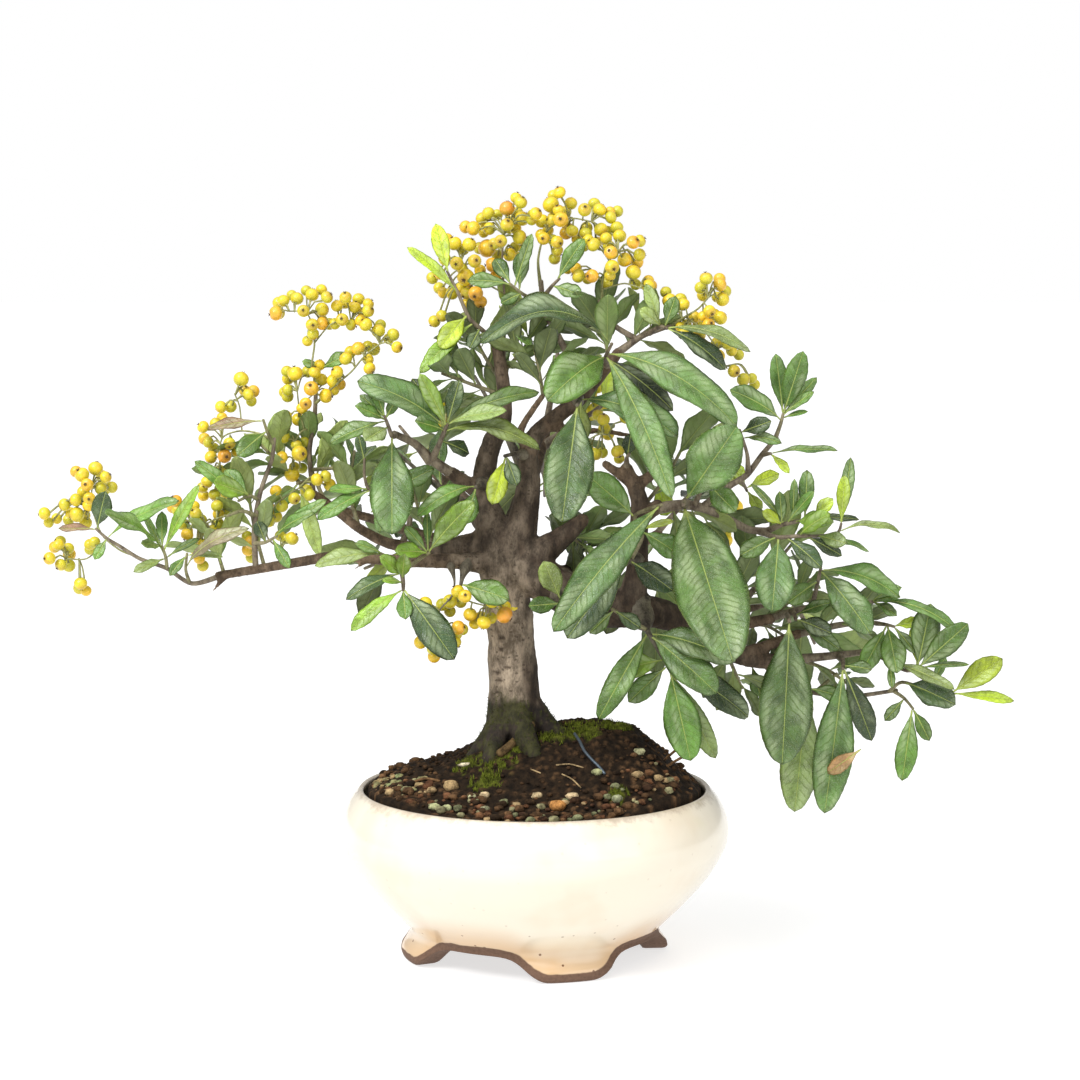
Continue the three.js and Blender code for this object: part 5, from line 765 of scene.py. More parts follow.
def seen(across, up, toward):
    """The point on the sight line through (across, up) that lies "toward" in front of the trunk."""
    aim = Vector((across, 0, 0)) + UP * up - EYE
    return EYE + aim * ((-toward - EYE.y) / aim.y)


def shrink(toward):
    """How much smaller a thing is than it looks, at this depth."""
    return (-toward - EYE.y) / -EYE.y


def draw(n):
    """A repeatable draw from 0 to 1."""
    s = math.sin(n * 12.9898) * 43758.5453
    return s - math.floor(s)


def square_to(direction, guide):
    """The unit vector square to direction that lies nearest to guide."""
    return (guide - direction * guide.dot(direction)).normalized()


def any_side(direction):
    """A unit vector square to direction."""
    return square_to(direction, Vector((0, 0, 1)) if abs(direction.z) < 0.8 else Vector((0, 1, 0)))


def blend_colours(a, b, part):
    """The colour between a and b."""
    return tuple(x + (y - x) * part for x, y in zip(a, b))


def smoothstep(value, low, high):
    """0 below low, 1 above high and smooth between, for a number or an array."""
    part = np.clip((value - low) / (high - low), 0, 1)
    return part * part * (3 - 2 * part)


class Skin:
    """The points, faces and painted values of one piece, in mm from the bowl's axis."""

    def __init__(self):
        self.points, self.tints, self.places, self.spans, self.dust = [], [], [], [], []
        self.faces, self.finishes = [], []
        self.count = 0

    def add(self, points, faces, finish, tint, places=None, spans=None, dust=0.0):
        """Adds points, and faces as lists of their numbers. A tint is one colour or one for each point."""
        points = np.asarray(points, float).reshape(-1, 3)
        n = len(points)
        self.points.append(points)
        self.tints.append(np.broadcast_to(np.asarray(tint, float), (n, 3)))
        self.dust.append(np.full(n, dust))
        self.places.append(np.zeros((n, 3)) if places is None else np.asarray(places, float).reshape(n, 3))
        self.spans.append(np.zeros((n, 3)) if spans is None else np.asarray(spans, float).reshape(n, 3))
        self.faces.extend([tuple(self.count + k for k in face) for face in faces])
        self.finishes.extend([finish] * len(faces))
        self.count += n

    def add_rings(self, rings, first, last, finish, tint, places=None, spans=None, dust=0.0):
        """Adds a closed skin over rings of points, with a point at each end.

        Tints, places and spans that are given for each point have the rings' first, then both ends'.
        """
        rings = np.asarray(rings, float)
        rows, around = rings.shape[:2]
        a = np.arange(rows - 1)[:, None] * around + np.arange(around)[None, :]
        b = np.arange(rows - 1)[:, None] * around + (np.arange(around)[None, :] + 1) % around
        faces = np.stack([a, b, b + around, a + around], axis=-1).reshape(-1, 4).tolist()
        start, end, top = rows * around, rows * around + 1, (rows - 1) * around
        for k in range(around):
            following = (k + 1) % around
            faces.append([start, following, k])
            faces.append([end, top + k, top + following])
        points = np.concatenate([rings.reshape(-1, 3), [first], [last]])
        self.add(points, faces, finish, tint, places, spans, dust)

    def piece(self, name, finishes):
        """The mesh object of this skin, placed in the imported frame."""
        mesh = bpy.data.meshes.new(name)
        points = (np.concatenate(self.points) + np.array(AXIS)) * MM
        mesh.from_pydata(points.tolist(), [], self.faces)
        paint(mesh, np.concatenate(self.tints))
        mesh.attributes.new("dust", "FLOAT", "POINT").data.foreach_set("value", np.concatenate(self.dust))
        for attribute, values in (("place", self.places), ("span", self.spans)):
            mesh.attributes.new(attribute, "FLOAT_VECTOR", "POINT").data.foreach_set(
                "vector", np.concatenate(values).ravel()
            )
        for finish in finishes:
            mesh.materials.append(finish)
        mesh.polygons.foreach_set("material_index", self.finishes)
        mesh.polygons.foreach_set("use_smooth", [True] * len(self.faces))
        mesh.update()
        return show(bpy.data.objects.new(name, mesh))


def paint(mesh, tints):
    """Paints a colour on each point of a mesh."""
    opaque = np.hstack([tints, np.ones((len(tints), 1))])
    mesh.attributes.new("tint", "FLOAT_COLOR", "POINT").data.foreach_set("color", opaque.ravel())


def show(piece):
    """Puts an object in the scene."""
    bpy.context.scene.collection.objects.link(piece)
    return piece


def settle(piece, slot, *nodes):
    """Lets a piece ride on the part's body, in place of these nodes. The slot is not used."""
    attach(piece, BODY)
    if nodes:
        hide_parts(*nodes)
    return piece


# How far a curve swings out at its points.
EASE = 0.8


def smooth_path(limb, step):
    """A curve through a limb's points: rows of x, y, z and radius, about a step apart."""
    at = np.array([[*seen(*point[:3]), point[3]] for point in limb])
    return through(at, step)


def through(at, step):
    """A curve through rows of numbers, about a step apart in their first three."""
    before = np.vstack([at[:1], at[:-1]])
    after = np.vstack([at[1:], at[-1:]])
    slopes = after - before
    slopes /= np.maximum(np.linalg.norm(slopes[:, :3], axis=1), 1e-9)[:, None]
    rows = []
    for a, b, slope_a, slope_b in zip(at[:-1], at[1:], slopes[:-1], slopes[1:]):
        reach = np.linalg.norm(b[:3] - a[:3])
        parts = max(1, round(reach / step))
        t = (np.arange(parts) / parts)[:, None]
        reach *= EASE
        rows.append(
            (2 * t**3 - 3 * t**2 + 1) * a
            + (t**3 - 2 * t**2 + t) * reach * slope_a
            + (3 * t**2 - 2 * t**3) * b
            + (t**3 - t**2) * reach * slope_b
        )
    rows.append(at[-1:])
    return np.vstack(rows)


# A tube's rounded end: how far its tip stands out, as a share of its radius, the shares of the last ring
# and of a point near the tip in the cap's ring, how near that point is, and how far the cap is moved out.
TUBE_BLUNT = 0.7
CAP_SHARES = (0.68, 0.32)
CAP_MIDDLE = (0.4, 0.6)
CAP_OUT = 0.45


def tube_rings(path, sides):
    """Rings of points round a path of x, y, z and radius rows."""
    turns = 2 * np.pi * np.arange(sides) / sides
    rings, side = [], None
    for i, row in enumerate(path):
        ahead = Vector(path[min(i + 1, len(path) - 1)][:3]) - Vector(path[max(i - 1, 0)][:3])
        ahead = ahead.normalized()
        side = square_to(ahead, side) if side else any_side(ahead)
        other = np.array(ahead.cross(side))
        circle = np.cos(turns)[:, None] * np.array(side) + np.sin(turns)[:, None] * other
        rings.append(row[:3] + row[3] * circle)
    return np.array(rings)


def add_tube(skin, path, sides, finish, tint):
    """Adds a tube along a path of x, y, z and radius rows, with rounded ends."""
    rings = tube_rings(path, sides)
    tips, caps = [], []
    for end, inner, ring in ((path[0], path[1], rings[:1]), (path[-1], path[-2], rings[-1:])):
        out = end[:3] - inner[:3]
        tip = end[:3] + out / max(np.linalg.norm(out), 1e-9) * end[3] * TUBE_BLUNT
        middle = end[:3] * CAP_MIDDLE[0] + tip * CAP_MIDDLE[1]
        cap = ring * CAP_SHARES[0] + middle * CAP_SHARES[1]
        caps.append(cap + (tip - end[:3]) * CAP_OUT)
        tips.append(tip)
    skin.add_rings(np.concatenate([caps[0], rings, caps[1]]), *tips, finish, tint)


class Leaf(NamedTuple):
    """A leaf's root, tip, the way its face looks, its width and how far it arches."""

    root: Vector
    tip: Vector
    normal: Vector
    width: float
    arch: float


def nearest_on(stems, across, up):
    """The point of the stems, as (across, up, toward), that is seen nearest to (across, up)."""
    best = None
    for path in stems:
        for i in range(1, len(path)):
            a, b = path[i - 1], path[i]
            dx, dy = b[0] - a[0], b[1] - a[1]
            raw = ((across - a[0]) * dx + (up - a[1]) * dy) / max(dx * dx + dy * dy, 1e-6)
            part = max(raw, FIRST_SEAT if i == 1 else 0)
            part = min(part, LAST_SEAT if i == len(path) - 1 else 1)
            at = [u + (v - u) * part for u, v in zip(a, b)]
            away = math.hypot(at[0] - across, at[1] - up)
            if best is None or away < best[0]:
                best = (away, at)
    return best[1]


def front_leaf(stems, row, shift):
    """A leaf of the table, with its tip shifted toward the viewer."""
    root_across, root_up, tip_across, tip_up, toward, seen_width, tilt, arch = row[:8]
    turn = math.radians(tilt)
    guide = Vector((0, -math.sin(turn), math.cos(turn)))
    root = seen(*nearest_on(stems, root_across, root_up)[:3])
    tip = seen(tip_across, tip_up, toward + shift)
    normal = square_to((tip - root).normalized(), guide)
    facing = max(LEAST_FACING, abs(normal.dot((tip - EYE).normalized())))
    width = min(seen_width * shrink(toward) / facing, WIDEST_LEAF * (tip - root).length)
    return Leaf(root, tip, normal, width, arch)


def far_leaf(stem, number, size, seed, k, attempt):
    """A leaf of a spray on the far side. They stand round their stem at the golden angle."""
    start, bend, end = (seen(*point[:3]) for point in stem)
    place = FAR_SEATS[0] + FAR_SEATS[1] * (k + 0.5) / number
    root = start.lerp(bend, place) if place < 1 else bend.lerp(end, (place - 1) * LAST_SEAT)
    axis = (end - bend).normalized()
    side = any_side(axis)
    other = axis.cross(side)
    turn = GOLDEN_ANGLE * k + seed + FAR_TURN * attempt
    least, spread, change = FAR_LEAN
    lean = least + spread * draw(seed * 5 + k) + change * attempt
    least, spread, change = FAR_LENGTH
    reach = size * (least + spread * draw(seed * 9 + 3 * k)) * (1 - change * attempt)
    out = side * math.cos(turn) + other * math.sin(turn)
    tip = root + axis * (reach * math.cos(lean)) + out * (reach * math.sin(lean))
    guide = Vector((0, 0.6, 0.7)) + axis * 0.5
    normal = square_to((tip - root).normalized(), guide)
    return Leaf(root, tip, normal, reach * FAR_LEAF_WIDTH, reach * FAR_LEAF_ARCH)


def corners_of(node):
    """A search tree of a node's corners, in mm from the bowl's axis."""
    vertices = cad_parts[node].data.vertices
    tree = kdtree.KDTree(len(vertices))
    for i, vertex in enumerate(vertices):
        tree.insert(vertex.co / MM - AXIS, i)
    tree.balance()
    return tree


def fitted(tree, offers):
    """The leaf whose tip is a corner of the node, or None where the node has none of these leaves."""
    away, n = min((tree.find(leaf.tip)[2], n) for n, leaf in enumerate(offers))
    return offers[n] if away < TIP_REACH else None


def leaf_half(t, reach, width):
    """Half the width of a blade at each share t of its length, from the stalk to the tip."""
    stalk = min(0.12, 2.2 / reach)
    s = np.clip((t - stalk) / (1 - stalk), 0, 1)
    blade = width / 2 * np.sin(np.pi * s**LEAF_BOW) ** (LEAF_TAPER - LEAF_BLUNT * s)
    return np.maximum(blade, 0.42 * (1 - 0.5 * t))


# Rows of points in a leaf, fewest and most, the length from which it has more columns and the width
# from which its edge waves.
LEAF_ROWS = (9, 36)
LONG_LEAF = 17
NARROW_LEAF = 4
# The height of its wave, how far the blade is let down again, and how thick its edge is, as shares.
LEAF_WAVE = 0.2
LEAF_SAG = 0.42
LEAF_EDGE = 0.35
# How many different patterns of veins and spots the leaves have.
PATTERNS = 97


def add_leaf(skin, leaf, tint, dust, seed, sizes):
    """Adds a leaf as a thin closed blade with a folded midrib, a waved face and a toothed edge."""
    root, tip, normal = (np.array(v) for v in (leaf.root, leaf.tip, leaf.normal))
    reach = np.linalg.norm(tip - root)
    rows = int(np.clip(round(reach / (sizes.step / MM)), *LEAF_ROWS))
    columns = 8 if reach > LONG_LEAF else 6
    t = (np.arange(1, rows) / rows)[:, None]
    control = (root + tip) / 2 + normal * 2 * leaf.arch
    middle = (1 - t) ** 2 * root + 2 * t * (1 - t) * control + t**2 * tip
    forward = (1 - t) * (control - root) + t * (tip - control)
    forward /= np.linalg.norm(forward, axis=1)[:, None]
    side = np.cross(forward, normal)
    side /= np.linalg.norm(side, axis=1)[:, None]
    face = np.cross(side, forward)

    half = leaf_half(t[:, 0], reach, leaf.width)
    half -= sizes.tooth / MM * (np.arange(1, rows) % 2) * smoothstep(half, 1, 2)
    x = np.linspace(-1, 1, columns + 1)
    x = np.sign(x) * np.abs(x) ** 0.85
    fold = sizes.fold * (0.7 + 0.6 * draw(seed + 1))
    turns = t * (1.4 + draw(seed + 2)) + draw(seed + 3)
    wave = LEAF_WAVE * np.sin(2 * np.pi * turns + np.sign(x) * draw(seed + 4)) * (leaf.width > NARROW_LEAF)
    bulge = sizes.bulge * np.sin(np.pi * np.abs(x) ** 0.8)
    rise = half[:, None] * (fold * np.abs(x) ** 1.25 + bulge - 0.1 * x**4 + wave * np.abs(x) ** 1.6)
    rise -= half[:, None] * fold * LEAF_SAG
    thick = sizes.thickness / MM * (LEAF_EDGE + (1 - LEAF_EDGE) * (1 - np.abs(x))) / 2
    thick = thick * smoothstep(1 - t, 0, 0.12)

    def surface(columns_used, lift):
        across = half[:, None] * x[columns_used][None, :]
        height = rise[:, columns_used] + lift[:, columns_used]
        return middle[:, None] + side[:, None] * across[..., None] + face[:, None] * height[..., None]

    upper = surface(np.arange(columns + 1), thick)
    lower = surface(np.arange(columns - 1, 0, -1), -thick)
    rings = np.concatenate([upper, lower], axis=1)

    across = np.concatenate([x, x[-2:0:-1]])
    is_upper = np.concatenate([np.ones(columns + 1), np.zeros(columns - 1)])
    shape = rings.shape[:2]
    places = np.stack(
        [np.broadcast_to(t * reach, shape), half[:, None] * across, np.broadcast_to(is_upper, shape)], axis=-1
    ).reshape(-1, 3)
    pattern = seed % PATTERNS
    spans = np.stack(
        [np.full(shape, reach), np.broadcast_to(half[:, None], shape), np.full(shape, pattern)], axis=-1
    ).reshape(-1, 3)
    places = np.vstack([places, [0, 0, 1], [reach, 0, 1]])
    spans = np.vstack([spans, [reach, 0.4, pattern], [reach, 0.4, pattern]])
    skin.add_rings(rings, root, tip, 0, tint, places, spans, dust)


def seat_of(stalks, point):
    """The point of the stalks that lies nearest to point."""
    best = None
    for n, path in enumerate(stalks):
        for i in range(1, len(path)):
            if n == 0 and i == 1:
                continue
            a, b = seen(*path[i - 1][:3]), seen(*path[i][:3])
            part = (point - a).dot(b - a) / (b - a).length_squared
            part = min(max(part, 0), LAST_SEAT if i == len(path) - 1 else 1)
            at = a.lerp(b, part)
            away = (at - point).length
            if best is None or away < best[0]:
                best = (away, at)
    return best[1]


def placed_berries(bunch):
    """The berries of a bunch as (foot, centre, radius), each where it has room."""
    placed = []
    for k, (across, up, radius) in enumerate(bunch.berries):
        best = None
        for attempt in range(BERRY_TRIES):
            toward = bunch.depth + bunch.spread * (2 * draw(31 * k + 7 * attempt + 3) - 1)
            centre = seen(across, up, toward)
            foot = seat_of(bunch.stalks, centre)
            room = (foot - centre).length - radius - BERRY_SEAT
            room = min([room] + [(other[1] - centre).length - other[2] - radius for other in placed])
            if best is None or room > best[0]:
                best = (room, (foot, centre, radius * shrink(toward)))
            if room > BERRY_ROOM:
                break
        placed.append(best[1])
    return placed


def far_berries(stalk, number, seed):
    """The berries of a bunch on the far side as (foot, centre, radius), in a dome round the stalk's end."""
    _, bend, end = (seen(*point[:3]) for point in stalk)
    axis = (end - bend).normalized()
    side = any_side(axis)
    other = axis.cross(side)
    berries = []
    for k in range(number):
        turn = GOLDEN_ANGLE * k + seed
        out = FAR_DOME * math.sqrt((k + 0.6) / number)
        centre = end + axis * (7 - 0.6 * out + 2 * draw(seed + 3 * k))
        centre += (side * math.cos(turn) + other * math.sin(turn)) * out
        berries.append((bend.lerp(end, LAST_SEAT - 0.09 * k), centre, 2.9 + 0.5 * draw(seed * 3 + k)))
    return berries


# Faces of a spike with three corners at its foot.
SPIKE = [(0, 1, 3), (1, 2, 3), (2, 0, 3), (0, 2, 1)]

# A berry, in radii: its height, its dimple, its width, how lopsided it is, and its two ends.
BERRY_HIGH = 0.96
BERRY_DIMPLE = 0.14
BERRY_WIDE = 1.03
BERRY_LOPSIDED = 0.025
BERRY_ENDS = (-0.9, 0.8)
# Its star, in radii: where its points start and end along the berry, their reach, half width and foot.
STAR_POINTS = 5
STAR_BASE = 0.84
STAR_TOP = 1.02
STAR_REACH = 0.34
STAR_HALF = 0.15
STAR_FOOT = 0.14


def add_berry(skin, foot, centre, radius, tint, seed, sizes):
    """Adds a berry: a smooth ball with a dimple and a dry star at its far end, on a thin bent stalk."""
    along = (centre - foot).normalized()
    side = any_side(along)
    other = along.cross(side)
    frame_of = np.array([side, other, along])
    turns = 2 * np.pi * np.arange(sizes.steps) / sizes.steps
    polar = np.linspace(0, np.pi, sizes.steps * 2 // 3 + 1)[1:-1]
    high = -np.cos(polar) * BERRY_HIGH - BERRY_DIMPLE * smoothstep(polar, 2.55, 3.05)
    lopsided = 1 + BERRY_LOPSIDED * np.sin(turns + 6 * draw(seed))
    wide = np.sin(polar)[:, None] * BERRY_WIDE * lopsided[None, :]
    heights = np.broadcast_to(high[:, None], wide.shape)
    local = np.stack([wide * np.cos(turns), wide * np.sin(turns), heights], axis=-1) * radius
    rings = local @ frame_of + np.array(centre)
    ends = [np.array(centre) + np.array(along) * radius * end for end in BERRY_ENDS]
    places = np.zeros((heights.size + 2, 3))
    places[:, 0] = [*heights.ravel(), *BERRY_ENDS]
    skin.add_rings(rings, *ends, 0, tint, places)

    for k in range(STAR_POINTS):
        turn = 2 * math.pi * (k + draw(seed + 5)) / STAR_POINTS
        out = side * math.cos(turn) + other * math.sin(turn)
        beside = along.cross(out)
        base = centre + along * (radius * STAR_BASE)
        tip = centre + along * (radius * (STAR_TOP + 0.1 * draw(seed + k))) + out * (radius * STAR_REACH)
        half = beside * (radius * STAR_HALF)
        skin.add([base + half, base - half, base + along * (radius * STAR_FOOT), tip], SPIKE, 2, (0, 0, 0))

    reach = (centre - foot).length - radius * 0.8
    if reach > 0.2:
        bend = foot + along * (reach * 0.55) + Vector((0, 0, 0.12 * reach)) + side * (0.1 * reach)
        points = [foot, bend, centre - along * (radius * 0.86)]
        stalk = sizes.stalk / MM
        path = through(np.array([[*p, stalk * w] for p, w in zip(points, (0.9, 0.9, 1.25))]), 2.5)
        add_tube(skin, path, 5, 1, sizes.stalk_colour)


def soil_height(x, y):
    """The height of the soil's smooth face."""
    fall = np.cos(np.pi / 2 * np.minimum(np.abs(y) / SOIL_DEPTH, 1)) ** SOIL_FALL
    crest = np.interp(x, *zip(*SOIL_CREST))
    return float(SOIL_EDGE + (crest - SOIL_EDGE) * fall)


def foot_lift(angle):
    """The height of the bowl's lower edge at an angle in degrees, 0 under a foot."""
    away = np.min([np.abs((angle - foot + 180) % 360 - 180) for foot in FOOT_ANGLES], axis=0)
    past = np.maximum(away - FOOT_HALF, 0) / FOOT_FLARE
    return SKIRT * (1 - np.exp(-(past**FOOT_BEND)))


# Tones that the finishes mix in.
# Painted highlight: the pale tone washed over the leaves between their side veins.
PAINTED_SHEEN_TONE = linear("#bac99a")
DUST_TONE = linear("#c3c8a8")
TWIG_LIGHT = linear("#c9c0a0")
CLOUDED_BERRY = linear("#a8a82a")
STALK_END = linear("#a9ad38")
BLUSH_TONE = linear("#c4802f")
STAR_RING = linear("#7d6028")
BERRY_PORE = linear("#8d7a30")
STAR_LIGHT = linear("#6d5636")
WIRE_LIGHT = linear("#6b7680")
CLAY_SHADE = linear("#3c2c1e")

# How high the bowl's top edge is darkened, in mm: by stains of the soil, and partly by painted shade of the
# foliage over the rim.
LIP_STAIN_AND_SHADE = (64.9, 68.2)


class Nodes:
    """Short calls for building a node tree."""

    def __init__(self, tree):
        self.tree = tree

    def put(self, socket, value):
        """Links a socket to another, or sets its own value."""
        if isinstance(value, bpy.types.NodeSocket):
            self.tree.links.new(value, socket)
        elif socket.type == "RGBA":
            socket.default_value = (*value[:3], 1)
        else:
            socket.default_value = value

    def add(self, kind, inputs=(), **settings):
        """Adds a node with these settings and inputs, and gives the node."""
        node = self.tree.nodes.new("ShaderNode" + kind)
        for key, value in settings.items():
            setattr(node, key, value)
        for key, value in dict(inputs).items():
            self.put(node.inputs[key], value)
        return node

    def math(self, operation, a, b=0.0, clamp=False):
        """The result of a sum, product or other operation."""
        return self.add("Math", {0: a, 1: b}, operation=operation, use_clamp=clamp).outputs[0]

    def times(self, a, b):
        """The product of two values."""
        return self.math("MULTIPLY", a, b)

    def plus(self, a, b):
        """The sum of two values."""
        return self.math("ADD", a, b)

    def minus(self, a, b):
        """What is left of a without b."""
        return self.math("SUBTRACT", a, b)

    def step(self, value, low, high):
        """0 below low and 1 above high, smooth between. Low may be above high."""
        inputs = {"Value": value, "From Min": low, "From Max": high}
        return self.add("MapRange", inputs, interpolation_type="SMOOTHSTEP").outputs["Result"]

    def mix(self, part, a, b, blend="MIX"):
        """A colour between a and b."""
        node = self.add("Mix", data_type="RGBA", blend_type=blend, clamp_factor=True)
        self.put(node.inputs[0], part)
        self.put(node.inputs[6], a)
        self.put(node.inputs[7], b)
        return node.outputs[2]

    def wash(self, tone, mask, share, over):
        """A tone with a share of the colour "over" where the mask is 1."""
        return self.mix(self.times(mask, share), tone, over)

    def shaded(self, tone, factors):
        """A tone made darker or lighter by these factors."""
        return self.mix(1.0, tone, factors, "MULTIPLY")

    def attribute(self, name, output):
        """What is painted on the points under this name."""
        return self.add("Attribute", attribute_name=name).outputs[output]

    def split(self, vector):
        """The three outputs of a vector."""
        return self.add("SeparateXYZ", {0: vector}).outputs

    def noise(self, vector, scale, detail=3.0, roughness=0.5):
        """Cloudy noise from 0 to 1."""
        inputs = {"Vector": vector, "Scale": scale, "Detail": detail, "Roughness": roughness}
        return self.add("TexNoise", inputs).outputs["Fac"]

    def place(self, stretch=(1, 1, 1)):
        """The place on the object in mm, stretched."""
        scale = tuple(s / MM for s in stretch)
        coordinates = self.add("TexCoord").outputs["Object"]
        return self.add("VectorMath", {0: coordinates, 1: scale}, operation="MULTIPLY").outputs[0]

    def group(self, tree, **inputs):
        """The outputs of a shared group, placed with these inputs."""
        return self.add("Group", inputs, node_tree=tree).outputs

    def bump(self, height, distance, strength=1.0):
        """A normal from a height in mm."""
        inputs = {"Height": height, "Distance": distance * MM, "Strength": strength}
        return self.add("Bump", inputs).outputs[0]


def new_group(name, inputs, outputs):
    """An empty node group with a place, these number inputs and these outputs: its Nodes and its sockets."""
    group = bpy.data.node_groups.new(name, "ShaderNodeTree")
    group.interface.new_socket(name="Place", in_out="INPUT", socket_type="NodeSocketVector")
    for socket, value in inputs.items():
        made = group.interface.new_socket(name=socket, in_out="INPUT", socket_type="NodeSocketFloat")
        made.default_value = value
    for socket in outputs:
        group.interface.new_socket(name=socket, in_out="OUTPUT", socket_type="NodeSocketFloat")
    entry = group.nodes.new("NodeGroupInput")
    end = group.nodes.new("NodeGroupOutput")
    return Nodes(group), entry.outputs, end.inputs


def made_once(build):
    """Builds a finish or a group the first time only, and gives the same one after that."""
    made = []

    def get(*settings):
        if not made:
            made.append(build(*settings))
        return made[0]

    return get


@made_once
def speckle_group():
    """Small specks scattered over a surface: a mask."""
    nodes, entry, out = new_group("Specks", {"Scale": 1.0, "Size": 0.2, "Share": 0.5}, ["Mask"])
    cells = nodes.add("TexVoronoi", {"Vector": entry["Place"], "Scale": entry["Scale"]}, feature="F1")
    spot = nodes.math("LESS_THAN", cells.outputs["Distance"], entry["Size"])
    chosen = nodes.math("LESS_THAN", nodes.split(cells.outputs["Color"])[0], entry["Share"])
    nodes.put(out["Mask"], nodes.times(spot, chosen))
    return nodes.tree


@made_once
def grain_group():
    """Layered grain of bark, earth and stalks: a shade from 0 to 1 and a height."""
    nodes, entry, out = new_group("Grain", {"Scale": 1.0}, ["Shade", "Height"])
    coarse = nodes.noise(entry["Place"], nodes.times(entry["Scale"], 0.22), 4.0)
    fine = nodes.noise(entry["Place"], entry["Scale"], 6.0, 0.65)
    both = nodes.plus(nodes.times(coarse, 0.6), nodes.times(fine, 0.4))
    nodes.put(out["Shade"], nodes.step(both, 0.34, 0.66))
    nodes.put(out["Height"], fine)
    return nodes.tree


def new_finish(name, **values):
    """A new material with these values on its shader: the material, its Nodes and its shader's inputs."""
    material = bpy.data.materials.new(name)
    material.use_nodes = True
    shader = material.node_tree.nodes["Principled BSDF"].inputs
    for key, value in values.items():
        shader[key.replace("_", " ")].default_value = value
    return material, Nodes(material.node_tree), shader


@made_once
def leaf_finish(sizes):
    """Leathery leaf: glossy above with a pale midrib and side veins and painted highlights between the veins,
    dull below, with dusty spots.
    """
    material, nodes, shader = new_finish("leaf", Specular_IOR_Level=0.5)
    along, across, upper = nodes.split(nodes.attribute("place", "Vector"))
    reach, half, seed = nodes.split(nodes.attribute("span", "Vector"))
    tint = nodes.attribute("tint", "Color")
    dusty = nodes.attribute("dust", "Fac")
    spot = nodes.add("CombineXYZ", {0: along, 1: across, 2: seed}).outputs[0]
    away = nodes.math("ABSOLUTE", across)
    part = nodes.math("DIVIDE", along, reach)
    edge = nodes.math("DIVIDE", away, half)

    rib_half = nodes.minus(0.44, nodes.times(part, 0.3))
    rib = nodes.step(away, rib_half, nodes.times(rib_half, 0.45))
    stagger = nodes.times(nodes.math("GREATER_THAN", across, 0.0), 0.5)
    slanted = nodes.minus(along, nodes.times(away, 1.05))
    wobble = nodes.times(nodes.noise(spot, 0.3, 2.0), 3.2)
    lanes = nodes.math("DIVIDE", nodes.plus(slanted, wobble), sizes.vein_step / MM)
    lane = nodes.math("FRACT", nodes.plus(lanes, stagger))
    off = nodes.math("ABSOLUTE", nodes.minus(lane, 0.5))
    veins = nodes.times(nodes.step(off, 0.085, 0.02), nodes.step(edge, 0.97, 0.6))
    net_cells = nodes.add("TexVoronoi", {"Vector": spot, "Scale": 1.15}, feature="DISTANCE_TO_EDGE")
    net = nodes.step(net_cells.outputs["Distance"], 0.07, 0.0)

    cloud = nodes.step(nodes.noise(spot, 0.16, 3.0), 0.34, 0.66)
    mottle = nodes.noise(spot, 1.4, 4.0, 0.6)
    shade = nodes.plus(nodes.plus(nodes.times(cloud, 0.5), nodes.times(mottle, 0.9)), 0.21)
    grey = nodes.add("CombineColor", {0: shade, 1: shade, 2: shade}).outputs[0]
    blade = nodes.shaded(tint, grey)
    # Painted highlight: pale patches between the side veins, in the middle of each half of the blade, stand
    # in for the gloss's reflection.
    patch = nodes.add("VectorMath", {0: spot, 1: (0.07, 0.15, 1.7)}, operation="MULTIPLY").outputs[0]
    painted_sheen = nodes.step(nodes.noise(patch, 1.0, 2.0), 0.4, 0.66)
    for mask in (nodes.step(off, -0.2, 0.32), nodes.step(edge, 0.02, 0.4), nodes.step(edge, 1.0, 0.6)):
        painted_sheen = nodes.times(painted_sheen, mask)
    blade = nodes.wash(blade, painted_sheen, 0.42, PAINTED_SHEEN_TONE)
    foot = nodes.step(part, 0.13, 0.05)
    rim = nodes.step(edge, 0.93, 1.0)
    for mask, much in ((net, 0.05), (veins, 0.13), (rim, 0.3), (rib, 0.62), (foot, 0.75)):
        blade = nodes.wash(blade, mask, much, sizes.rib)
    dust = nodes.step(nodes.noise(spot, 2.2, 6.0, 0.75), 0.52, 0.66)
    patches = nodes.step(nodes.noise(spot, 0.2, 2.0), 0.36, 0.56)
    dust = nodes.times(nodes.times(dust, patches), dusty)
    blade = nodes.wash(blade, dust, 0.6, DUST_TONE)
    below = nodes.mix(0.42, blade, sizes.underside)
    nodes.put(shader["Base Color"], nodes.mix(upper, below, blade))

    gloss = nodes.plus(0.26, nodes.times(dust, 0.4))
    gloss = nodes.plus(gloss, nodes.times(nodes.minus(1.0, upper), 0.28))
    nodes.put(shader["Roughness"], gloss)
    height = nodes.times(mottle, 0.5)
    for mask, deep in ((rib, 0.5), (veins, 0.6), (net, 0.1)):
        height = nodes.minus(height, nodes.times(mask, deep))
    nodes.put(shader["Normal"], nodes.bump(height, 0.5, 0.8))
    return material


@made_once
def twig_finish():
    """Young bark: its tint with fine grain."""
    material, nodes, shader = new_finish("twig", Roughness=0.6)
    grain = nodes.group(grain_group(), Place=nodes.place((1, 1, 0.45)), Scale=1.6)
    tint = nodes.attribute("tint", "Color")
    dark = nodes.shaded(tint, (0.42, 0.4, 0.36))
    light = nodes.mix(0.25, tint, TWIG_LIGHT)
    nodes.put(shader["Base Color"], nodes.mix(grain["Shade"], dark, light))
    nodes.put(shader["Normal"], nodes.bump(grain["Height"], 0.35, 0.7))
    return material


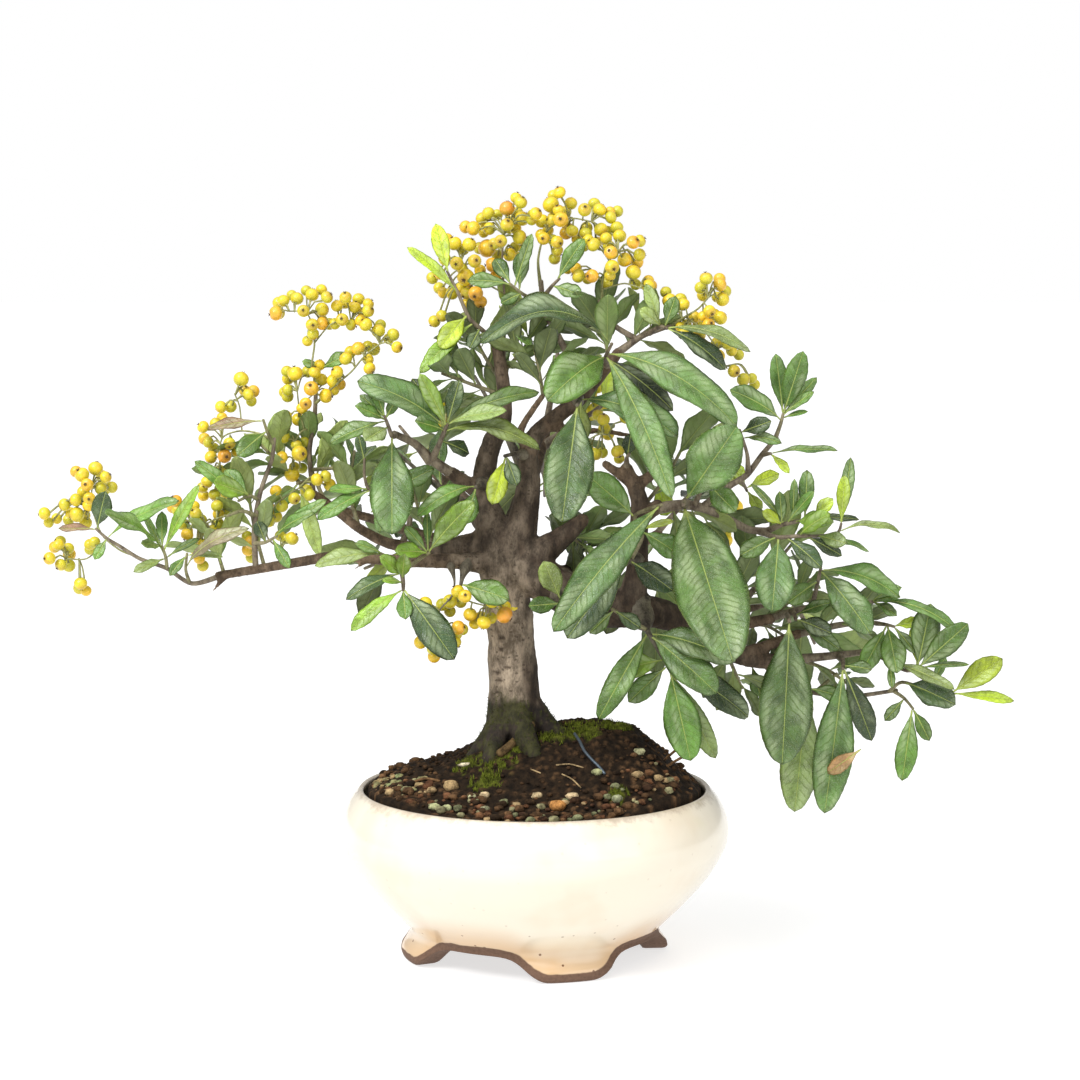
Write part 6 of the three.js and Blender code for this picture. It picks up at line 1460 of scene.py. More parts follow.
@made_once
def berry_finish():
    """Waxy berry skin: olive at the stalk, flushed toward the star and brown round it, with fine pores."""
    material, nodes, shader = new_finish("berry", Coat_Weight=0.25, Coat_Roughness=0.2)
    high = nodes.split(nodes.attribute("place", "Vector"))[0]
    tint = nodes.attribute("tint", "Color")
    where = nodes.place()
    cloud = nodes.noise(where, 0.45, 3.0)
    blush = nodes.times(nodes.step(high, -0.4, 0.9), nodes.step(cloud, 0.32, 0.6))
    pores = nodes.group(speckle_group(), Place=where, Scale=1.5, Size=0.16, Share=0.4)
    tone = nodes.mix(nodes.step(cloud, 0.4, 0.7), tint, nodes.mix(0.35, tint, CLOUDED_BERRY))
    tone = nodes.wash(tone, nodes.step(high, -0.2, -0.95), 0.4, STALK_END)
    tone = nodes.wash(tone, blush, 0.45, BLUSH_TONE)
    tone = nodes.wash(tone, nodes.step(high, 0.76, 0.92), 0.6, STAR_RING)
    tone = nodes.wash(tone, pores["Mask"], 0.2, BERRY_PORE)
    nodes.put(shader["Base Color"], tone)
    nodes.put(shader["Roughness"], nodes.plus(0.3, nodes.times(cloud, 0.16)))
    nodes.put(shader["Normal"], nodes.bump(nodes.noise(where, 1.3, 3.0), 0.12, 0.5))
    return material


@made_once
def star_finish(sizes):
    """The dry star at a berry's end."""
    material, nodes, shader = new_finish("star", Roughness=0.8)
    grain = nodes.noise(nodes.place(), 2.5, 4.0)
    nodes.put(shader["Base Color"], nodes.mix(grain, sizes.star, STAR_LIGHT))
    return material


@made_once
def bark_finish(sizes):
    """Bark: its painted tone with lengthwise grain and dark pores."""
    material, nodes, shader = new_finish("bark", Specular_IOR_Level=0.3)
    tint = nodes.attribute("tint", "Color")
    grain = nodes.group(grain_group(), Place=nodes.place((1, 1, 0.5)), Scale=1.4)
    dark, light = nodes.shaded(tint, (0.42, 0.39, 0.35)), nodes.shaded(tint, (1.6, 1.56, 1.5))
    tone = nodes.mix(grain["Shade"], dark, light)
    where = nodes.place((0.8, 0.8, 1.2))
    pores = nodes.group(speckle_group(), Place=where, Scale=0.5, Size=0.27, Share=0.4)
    nodes.put(shader["Base Color"], nodes.wash(tone, pores["Mask"], 0.6, sizes.scar))
    nodes.put(shader["Roughness"], nodes.plus(0.62, nodes.times(grain["Height"], 0.3)))
    nodes.put(shader["Normal"], nodes.bump(grain["Height"], 0.7, 0.9))
    return material


@made_once
def grit_finish():
    """Earth, crumbs, pebbles and moss: the painted tone with fine grain."""
    material, nodes, shader = new_finish("grit", Roughness=0.88, Specular_IOR_Level=0.15)
    tint = nodes.attribute("tint", "Color")
    grain = nodes.group(grain_group(), Place=nodes.place(), Scale=1.9)
    dark, light = nodes.shaded(tint, (0.3, 0.28, 0.26)), nodes.shaded(tint, (1.5, 1.45, 1.35))
    nodes.put(shader["Base Color"], nodes.mix(grain["Shade"], dark, light))
    nodes.put(shader["Normal"], nodes.bump(grain["Height"], 0.5, 0.8))
    return material


@made_once
def wire_finish(sizes):
    """Dark soft wire."""
    material, nodes, shader = new_finish("wire", Metallic=0.7, Roughness=0.45)
    nodes.put(shader["Base Color"], nodes.mix(nodes.noise(nodes.place(), 0.8), sizes.wire, WIRE_LIGHT))
    return material


@made_once
def glaze_finish(sizes):
    """Cream glaze over a clay body, bare along the lower edge, with iron specks and an earthy lip that is
    partly painted shade.
    """
    material, nodes, shader = new_finish("glaze", Coat_Roughness=0.08)
    over_edge, height = nodes.split(nodes.attribute("place", "Vector"))[:2]
    where = nodes.place()
    ripple = nodes.times(nodes.minus(nodes.noise(where, 0.12, 2.0), 0.5), 2.2)
    band = sizes.bare / MM
    glazed = nodes.step(nodes.plus(over_edge, ripple), band - 0.35, band + 0.35)
    thin = nodes.times(nodes.step(over_edge, band + 15, band), 0.8)
    cloud = nodes.step(nodes.noise(where, 0.03, 3.0), 0.5, 0.72)
    thin = nodes.math("ADD", thin, nodes.times(cloud, 0.18), clamp=True)
    specks = nodes.group(speckle_group(), Place=where, Scale=0.24, Size=0.13, Share=0.28)
    low = nodes.step(height, 30, 8)
    rust = nodes.times(specks["Mask"], nodes.plus(0.1, nodes.times(low, 0.8)))
    # Brown blotches round the top of the bowl: partly stains, partly painted shade of the foliage over the
    # rim.
    stain_and_shade_edge = nodes.times(nodes.step(nodes.noise(where, 0.16, 5.0, 0.7), 0.35, 0.75), 2.6)
    lip = nodes.step(nodes.plus(height, stain_and_shade_edge), *LIP_STAIN_AND_SHADE)
    glaze = nodes.mix(thin, sizes.glaze, sizes.warm)
    glaze = nodes.mix(rust, glaze, sizes.rust)
    glaze = nodes.wash(glaze, lip, 0.42, sizes.rust)
    earth = nodes.noise(where, 0.9, 6.0, 0.7)
    shaded_clay = nodes.mix(0.4, sizes.clay, CLAY_SHADE)
    clay = nodes.mix(nodes.step(earth, 0.35, 0.65), shaded_clay, sizes.clay)
    nodes.put(shader["Base Color"], nodes.mix(glazed, clay, glaze))
    nodes.put(shader["Roughness"], nodes.minus(0.8, nodes.times(glazed, 0.58)))
    nodes.put(shader["Coat Weight"], nodes.times(glazed, 0.5))
    grainy = nodes.times(earth, nodes.minus(1.0, glazed))
    waves = nodes.times(nodes.noise(where, 0.09, 2.0), 1.2)
    surface = nodes.plus(nodes.plus(grainy, waves), nodes.times(glazed, 0.5))
    nodes.put(shader["Normal"], nodes.bump(surface, 0.35, 0.5))
    return material


# How dusty the leaves of a tone are; the others are nearly clean.
DUSTINESS = {PALE: 0.9, GREY: 0.6, DARK: 0.45, GREEN: 0.3, OLIVE: 0.2}
CLEAN = 0.08


def tone_of(sizes, tone, seed, across=0.0):
    """The tint of a leaf of this tone, unlike its neighbours, with painted light that makes it lighter toward
    the left, and its dust.
    """
    # Painted light: leaves toward the left are made up to 36 % lighter, as the light falls from the left.
    value = (0.76 + 0.65 * draw(seed * 3.1 + 7)) * (1 + 0.36 * float(smoothstep(-across, 0, 90)))
    warm = 1 + 0.1 * (draw(seed * 1.7 + 2) - 0.5)
    red, green, blue = getattr(sizes, tone)
    return (red * value * warm, green * value, 0.84 * blue * value / warm), DUSTINESS.get(tone, CLEAN)


def add_stems(skin, stems, wood, sides=8, young=0.0):
    """Adds the stems of a spray: the thickest as dark branches, the others greener as they get thinner."""
    for stem in stems:
        radius = stem[0][3]
        branch = radius > BRANCH
        tint = blend_colours(wood.shoot, wood.twig, min(max((radius - 0.8 - young) / 0.8, 0), 1))
        path = smooth_path(stem, 1.6)
        path[:, 3] *= (SLIM_TWIG + (1 - SLIM_TWIG) * smoothstep(path[:, 3], 1.4, 4)) * (1 - 0.3 * young)
        add_tube(skin, path, 2 * sides if branch else sides, 1, wood.brown if branch else tint)


def spray_settings(context):
    """The settings of the leaves and the wood, and a spray's finishes."""
    scene = context.scene
    return scene.firethorn_leaves, scene.firethorn_wood, [leaf_finish(scene.firethorn_leaves), twig_finish()]


class FIRETHORN_OT_sprays(bpy.types.Operator):
    """Build the leafy sprays that the photograph shows"""

    bl_idname = "firethorn.sprays"
    bl_label = "Leafy sprays"

    def execute(self, context):
        sizes, wood, finishes = spray_settings(context)
        for number, (name, spray) in enumerate(SPRAYS.items()):
            node = "leaves_" + name
            tree = corners_of(node)
            skin = Skin()
            add_stems(skin, spray.stems, wood)
            for k, row in enumerate(spray.leaves):
                offers = [front_leaf(spray.stems, row, shift) for shift in SHIFTS]
                seed = 40 * number + k
                tint, dusty = tone_of(sizes, row[8], seed, row[2])
                add_leaf(skin, fitted(tree, offers) or offers[0], tint, dusty, seed, sizes)
            settle(skin.piece("spray_" + name, finishes), "leaves", node)
        return {"FINISHED"}


class FIRETHORN_OT_small_leaves(bpy.types.Operator):
    """Build the small leaves that fill the tree between its sprays"""

    bl_idname = "firethorn.small_leaves"
    bl_label = "Small leaves"

    def execute(self, context):
        sizes, wood, finishes = spray_settings(context)
        for number, (stem, leaves, size, tones) in enumerate(SMALL_LEAVES):
            skin = Skin()
            add_stems(skin, [stem], wood)
            for k in range(leaves):
                seed = 70 * number + k + 9000
                tint, dusty = tone_of(sizes, tones[k % len(tones)], seed, stem[-1][0])
                add_leaf(skin, far_leaf(stem, leaves, size, number + 31, k, 0), tint, dusty, seed, sizes)
            settle(skin.piece("small_leaves_%d" % (number + 1), finishes), "leaves")
        return {"FINISHED"}


class FIRETHORN_OT_far_sprays(bpy.types.Operator):
    """Build the leafy sprays on the far side"""

    bl_idname = "firethorn.far_sprays"
    bl_label = "Leafy sprays on the far side"

    def execute(self, context):
        sizes, wood, finishes = spray_settings(context)
        tones = (GREEN, DARK, FRESH, GREY, LIME, GREEN, DEEP, PALE)
        for name, (stem, leaves, size, seed) in FAR_SPRAYS.items():
            node = "back_" + name
            tree = corners_of(node)
            skin = Skin()
            add_stems(skin, [stem], wood)
            for k in range(leaves):
                leaf = fitted(tree, [far_leaf(stem, leaves, size, seed, k, n) for n in range(FAR_TRIES)])
                if leaf:
                    tint, dusty = tone_of(sizes, tones[(3 * seed + k) % len(tones)], 50 * seed + k)
                    add_leaf(skin, leaf, tint, dusty, 50 * seed + k, sizes)
            settle(skin.piece("far_spray_" + name, finishes), "leaves", node)
        return {"FINISHED"}


def between(berries, seed):
    """More berries, close behind those of a bunch, where there is room: (foot, centre, radius) each."""
    more = []
    for k, (foot, centre, radius) in enumerate(berries):
        turn = 2 * math.pi * draw(seed + 2.1 * k)
        out = Vector((math.cos(turn), 0, math.sin(turn))) * (radius * (0.9 + 0.7 * draw(seed + 3.3 * k)))
        spot = centre + out + AHEAD * (radius * (1.3 + 1.6 * draw(seed + 4.7 * k)))
        size = 2.1 + 0.5 * draw(seed + 5.9 * k)
        room = min((other - spot).length - reach - size for _, other, reach in berries + more)
        if room > BERRY_ROOM and (foot - spot).length > size + 1:
            more.append((foot, spot, size))
    return more


def berry_tint(sizes, radius, ripeness, seed):
    """The larger berries are riper: green, then yellow, then orange."""
    ripe = 0.3 * min(max((radius - 2.35) / 0.9, 0), 1) + 0.75 * draw(seed * 2.9 + 4) ** 2
    ripe *= ripeness
    if ripe < 0.5:
        return blend_colours(sizes.green, sizes.yellow, min(max(ripe * 2, 0), 1))
    return blend_colours(sizes.yellow, sizes.orange, min(ripe * 2 - 1, 1))


def far_bunch(name, stalk, number, seed):
    """The stalks of a bunch on the far side, and those of its berries that its node has."""
    tree = corners_of("berries_back_" + name)
    berries = []
    for foot, centre, radius in far_berries(stalk, number, seed):
        top = centre + (centre - foot).normalized() * (radius * BERRY_TOP)
        if tree.find(top)[2] < TIP_REACH:
            berries.append((foot, centre, radius))
    return [stalk], berries


# How ripe the berries of the far side are, and how young the stalks of a bunch look.
FAR_RIPENESS = 0.6
YOUNG_STALK = 0.8


class FIRETHORN_OT_bunches(bpy.types.Operator):
    """Build the berry bunches, near and far"""

    bl_idname = "firethorn.bunches"
    bl_label = "Berry bunches"

    def execute(self, context):
        sizes, wood = context.scene.firethorn_berries, context.scene.firethorn_wood
        finishes = [berry_finish(), twig_finish(), star_finish(sizes)]
        made = {name: (bunch.stalks, placed_berries(bunch)) for name, bunch in BUNCHES.items()}
        for name, row in FAR_BUNCHES.items():
            made["back_" + name] = far_bunch(name, *row)
        for number, (name, (stalks, berries)) in enumerate(made.items()):
            near = not name.startswith("back")
            skin = Skin()
            add_stems(skin, stalks, wood, 7, YOUNG_STALK)
            berries += between(berries, 60 * number)
            if near:
                berries += between(berries, 60 * number + 17)
            for k, (foot, centre, radius) in enumerate(berries):
                seed = 60 * number + k
                tint = berry_tint(sizes, radius, 1.0 if near else FAR_RIPENESS, seed)
                add_berry(skin, foot, centre, radius, tint, seed, sizes)
            settle(skin.piece("bunch_" + name, finishes), "berries", "berries_" + name)
        return {"FINISHED"}


def joined(piece, grain):
    """Joins overlapping closed skins into one surface of cells of this size, and gives its new mesh."""
    remesh = piece.modifiers.new("Join", "REMESH")
    remesh.mode = "VOXEL"
    remesh.voxel_size = grain
    remesh.use_smooth_shade = True
    smooth = piece.modifiers.new("Smooth", "SMOOTH")
    smooth.factor = 0.5
    smooth.iterations = 3
    ready = piece.evaluated_get(bpy.context.evaluated_depsgraph_get())
    mesh = bpy.data.meshes.new_from_object(ready)
    piece.modifiers.clear()
    piece.data = mesh
    return mesh


def vectors_of(collection, key):
    """The places or the normals of a mesh, as rows."""
    values = np.empty(len(collection) * 3, np.float32)
    collection.foreach_get(key, values)
    return values.reshape(-1, 3).astype(float)


# Large pores of the trunk's front as (across, up), their depth before the axis, half sizes and dent in mm.
PORES = [(-14, 108), (-15, 111), (-11, 113.5), (-14.5, 103), (-13.5, 120.5), (-13, 125)]
PORE_TOWARD = 9.5
PORE_SIZE = (1.5, 0.95)
PORE_DENT = 0.35
# Thorns, which are limbs.
THORNS = [
    [(-122, 151.2, 14, 1.3), (-127, 146, 14.5, 0.8), (-131, 141, 16, 0.25)],
    [(-64, 158.5, 11, 1.2), (-69, 154.5, 13, 0.7), (-74, 152, 15, 0.25)],
]

# The heights in mm up to which the trunk's foot is damp, is mossy, and between which its painted lit side
# ends, giving way to painted shade under the crown.
DAMP_UP_TO = 105
MOSSY_UP_TO = 109
PAINTED_LIGHT_END = (138, 166)


def bark_at(sizes, point, thick, pores):
    """The bark at a point of a limb this thick: its tone, its rise in mm and how mossy it is."""
    x, y, z = point
    girth = min(max((thick - 1.2) / 7, 0), 1)
    ridge = sizes.ridge / MM
    long_grain = noise.noise((x * 0.33, y * 0.33, z * 0.07))
    knots = noise.noise((x * 0.12 + 7, y * 0.12, z * 0.1))
    fine = noise.noise((x * 0.9, y * 0.9 + 3, z * 0.35))
    rise = girth * (ridge * long_grain + 1.1 * ridge * knots) + (0.12 + 0.18 * girth) * fine
    # Painted light and shade: the trunk's left side gets the pale lit tone and its right side the brown
    # shaded tone. Higher up, under the crown, the lit tone fades into painted shade.
    painted_lit_side = float(smoothstep(-x - 4 + 0.05 * (z - 110) + 6 * knots, -4, 3))
    painted_lit_side *= 1 - 0.8 * float(smoothstep(z + 8 * knots, *PAINTED_LIGHT_END))
    tone = blend_colours(sizes.brown, sizes.pale, min(max(painted_lit_side * 0.95 + 0.3 * long_grain, 0), 1))
    tone = blend_colours(sizes.twig, tone, float(smoothstep(thick, 1.4, 4.0)))
    damp = float(smoothstep(DAMP_UP_TO + 6 * knots - z, 0, 6))
    tone = blend_colours(tone, sizes.damp, damp * 0.95)
    moss = float(smoothstep(MOSSY_UP_TO + 7 * knots - z, 0, 8))
    moss *= float(smoothstep(fine + 1.5 * knots, 0, 0.4))
    tone = blend_colours(tone, sizes.moss, moss * 0.45)
    if thick > 6 and y < 4:
        for pore in pores:
            away = math.hypot((x - pore[0]) / PORE_SIZE[0], (z - pore[2]) / PORE_SIZE[1])
            dark = float(smoothstep(1.2 - away, 0, 0.7))
            tone = blend_colours(tone, sizes.scar, dark * 0.9)
            rise -= PORE_DENT * dark
    return tone, rise, moss


class FIRETHORN_OT_wood(bpy.types.Operator):
    """Build the trunk with its moss, the branches and the thorns"""

    bl_idname = "firethorn.wood"
    bl_label = "Trunk and branches"

    def execute(self, context):
        sizes = context.scene.firethorn_wood
        skin = Skin()
        for limb in LIMBS + THORNS:
            add_tube(skin, smooth_path(limb, 2.5), 18 if limb[0][3] > 4 else 10, 0, sizes.pale)
        piece = skin.piece("trunk_and_branches", [])
        mesh = joined(piece, sizes.grain)

        samples = np.vstack([smooth_path(limb, 2.0) for limb in LIMBS + THORNS])
        limbs = kdtree.KDTree(len(samples))
        for i, sample in enumerate(samples):
            limbs.insert(sample[:3], i)
        limbs.balance()
        points = vectors_of(mesh.vertices, "co") / MM - np.array(AXIS)
        normals = vectors_of(mesh.vertex_normals, "vector")
        pores = [seen(across, up, PORE_TOWARD) for across, up in PORES]
        moved, tints, mossy = [], [], []
        for point, normal in zip(points, normals):
            thick = samples[limbs.find(point)[1]][3]
            tone, rise, moss = bark_at(sizes, point, thick, pores)
            moved.append(point + normal * rise)
            tints.append(tone)
            mossy.append(moss)
        mesh.vertices.foreach_set("co", ((np.array(moved) + np.array(AXIS)) * MM).ravel())
        paint(mesh, np.array(tints))
        mesh.materials.clear()
        mesh.materials.append(bark_finish(sizes))
        mesh.update()
        settle(piece, "bark", "wood")

        grown = [i for i, moss in enumerate(mossy) if moss > 0.35]
        fuzz = Skin()
        for k in range(sizes.fuzz):
            i = grown[int(draw(k * 1.9 + 3) * len(grown))]
            way = Vector(normals[i]) * (0.5 + 0.5 * draw(k * 2.2)) + Vector((0, 0, 0.7 * draw(k * 3.7)))
            add_blade(fuzz, Vector(moved[i]), way * (0.7 + 0.7 * draw(k + 8)), sizes.moss, k)
        settle(fuzz.piece("trunk_moss", [grit_finish()]), "bark")
        return {"FINISHED"}


# Patches of moss on the soil as (across, up, reach).
MOSS_SPOTS = [
    (9, 87, 8), (20, 89, 9), (-19, 68, 7), (-14, 78, 8), (-2, 90, 9), (33, 90, 6), (-28, 74, 5), (34, 62, 4),
]
# Points round the soil, and the rings of its hidden wall as (height, radius).
SOIL_POINTS = 220
SOIL_WALL = [(SOIL_FLOOR, 50), (40, 65), (58, 66.8), (63, 66.3)]


def moss_cloud(x, y):
    """The clouds that break up the moss on the soil."""
    return noise.noise((x * 0.3, y * 0.3, 6))


def on_circle(radius, turn):
    """The x and y of a point at this radius and turn."""
    return radius * math.cos(turn), radius * math.sin(turn)


def soil_at(sizes, radius, turn, spots):
    """A point of the crumbly soil and its tone."""
    x, y = on_circle(radius, turn)
    crumb = sizes.crumb / MM
    cells = noise.voronoi((x * 0.34, y * 0.34, 1))[0][0]
    fine = noise.voronoi((x * 0.8, y * 0.8, 4))[0][0]
    broad = noise.noise((x * 0.09, y * 0.09, 2))
    rise = crumb * (0.75 - 1.1 * cells) + crumb * 0.5 * (0.4 - fine) + 1.2 * broad
    height = soil_height(x, y) + rise * min((SOIL_RADIUS - radius) / 3 + 0.2, 1)
    near = max(1 - math.hypot(x - spot.x, y - spot.y) / reach for spot, reach in spots)
    mossy = float(smoothstep(near + 0.9 * moss_cloud(x, y), 0, 0.5))
    crumbly = 0.28 + 0.5 * float(smoothstep(radius, 38, 60))
    tone = blend_colours(sizes.earth, sizes.dry, float(smoothstep(0.5 - cells, 0, 0.4)) * crumbly)
    return (x, y, height), blend_colours(tone, sizes.moss, 0.65 * mossy)


def soil_heap(sizes, spots):
    """The heaped soil with its wall inside the bowl."""
    turns = 2 * np.pi * np.arange(SOIL_POINTS) / SOIL_POINTS
    rings, tints = [], []
    for level, radius in SOIL_WALL:
        rings.append([(*on_circle(radius, turn), level) for turn in turns])
        tints.append([tuple(sizes.earth)] * SOIL_POINTS)
    for radius in (SOIL_RADIUS * (1 - np.arange(sizes.rings) / sizes.rings) ** 0.9)[:-1]:
        row, tones = zip(*(soil_at(sizes, radius, turn, spots) for turn in turns))
        rings.append(row)
        tints.append(tones)
    tint = np.array(tints).reshape(-1, 3)
    tint = np.vstack([tint, tint[:1], tint[-1:]])
    skin = Skin()
    skin.add_rings(rings, (0, 0, SOIL_FLOOR), (0, 0, soil_height(0, 0)), 0, tint)
    return skin


def soil_crumbs(sizes):
    """Loose crumbs, larger and drier toward the rim."""
    skin = Skin()
    for k in range(sizes.crumbs):
        radius = SOIL_RADIUS * math.sqrt(draw(3 * k + 1)) * 0.97
        x, y = on_circle(radius, 2 * math.pi * draw(3 * k + 2))
        outer = float(smoothstep(radius, 34, 56))
        size = 0.4 + (0.7 + 1.2 * outer) * draw(7 * k + 5) ** 3
        tone = blend_colours(sizes.earth, sizes.dry, draw(5 * k + 3) * (0.25 + 0.75 * outer))
        place = (x, y, soil_height(x, y) + 0.5 * size)
        add_stone(skin, place, (size, size * 0.9, size * 0.75), tone, k)
    return skin


def soil_moss(sizes, spots):
    """Blades of moss that stand in the patches."""
    skin = Skin()
    for k in range(sizes.tufts):
        spot, reach = spots[k % len(spots)]
        away = reach * math.sqrt(draw(3 * k + 11))
        turn = 2 * math.pi * draw(3 * k + 12)
        x, y = spot.x + away * math.cos(turn), spot.y + away * math.sin(turn)
        if math.hypot(x, y) < SOIL_RADIUS - 2 and moss_cloud(x, y) > -0.15:
            lean, around = 0.7 * draw(k * 3.3), 2 * math.pi * draw(k * 2.7)
            way = Vector((*on_circle(lean, around), 1)) * (0.8 + 1.2 * draw(k + 5))
            add_blade(skin, Vector((x, y, soil_height(x, y) + 0.3)), way, sizes.moss, k)
    return skin


class FIRETHORN_OT_soil(bpy.types.Operator):
    """Build the heaped soil with its loose crumbs and moss"""

    bl_idname = "firethorn.soil"
    bl_label = "Soil"

    def execute(self, context):
        sizes = context.scene.firethorn_soil
        finish = [grit_finish()]
        spots = [(on_soil(across, up), reach) for across, up, reach in MOSS_SPOTS]
        settle(soil_heap(sizes, spots).piece("soil_heap", finish), "soil", "soil")
        settle(soil_crumbs(sizes).piece("soil_crumbs", finish), "soil")
        settle(soil_moss(sizes, spots).piece("soil_moss", finish), "soil")
        return {"FINISHED"}


# A stone: the points round it, the heights of its rings as shares, and how uneven it is.
STONE_SIDES = 8
STONE_LEVELS = (-0.75, -0.3, 0.25, 0.72)
CRUMB_ROUGH = 0.28
STONE_ROUGH = 0.2


def add_stone(skin, centre, radii, tint, seed, rough=CRUMB_ROUGH):
    """Adds a small uneven stone."""
    turns = 2 * np.pi * np.arange(STONE_SIDES) / STONE_SIDES
    rings = []
    tilt = 2 * math.pi * draw(seed * 1.3)
    for level in STONE_LEVELS:
        wide = math.sqrt(1 - level * level)
        ring = []
        for n, turn in enumerate(turns):
            bulge = 1 + rough * (2 * draw(seed * 17 + n * 3 + level * 11) - 1)
            ring.append((
                centre[0] + radii[0] * wide * bulge * math.cos(turn + tilt),
                centre[1] + radii[1] * wide * bulge * math.sin(turn + tilt),
                centre[2] + radii[2] * level,
            ))
        rings.append(ring)
    low = (centre[0], centre[1], centre[2] - radii[2])
    high = (centre[0] + 0.2 * radii[0], centre[1], centre[2] + radii[2] * 0.95)
    skin.add_rings(rings, low, high, 0, tint)


# A blade of moss: how deep its foot sits and how far its three corners stand apart, in mm.
BLADE_DEEP = 0.8
BLADE_WIDE = 0.3


def add_blade(skin, foot, way, tint, seed):
    """Adds a blade of moss that stands up by "way"."""
    turn = 2 * math.pi * draw(seed * 2.7)
    ahead = way.normalized()
    side = any_side(ahead)
    other = ahead.cross(side)
    root = foot - ahead * BLADE_DEEP
    corners = [
        root + (side * math.cos(turn + a) + other * math.sin(turn + a)) * BLADE_WIDE for a in (0, 2.1, 4.2)
    ]
    value = 0.7 + 0.8 * draw(seed * 4.1)
    skin.add(corners + [foot + way], SPIKE, 0, tuple(c * value for c in tint))


# The search for a point of the soil: its steps in mm, and how much worse a mm outside the rim is.
SEARCH_STEP = 0.4
OUTSIDE_WEIGHT = 3


def on_soil(across, up):
    """The point of the soil's face that is seen at (across, up), or the nearest to it inside the rim."""
    nearest = None
    toward = SOIL_RADIUS
    while toward > -SOIL_RADIUS:
        point = seen(across, up, toward)
        toward -= SEARCH_STEP
        outside = math.hypot(point.x, point.y) - LITTER_REACH
        above = point.z - soil_height(point.x, point.y)
        if outside <= 0 and above <= 0:
            return point
        off = abs(above) + OUTSIDE_WEIGHT * max(outside, 0)
        if nearest is None or off < nearest[0]:
            nearest = (off, point)
    point = nearest[1]
    inward = min(1, LITTER_REACH / math.hypot(point.x, point.y))
    x, y = point.x * inward, point.y * inward
    return Vector((x, y, soil_height(x, y)))


# Stones on the soil as (across, up, radii, colour).
STONES = [
    (-33.5, 65, (3.2, 2.6, 2.4), "#b39a72"),
    (-27, 74, (3.4, 1.2, 1), "#cfc6ae"),
    (-40, 57, (2.4, 2, 1.6), "#a9ad84"),
    (-35, 56.5, (2, 1.8, 1.5), "#a9ad84"),
    (-25, 61, (2, 1.7, 1.4), "#aeb08c"),
    (-20, 56, (2, 1.8, 1.5), "#a6a888"),
    (25, 71, (2.2, 1.8, 1.4), "#a0a47c"),
    (42, 79, (2.4, 2, 1.6), "#a8a986"),
    (9, 57, (3.6, 2.8, 2.4), "#b5824c"),
    (15, 61, (2.6, 2.2, 1.8), "#bba888"),
    (-20, 61.5, (2.2, 2, 1.6), "#bba888"),
    (1, 61.5, (2.2, 1.8, 1.5), "#b8a684"),
    (33, 60, (2.4, 2.1, 1.8), "#8f9478"),
]
# Gravel: grains of two tones in a patch at the left, and grains of many tones along the front rim.
PATCH_GRAINS = 46
PATCH_TONES = ("#a08a66", "#7f8a62")
RIM_GRAINS = 170
RIM_TONES = ("#5a3d2b", "#6f5038", "#3b2a1e", "#8d8a6a", "#4b3426", "#a58f6c", "#6b4a34", "#7b7f60")

# What lies on the soil: places as (across, up), radius in mm, sides and colour.
WIRE = [(16, 86), (18, 83), (20, 79), (23, 75.5), (26, 72.5), (28, 70)]
WIRE_RADIUS = 0.6
TWIGS = [
    ([(-14, 77), (-10, 80), (-6, 84), (-1, 89)], 1.7, 10, "#5d4c33"),
    ([(52, 75.5), (56, 79), (60, 82)], 0.55, 6, "#6e543a"),
    ([(53, 73), (58, 76), (62, 78)], 0.55, 6, "#6e543a"),
    ([(-50, 66), (-44, 68), (-38, 67)], 0.55, 6, "#6e543a"),
    ([(8.7, 73.6), (14, 74), (19.4, 72.6)], 0.3, 5, "#9c8867"),
    ([(11, 70), (15, 68), (18.5, 64.6)], 0.3, 5, "#9c8867"),
    ([(-1.6, 72), (2.4, 70.4)], 0.3, 5, "#9c8867"),
]
# The most in mm that the depth of a lying thing may change between two of its places.
DEEPEST_STEP = 9

# The dry leaf: the spray and the leaf that it lies on, and its ends as they are seen.
DRY_LEAF_SPRAY = "right_outer"
DRY_LEAF_HOST = (116, 55)
DRY_LEAF_ENDS = [(131, 81), (117, 71)]
DRY_LEAF_SHARE = 0.62
DRY_LEAF_WIDTH = 6.5
DRY_LEAF_ARCH = 2


def soil_stones():
    """The larger stones one by one, and the gravel."""
    skin = Skin()
    for k, (across, up, radii, value) in enumerate(STONES):
        place = on_soil(across, up) + Vector((0, 0, radii[2] * 0.45))
        add_stone(skin, place, radii, linear(value), 31 * k + 5, STONE_ROUGH)
    for k in range(PATCH_GRAINS):
        place = on_soil(-66 + 22 * draw(k * 2 + 1), 63 + 7 * draw(k * 2 + 2))
        size = 0.9 + 0.9 * draw(k * 5)
        tone = blend_colours(*map(linear, PATCH_TONES), draw(k * 9))
        add_stone(skin, place, (size, size, size * 0.8), tone, 900 + k)
    for k in range(RIM_GRAINS):
        turn = math.radians(200 + 140 * draw(k * 3 + 1))
        x, y = on_circle(SOIL_RADIUS - 3 - 15 * draw(k * 3 + 2) ** 1.5, turn)
        size = 0.7 + 1.5 * draw(k * 7 + 4) ** 2
        tone = linear(RIM_TONES[k % len(RIM_TONES)])
        place = (x, y, soil_height(x, y) + 0.5 * size)
        add_stone(skin, place, (size, size * 0.85, size * 0.75), tone, 1300 + k)
    return skin


def lying(places, radius):
    """The path of a thing that lies on the soil, without leaps in its depth."""
    rows = []
    for across, up in places:
        point = on_soil(across, up)
        if rows and abs(point.y - rows[-1][1]) > DEEPEST_STEP:
            point = seen(across, up, -rows[-1][1])
        rows.append((point.x, point.y, point.z + 0.8 * radius + 0.5, radius))
    return through(np.array(rows), 1.5)


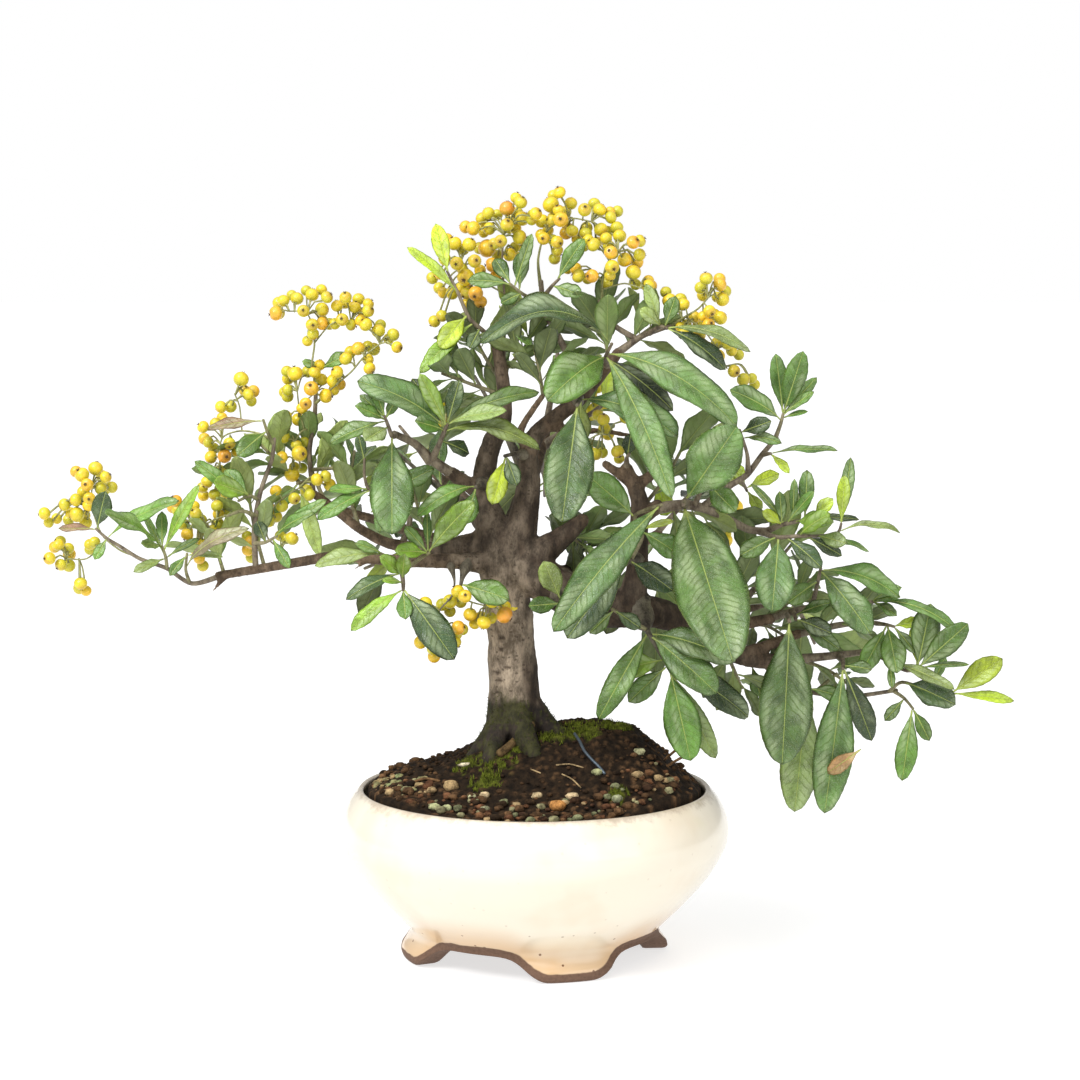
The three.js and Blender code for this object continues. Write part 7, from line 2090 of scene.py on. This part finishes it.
def dry_leaf():
    """The dry leaf on the face of a hanging leaf."""
    spray = SPRAYS[DRY_LEAF_SPRAY]
    row = next(row for row in spray.leaves if row[2:4] == DRY_LEAF_HOST)
    offers = [front_leaf(spray.stems, row, shift) for shift in SHIFTS]
    host = fitted(corners_of("leaves_" + DRY_LEAF_SPRAY), offers) or offers[0]
    middle = host.root.lerp(host.tip, DRY_LEAF_SHARE) + host.normal * (host.arch + 1)
    root, tip = (seen(across, up, -middle.y) for across, up in DRY_LEAF_ENDS)
    normal = square_to((tip - root).normalized(), host.normal)
    return Leaf(root, tip, normal, DRY_LEAF_WIDTH, DRY_LEAF_ARCH)


class FIRETHORN_OT_litter(bpy.types.Operator):
    """Build the stones, the wire, the dry twigs and the dry leaf"""

    bl_idname = "firethorn.litter"
    bl_label = "Stones, wire and litter"

    def execute(self, context):
        sizes, leaves = context.scene.firethorn_soil, context.scene.firethorn_leaves
        settle(soil_stones().piece("soil_stones", [grit_finish()]), "soil")

        litter = Skin()
        for places, radius, sides, value in TWIGS:
            add_tube(litter, lying(places, radius), sides, 0, linear(value))
        settle(litter.piece("soil_twigs", [grit_finish()]), "soil")

        dry = Skin()
        add_leaf(dry, dry_leaf(), leaves.dry, 0.0, 7, leaves)
        settle(dry.piece("dry_leaf", [leaf_finish(leaves)]), "leaves")

        wire = Skin()
        add_tube(wire, lying(WIRE, WIRE_RADIUS), 10, 0, sizes.wire)
        settle(wire.piece("soil_wire", [wire_finish(sizes)]), "soil")
        return {"FINISHED"}


# Angles in degrees of the bowl's rings to one side of a foot, closest together at the foot's edge.
HALF_FOOT = [
    0, 4, 7, 9, 10.5, 12, 13.3, 14.6, 16, 17.4, 18.8, 20.4, 22.2, 24.2, 26.4, 29, 32, 35, 38, 41.5,
]
# Rings of the skirt's outside and how they crowd at its lower edge, and the underside's inner ring.
FOOT_STEPS = 12
FOOT_EASE = 1.25
UNDERSIDE_MIDDLE = 12
# The distance over the bowl's edge that counts as well within the glaze.
WELL_GLAZED = 60


class FIRETHORN_OT_bowl(bpy.types.Operator):
    """Build the glazed bowl with its four feet"""

    bl_idname = "firethorn.bowl"
    bl_label = "Glazed bowl"

    def execute(self, context):
        sizes = context.scene.firethorn_bowl

        def eased(rows):
            flat = np.array([(r, 0, z, 0) for r, z in rows], float)
            return through(flat, sizes.wall_step / MM)[:, [0, 2]]

        quarter = sorted([-a for a in HALF_FOOT[1:]] + HALF_FOOT + [45])
        angles = np.array([foot + a for foot in FOOT_ANGLES for a in quarter])
        turns = np.radians(angles)
        lift = foot_lift(angles)
        rings, places = [], []

        def add_ring(radius, height, over_edge):
            radius, height, over = (np.broadcast_to(v, lift.shape) for v in (radius, height, over_edge))
            rings.append(np.stack([radius * np.sin(turns), -radius * np.cos(turns), height], axis=-1))
            places.append(np.stack([over, height, np.zeros(lift.shape)], axis=-1))

        add_ring(UNDERSIDE_MIDDLE, BOWL_UNDERSIDE, 0)
        add_ring(BOWL_BED - 1.5, BOWL_UNDERSIDE, 0)
        for part in (0.0, 0.35, 0.7, 1.0):
            radius = BOWL_BED + (FOOT_BED - BOWL_BED) * part * (1 - lift / BOWL_UNDERSIDE)
            height = BOWL_UNDERSIDE + (lift - BOWL_UNDERSIDE) * part
            add_ring(radius, height + 0.25 * (part == 1), 0)
        add_ring(FOOT_BED + 1.2 - 3 * lift / SKIRT, lift, 0)
        add_ring(np.interp(lift, *zip(*FOOT_CURVE)) - 1.4, lift, 0)
        for k in range(FOOT_STEPS + 1):
            height = lift + (FOOT_TOP - lift) * (k / FOOT_STEPS) ** FOOT_EASE
            radius = np.interp(height, *zip(*FOOT_CURVE))
            if k == 0:
                radius, height = radius - 0.35, height + 0.15
            add_ring(radius, height, height - lift)
        for radius, height in eased(BOWL_WALL + BOWL_LIP):
            add_ring(radius, height, height - lift)
        for radius, height in eased(BOWL_LINING):
            add_ring(radius, height, WELL_GLAZED)
        ends = [[0, BOWL_UNDERSIDE, 0], [WELL_GLAZED, BOWL_FLOOR, 0]]
        skin = Skin()
        places = np.vstack([np.array(places).reshape(-1, 3), ends])
        skin.add_rings(rings, (0, 0, BOWL_UNDERSIDE), (0, 0, BOWL_FLOOR), 0, sizes.glaze, places)
        settle(skin.piece("glazed_bowl", [glaze_finish(sizes)]), "bowl_glaze", "bowl")
        return {"FINISHED"}


# Lights as (name, kind, place, size in m or width in radians, power).
LIGHTS = [
    ("sky", "SUN", (-0.4, -0.6, 1.5), 1.2, 2.1),
    ("key", "AREA", (-0.8, -0.9, 1.1), 0.5, 14),
    ("fill", "AREA", (1.0, -1.0, 0.6), 1.0, 5),
]
WHITE = (1, 1, 1, 1)
# The strength of the white world's light, and the floor: half its width in m, its tone and its glow.
STUDIO_LIGHT = 0.45
FLOOR_HALF = 6
FLOOR_TONE = (0.45, 0.45, 0.448, 1)
FLOOR_GLOW = 0.68


def add_floor():
    """The pale floor, which glows a little so that it is as light as the photograph's."""
    mesh = bpy.data.meshes.new("floor")
    corners = [(x * FLOOR_HALF, y * FLOOR_HALF, 0) for x, y in ((-1, -1), (1, -1), (1, 1), (-1, 1))]
    mesh.from_pydata(corners, [], [(0, 1, 2, 3)])
    finish = new_finish(
        "floor", Base_Color=FLOOR_TONE, Roughness=0.9, Specular_IOR_Level=0.1,
        Emission_Color=WHITE, Emission_Strength=FLOOR_GLOW,
    )
    mesh.materials.append(finish[0])
    floor = show(bpy.data.objects.new("floor", mesh))


def add_world(scene):
    """A white world that the camera sees in full and that lights the tree less."""
    world = bpy.data.worlds.new("studio")
    world.use_nodes = True
    nodes = Nodes(world.node_tree)
    background = world.node_tree.nodes["Background"].inputs
    background["Color"].default_value = WHITE
    watched = nodes.add("LightPath").outputs["Is Camera Ray"]
    nodes.put(background["Strength"], nodes.math("MAXIMUM", watched, STUDIO_LIGHT))
    scene.world = world


class FIRETHORN_OT_stage(bpy.types.Operator):
    """Build the floor, the lights and the camera"""

    bl_idname = "firethorn.stage"
    bl_label = "Stage"

    def execute(self, context):
        scene = context.scene
        scene.view_settings.view_transform = "Standard"
        add_floor()
        add_world(scene)

        middle = (Vector(CAD_BOX[0]) + Vector(CAD_BOX[1])) / 2
        for name, kind, place, size, power in LIGHTS:
            lamp = bpy.data.lights.new(name, kind)
            setattr(lamp, "angle" if kind == "SUN" else "size", size)
            lamp.energy = power
            light = show(bpy.data.objects.new(name, lamp))
            light.location = place
            light.rotation_euler = (middle - light.location).to_track_quat("-Z", "Y").to_euler()

        lens = bpy.data.cameras.new("view")
        lens.sensor_width = SENSOR
        lens.lens = SENSOR * VIEW_DISTANCE / VIEW_WIDTH
        lens.clip_end = 30
        camera = show(bpy.data.objects.new("view", lens))
        camera.location = (EYE + AXIS) * MM
        camera.rotation_euler = (math.pi / 2 - VIEW_PITCH, 0, 0)
        scene.camera = camera
        return {"FINISHED"}


OPERATORS = (
    FIRETHORN_OT_stage,
    FIRETHORN_OT_bowl,
    FIRETHORN_OT_soil,
    FIRETHORN_OT_litter,
    FIRETHORN_OT_wood,
    FIRETHORN_OT_sprays,
    FIRETHORN_OT_small_leaves,
    FIRETHORN_OT_far_sprays,
    FIRETHORN_OT_bunches,
)


class FIRETHORN_PT_panel(bpy.types.Panel):
    """The steps and the settings of the bonsai"""

    bl_idname = "FIRETHORN_PT_panel"
    bl_label = "Firethorn bonsai"
    bl_space_type = "VIEW_3D"
    bl_region_type = "UI"
    bl_category = "Bonsai"

    def draw(self, context):
        for operator in OPERATORS:
            self.layout.operator(operator.bl_idname)
        for name in GROUPS:
            settings = getattr(context.scene, name)
            box = self.layout.box()
            for key in settings.__annotations__:
                box.prop(settings, key)


CLASSES = (*GROUPS.values(), *OPERATORS, FIRETHORN_PT_panel)


def register():
    """Makes the settings, the steps and the panel known."""
    for each in CLASSES:
        bpy.utils.register_class(each)
    for name, group in GROUPS.items():
        setattr(bpy.types.Scene, name, PointerProperty(type=group))


def unregister():
    """Takes them away again."""
    for name in GROUPS:
        delattr(bpy.types.Scene, name)
    for each in reversed(CLASSES):
        bpy.utils.unregister_class(each)


def main():
    """Builds the whole scene."""
    register()
    for operator in OPERATORS:
        step = getattr(bpy.ops.firethorn, operator.bl_idname.split(".")[1])
        if step() != {"FINISHED"}:
            raise RuntimeError(operator.bl_label + " did not finish")


if __name__ == "__main__":
    main()
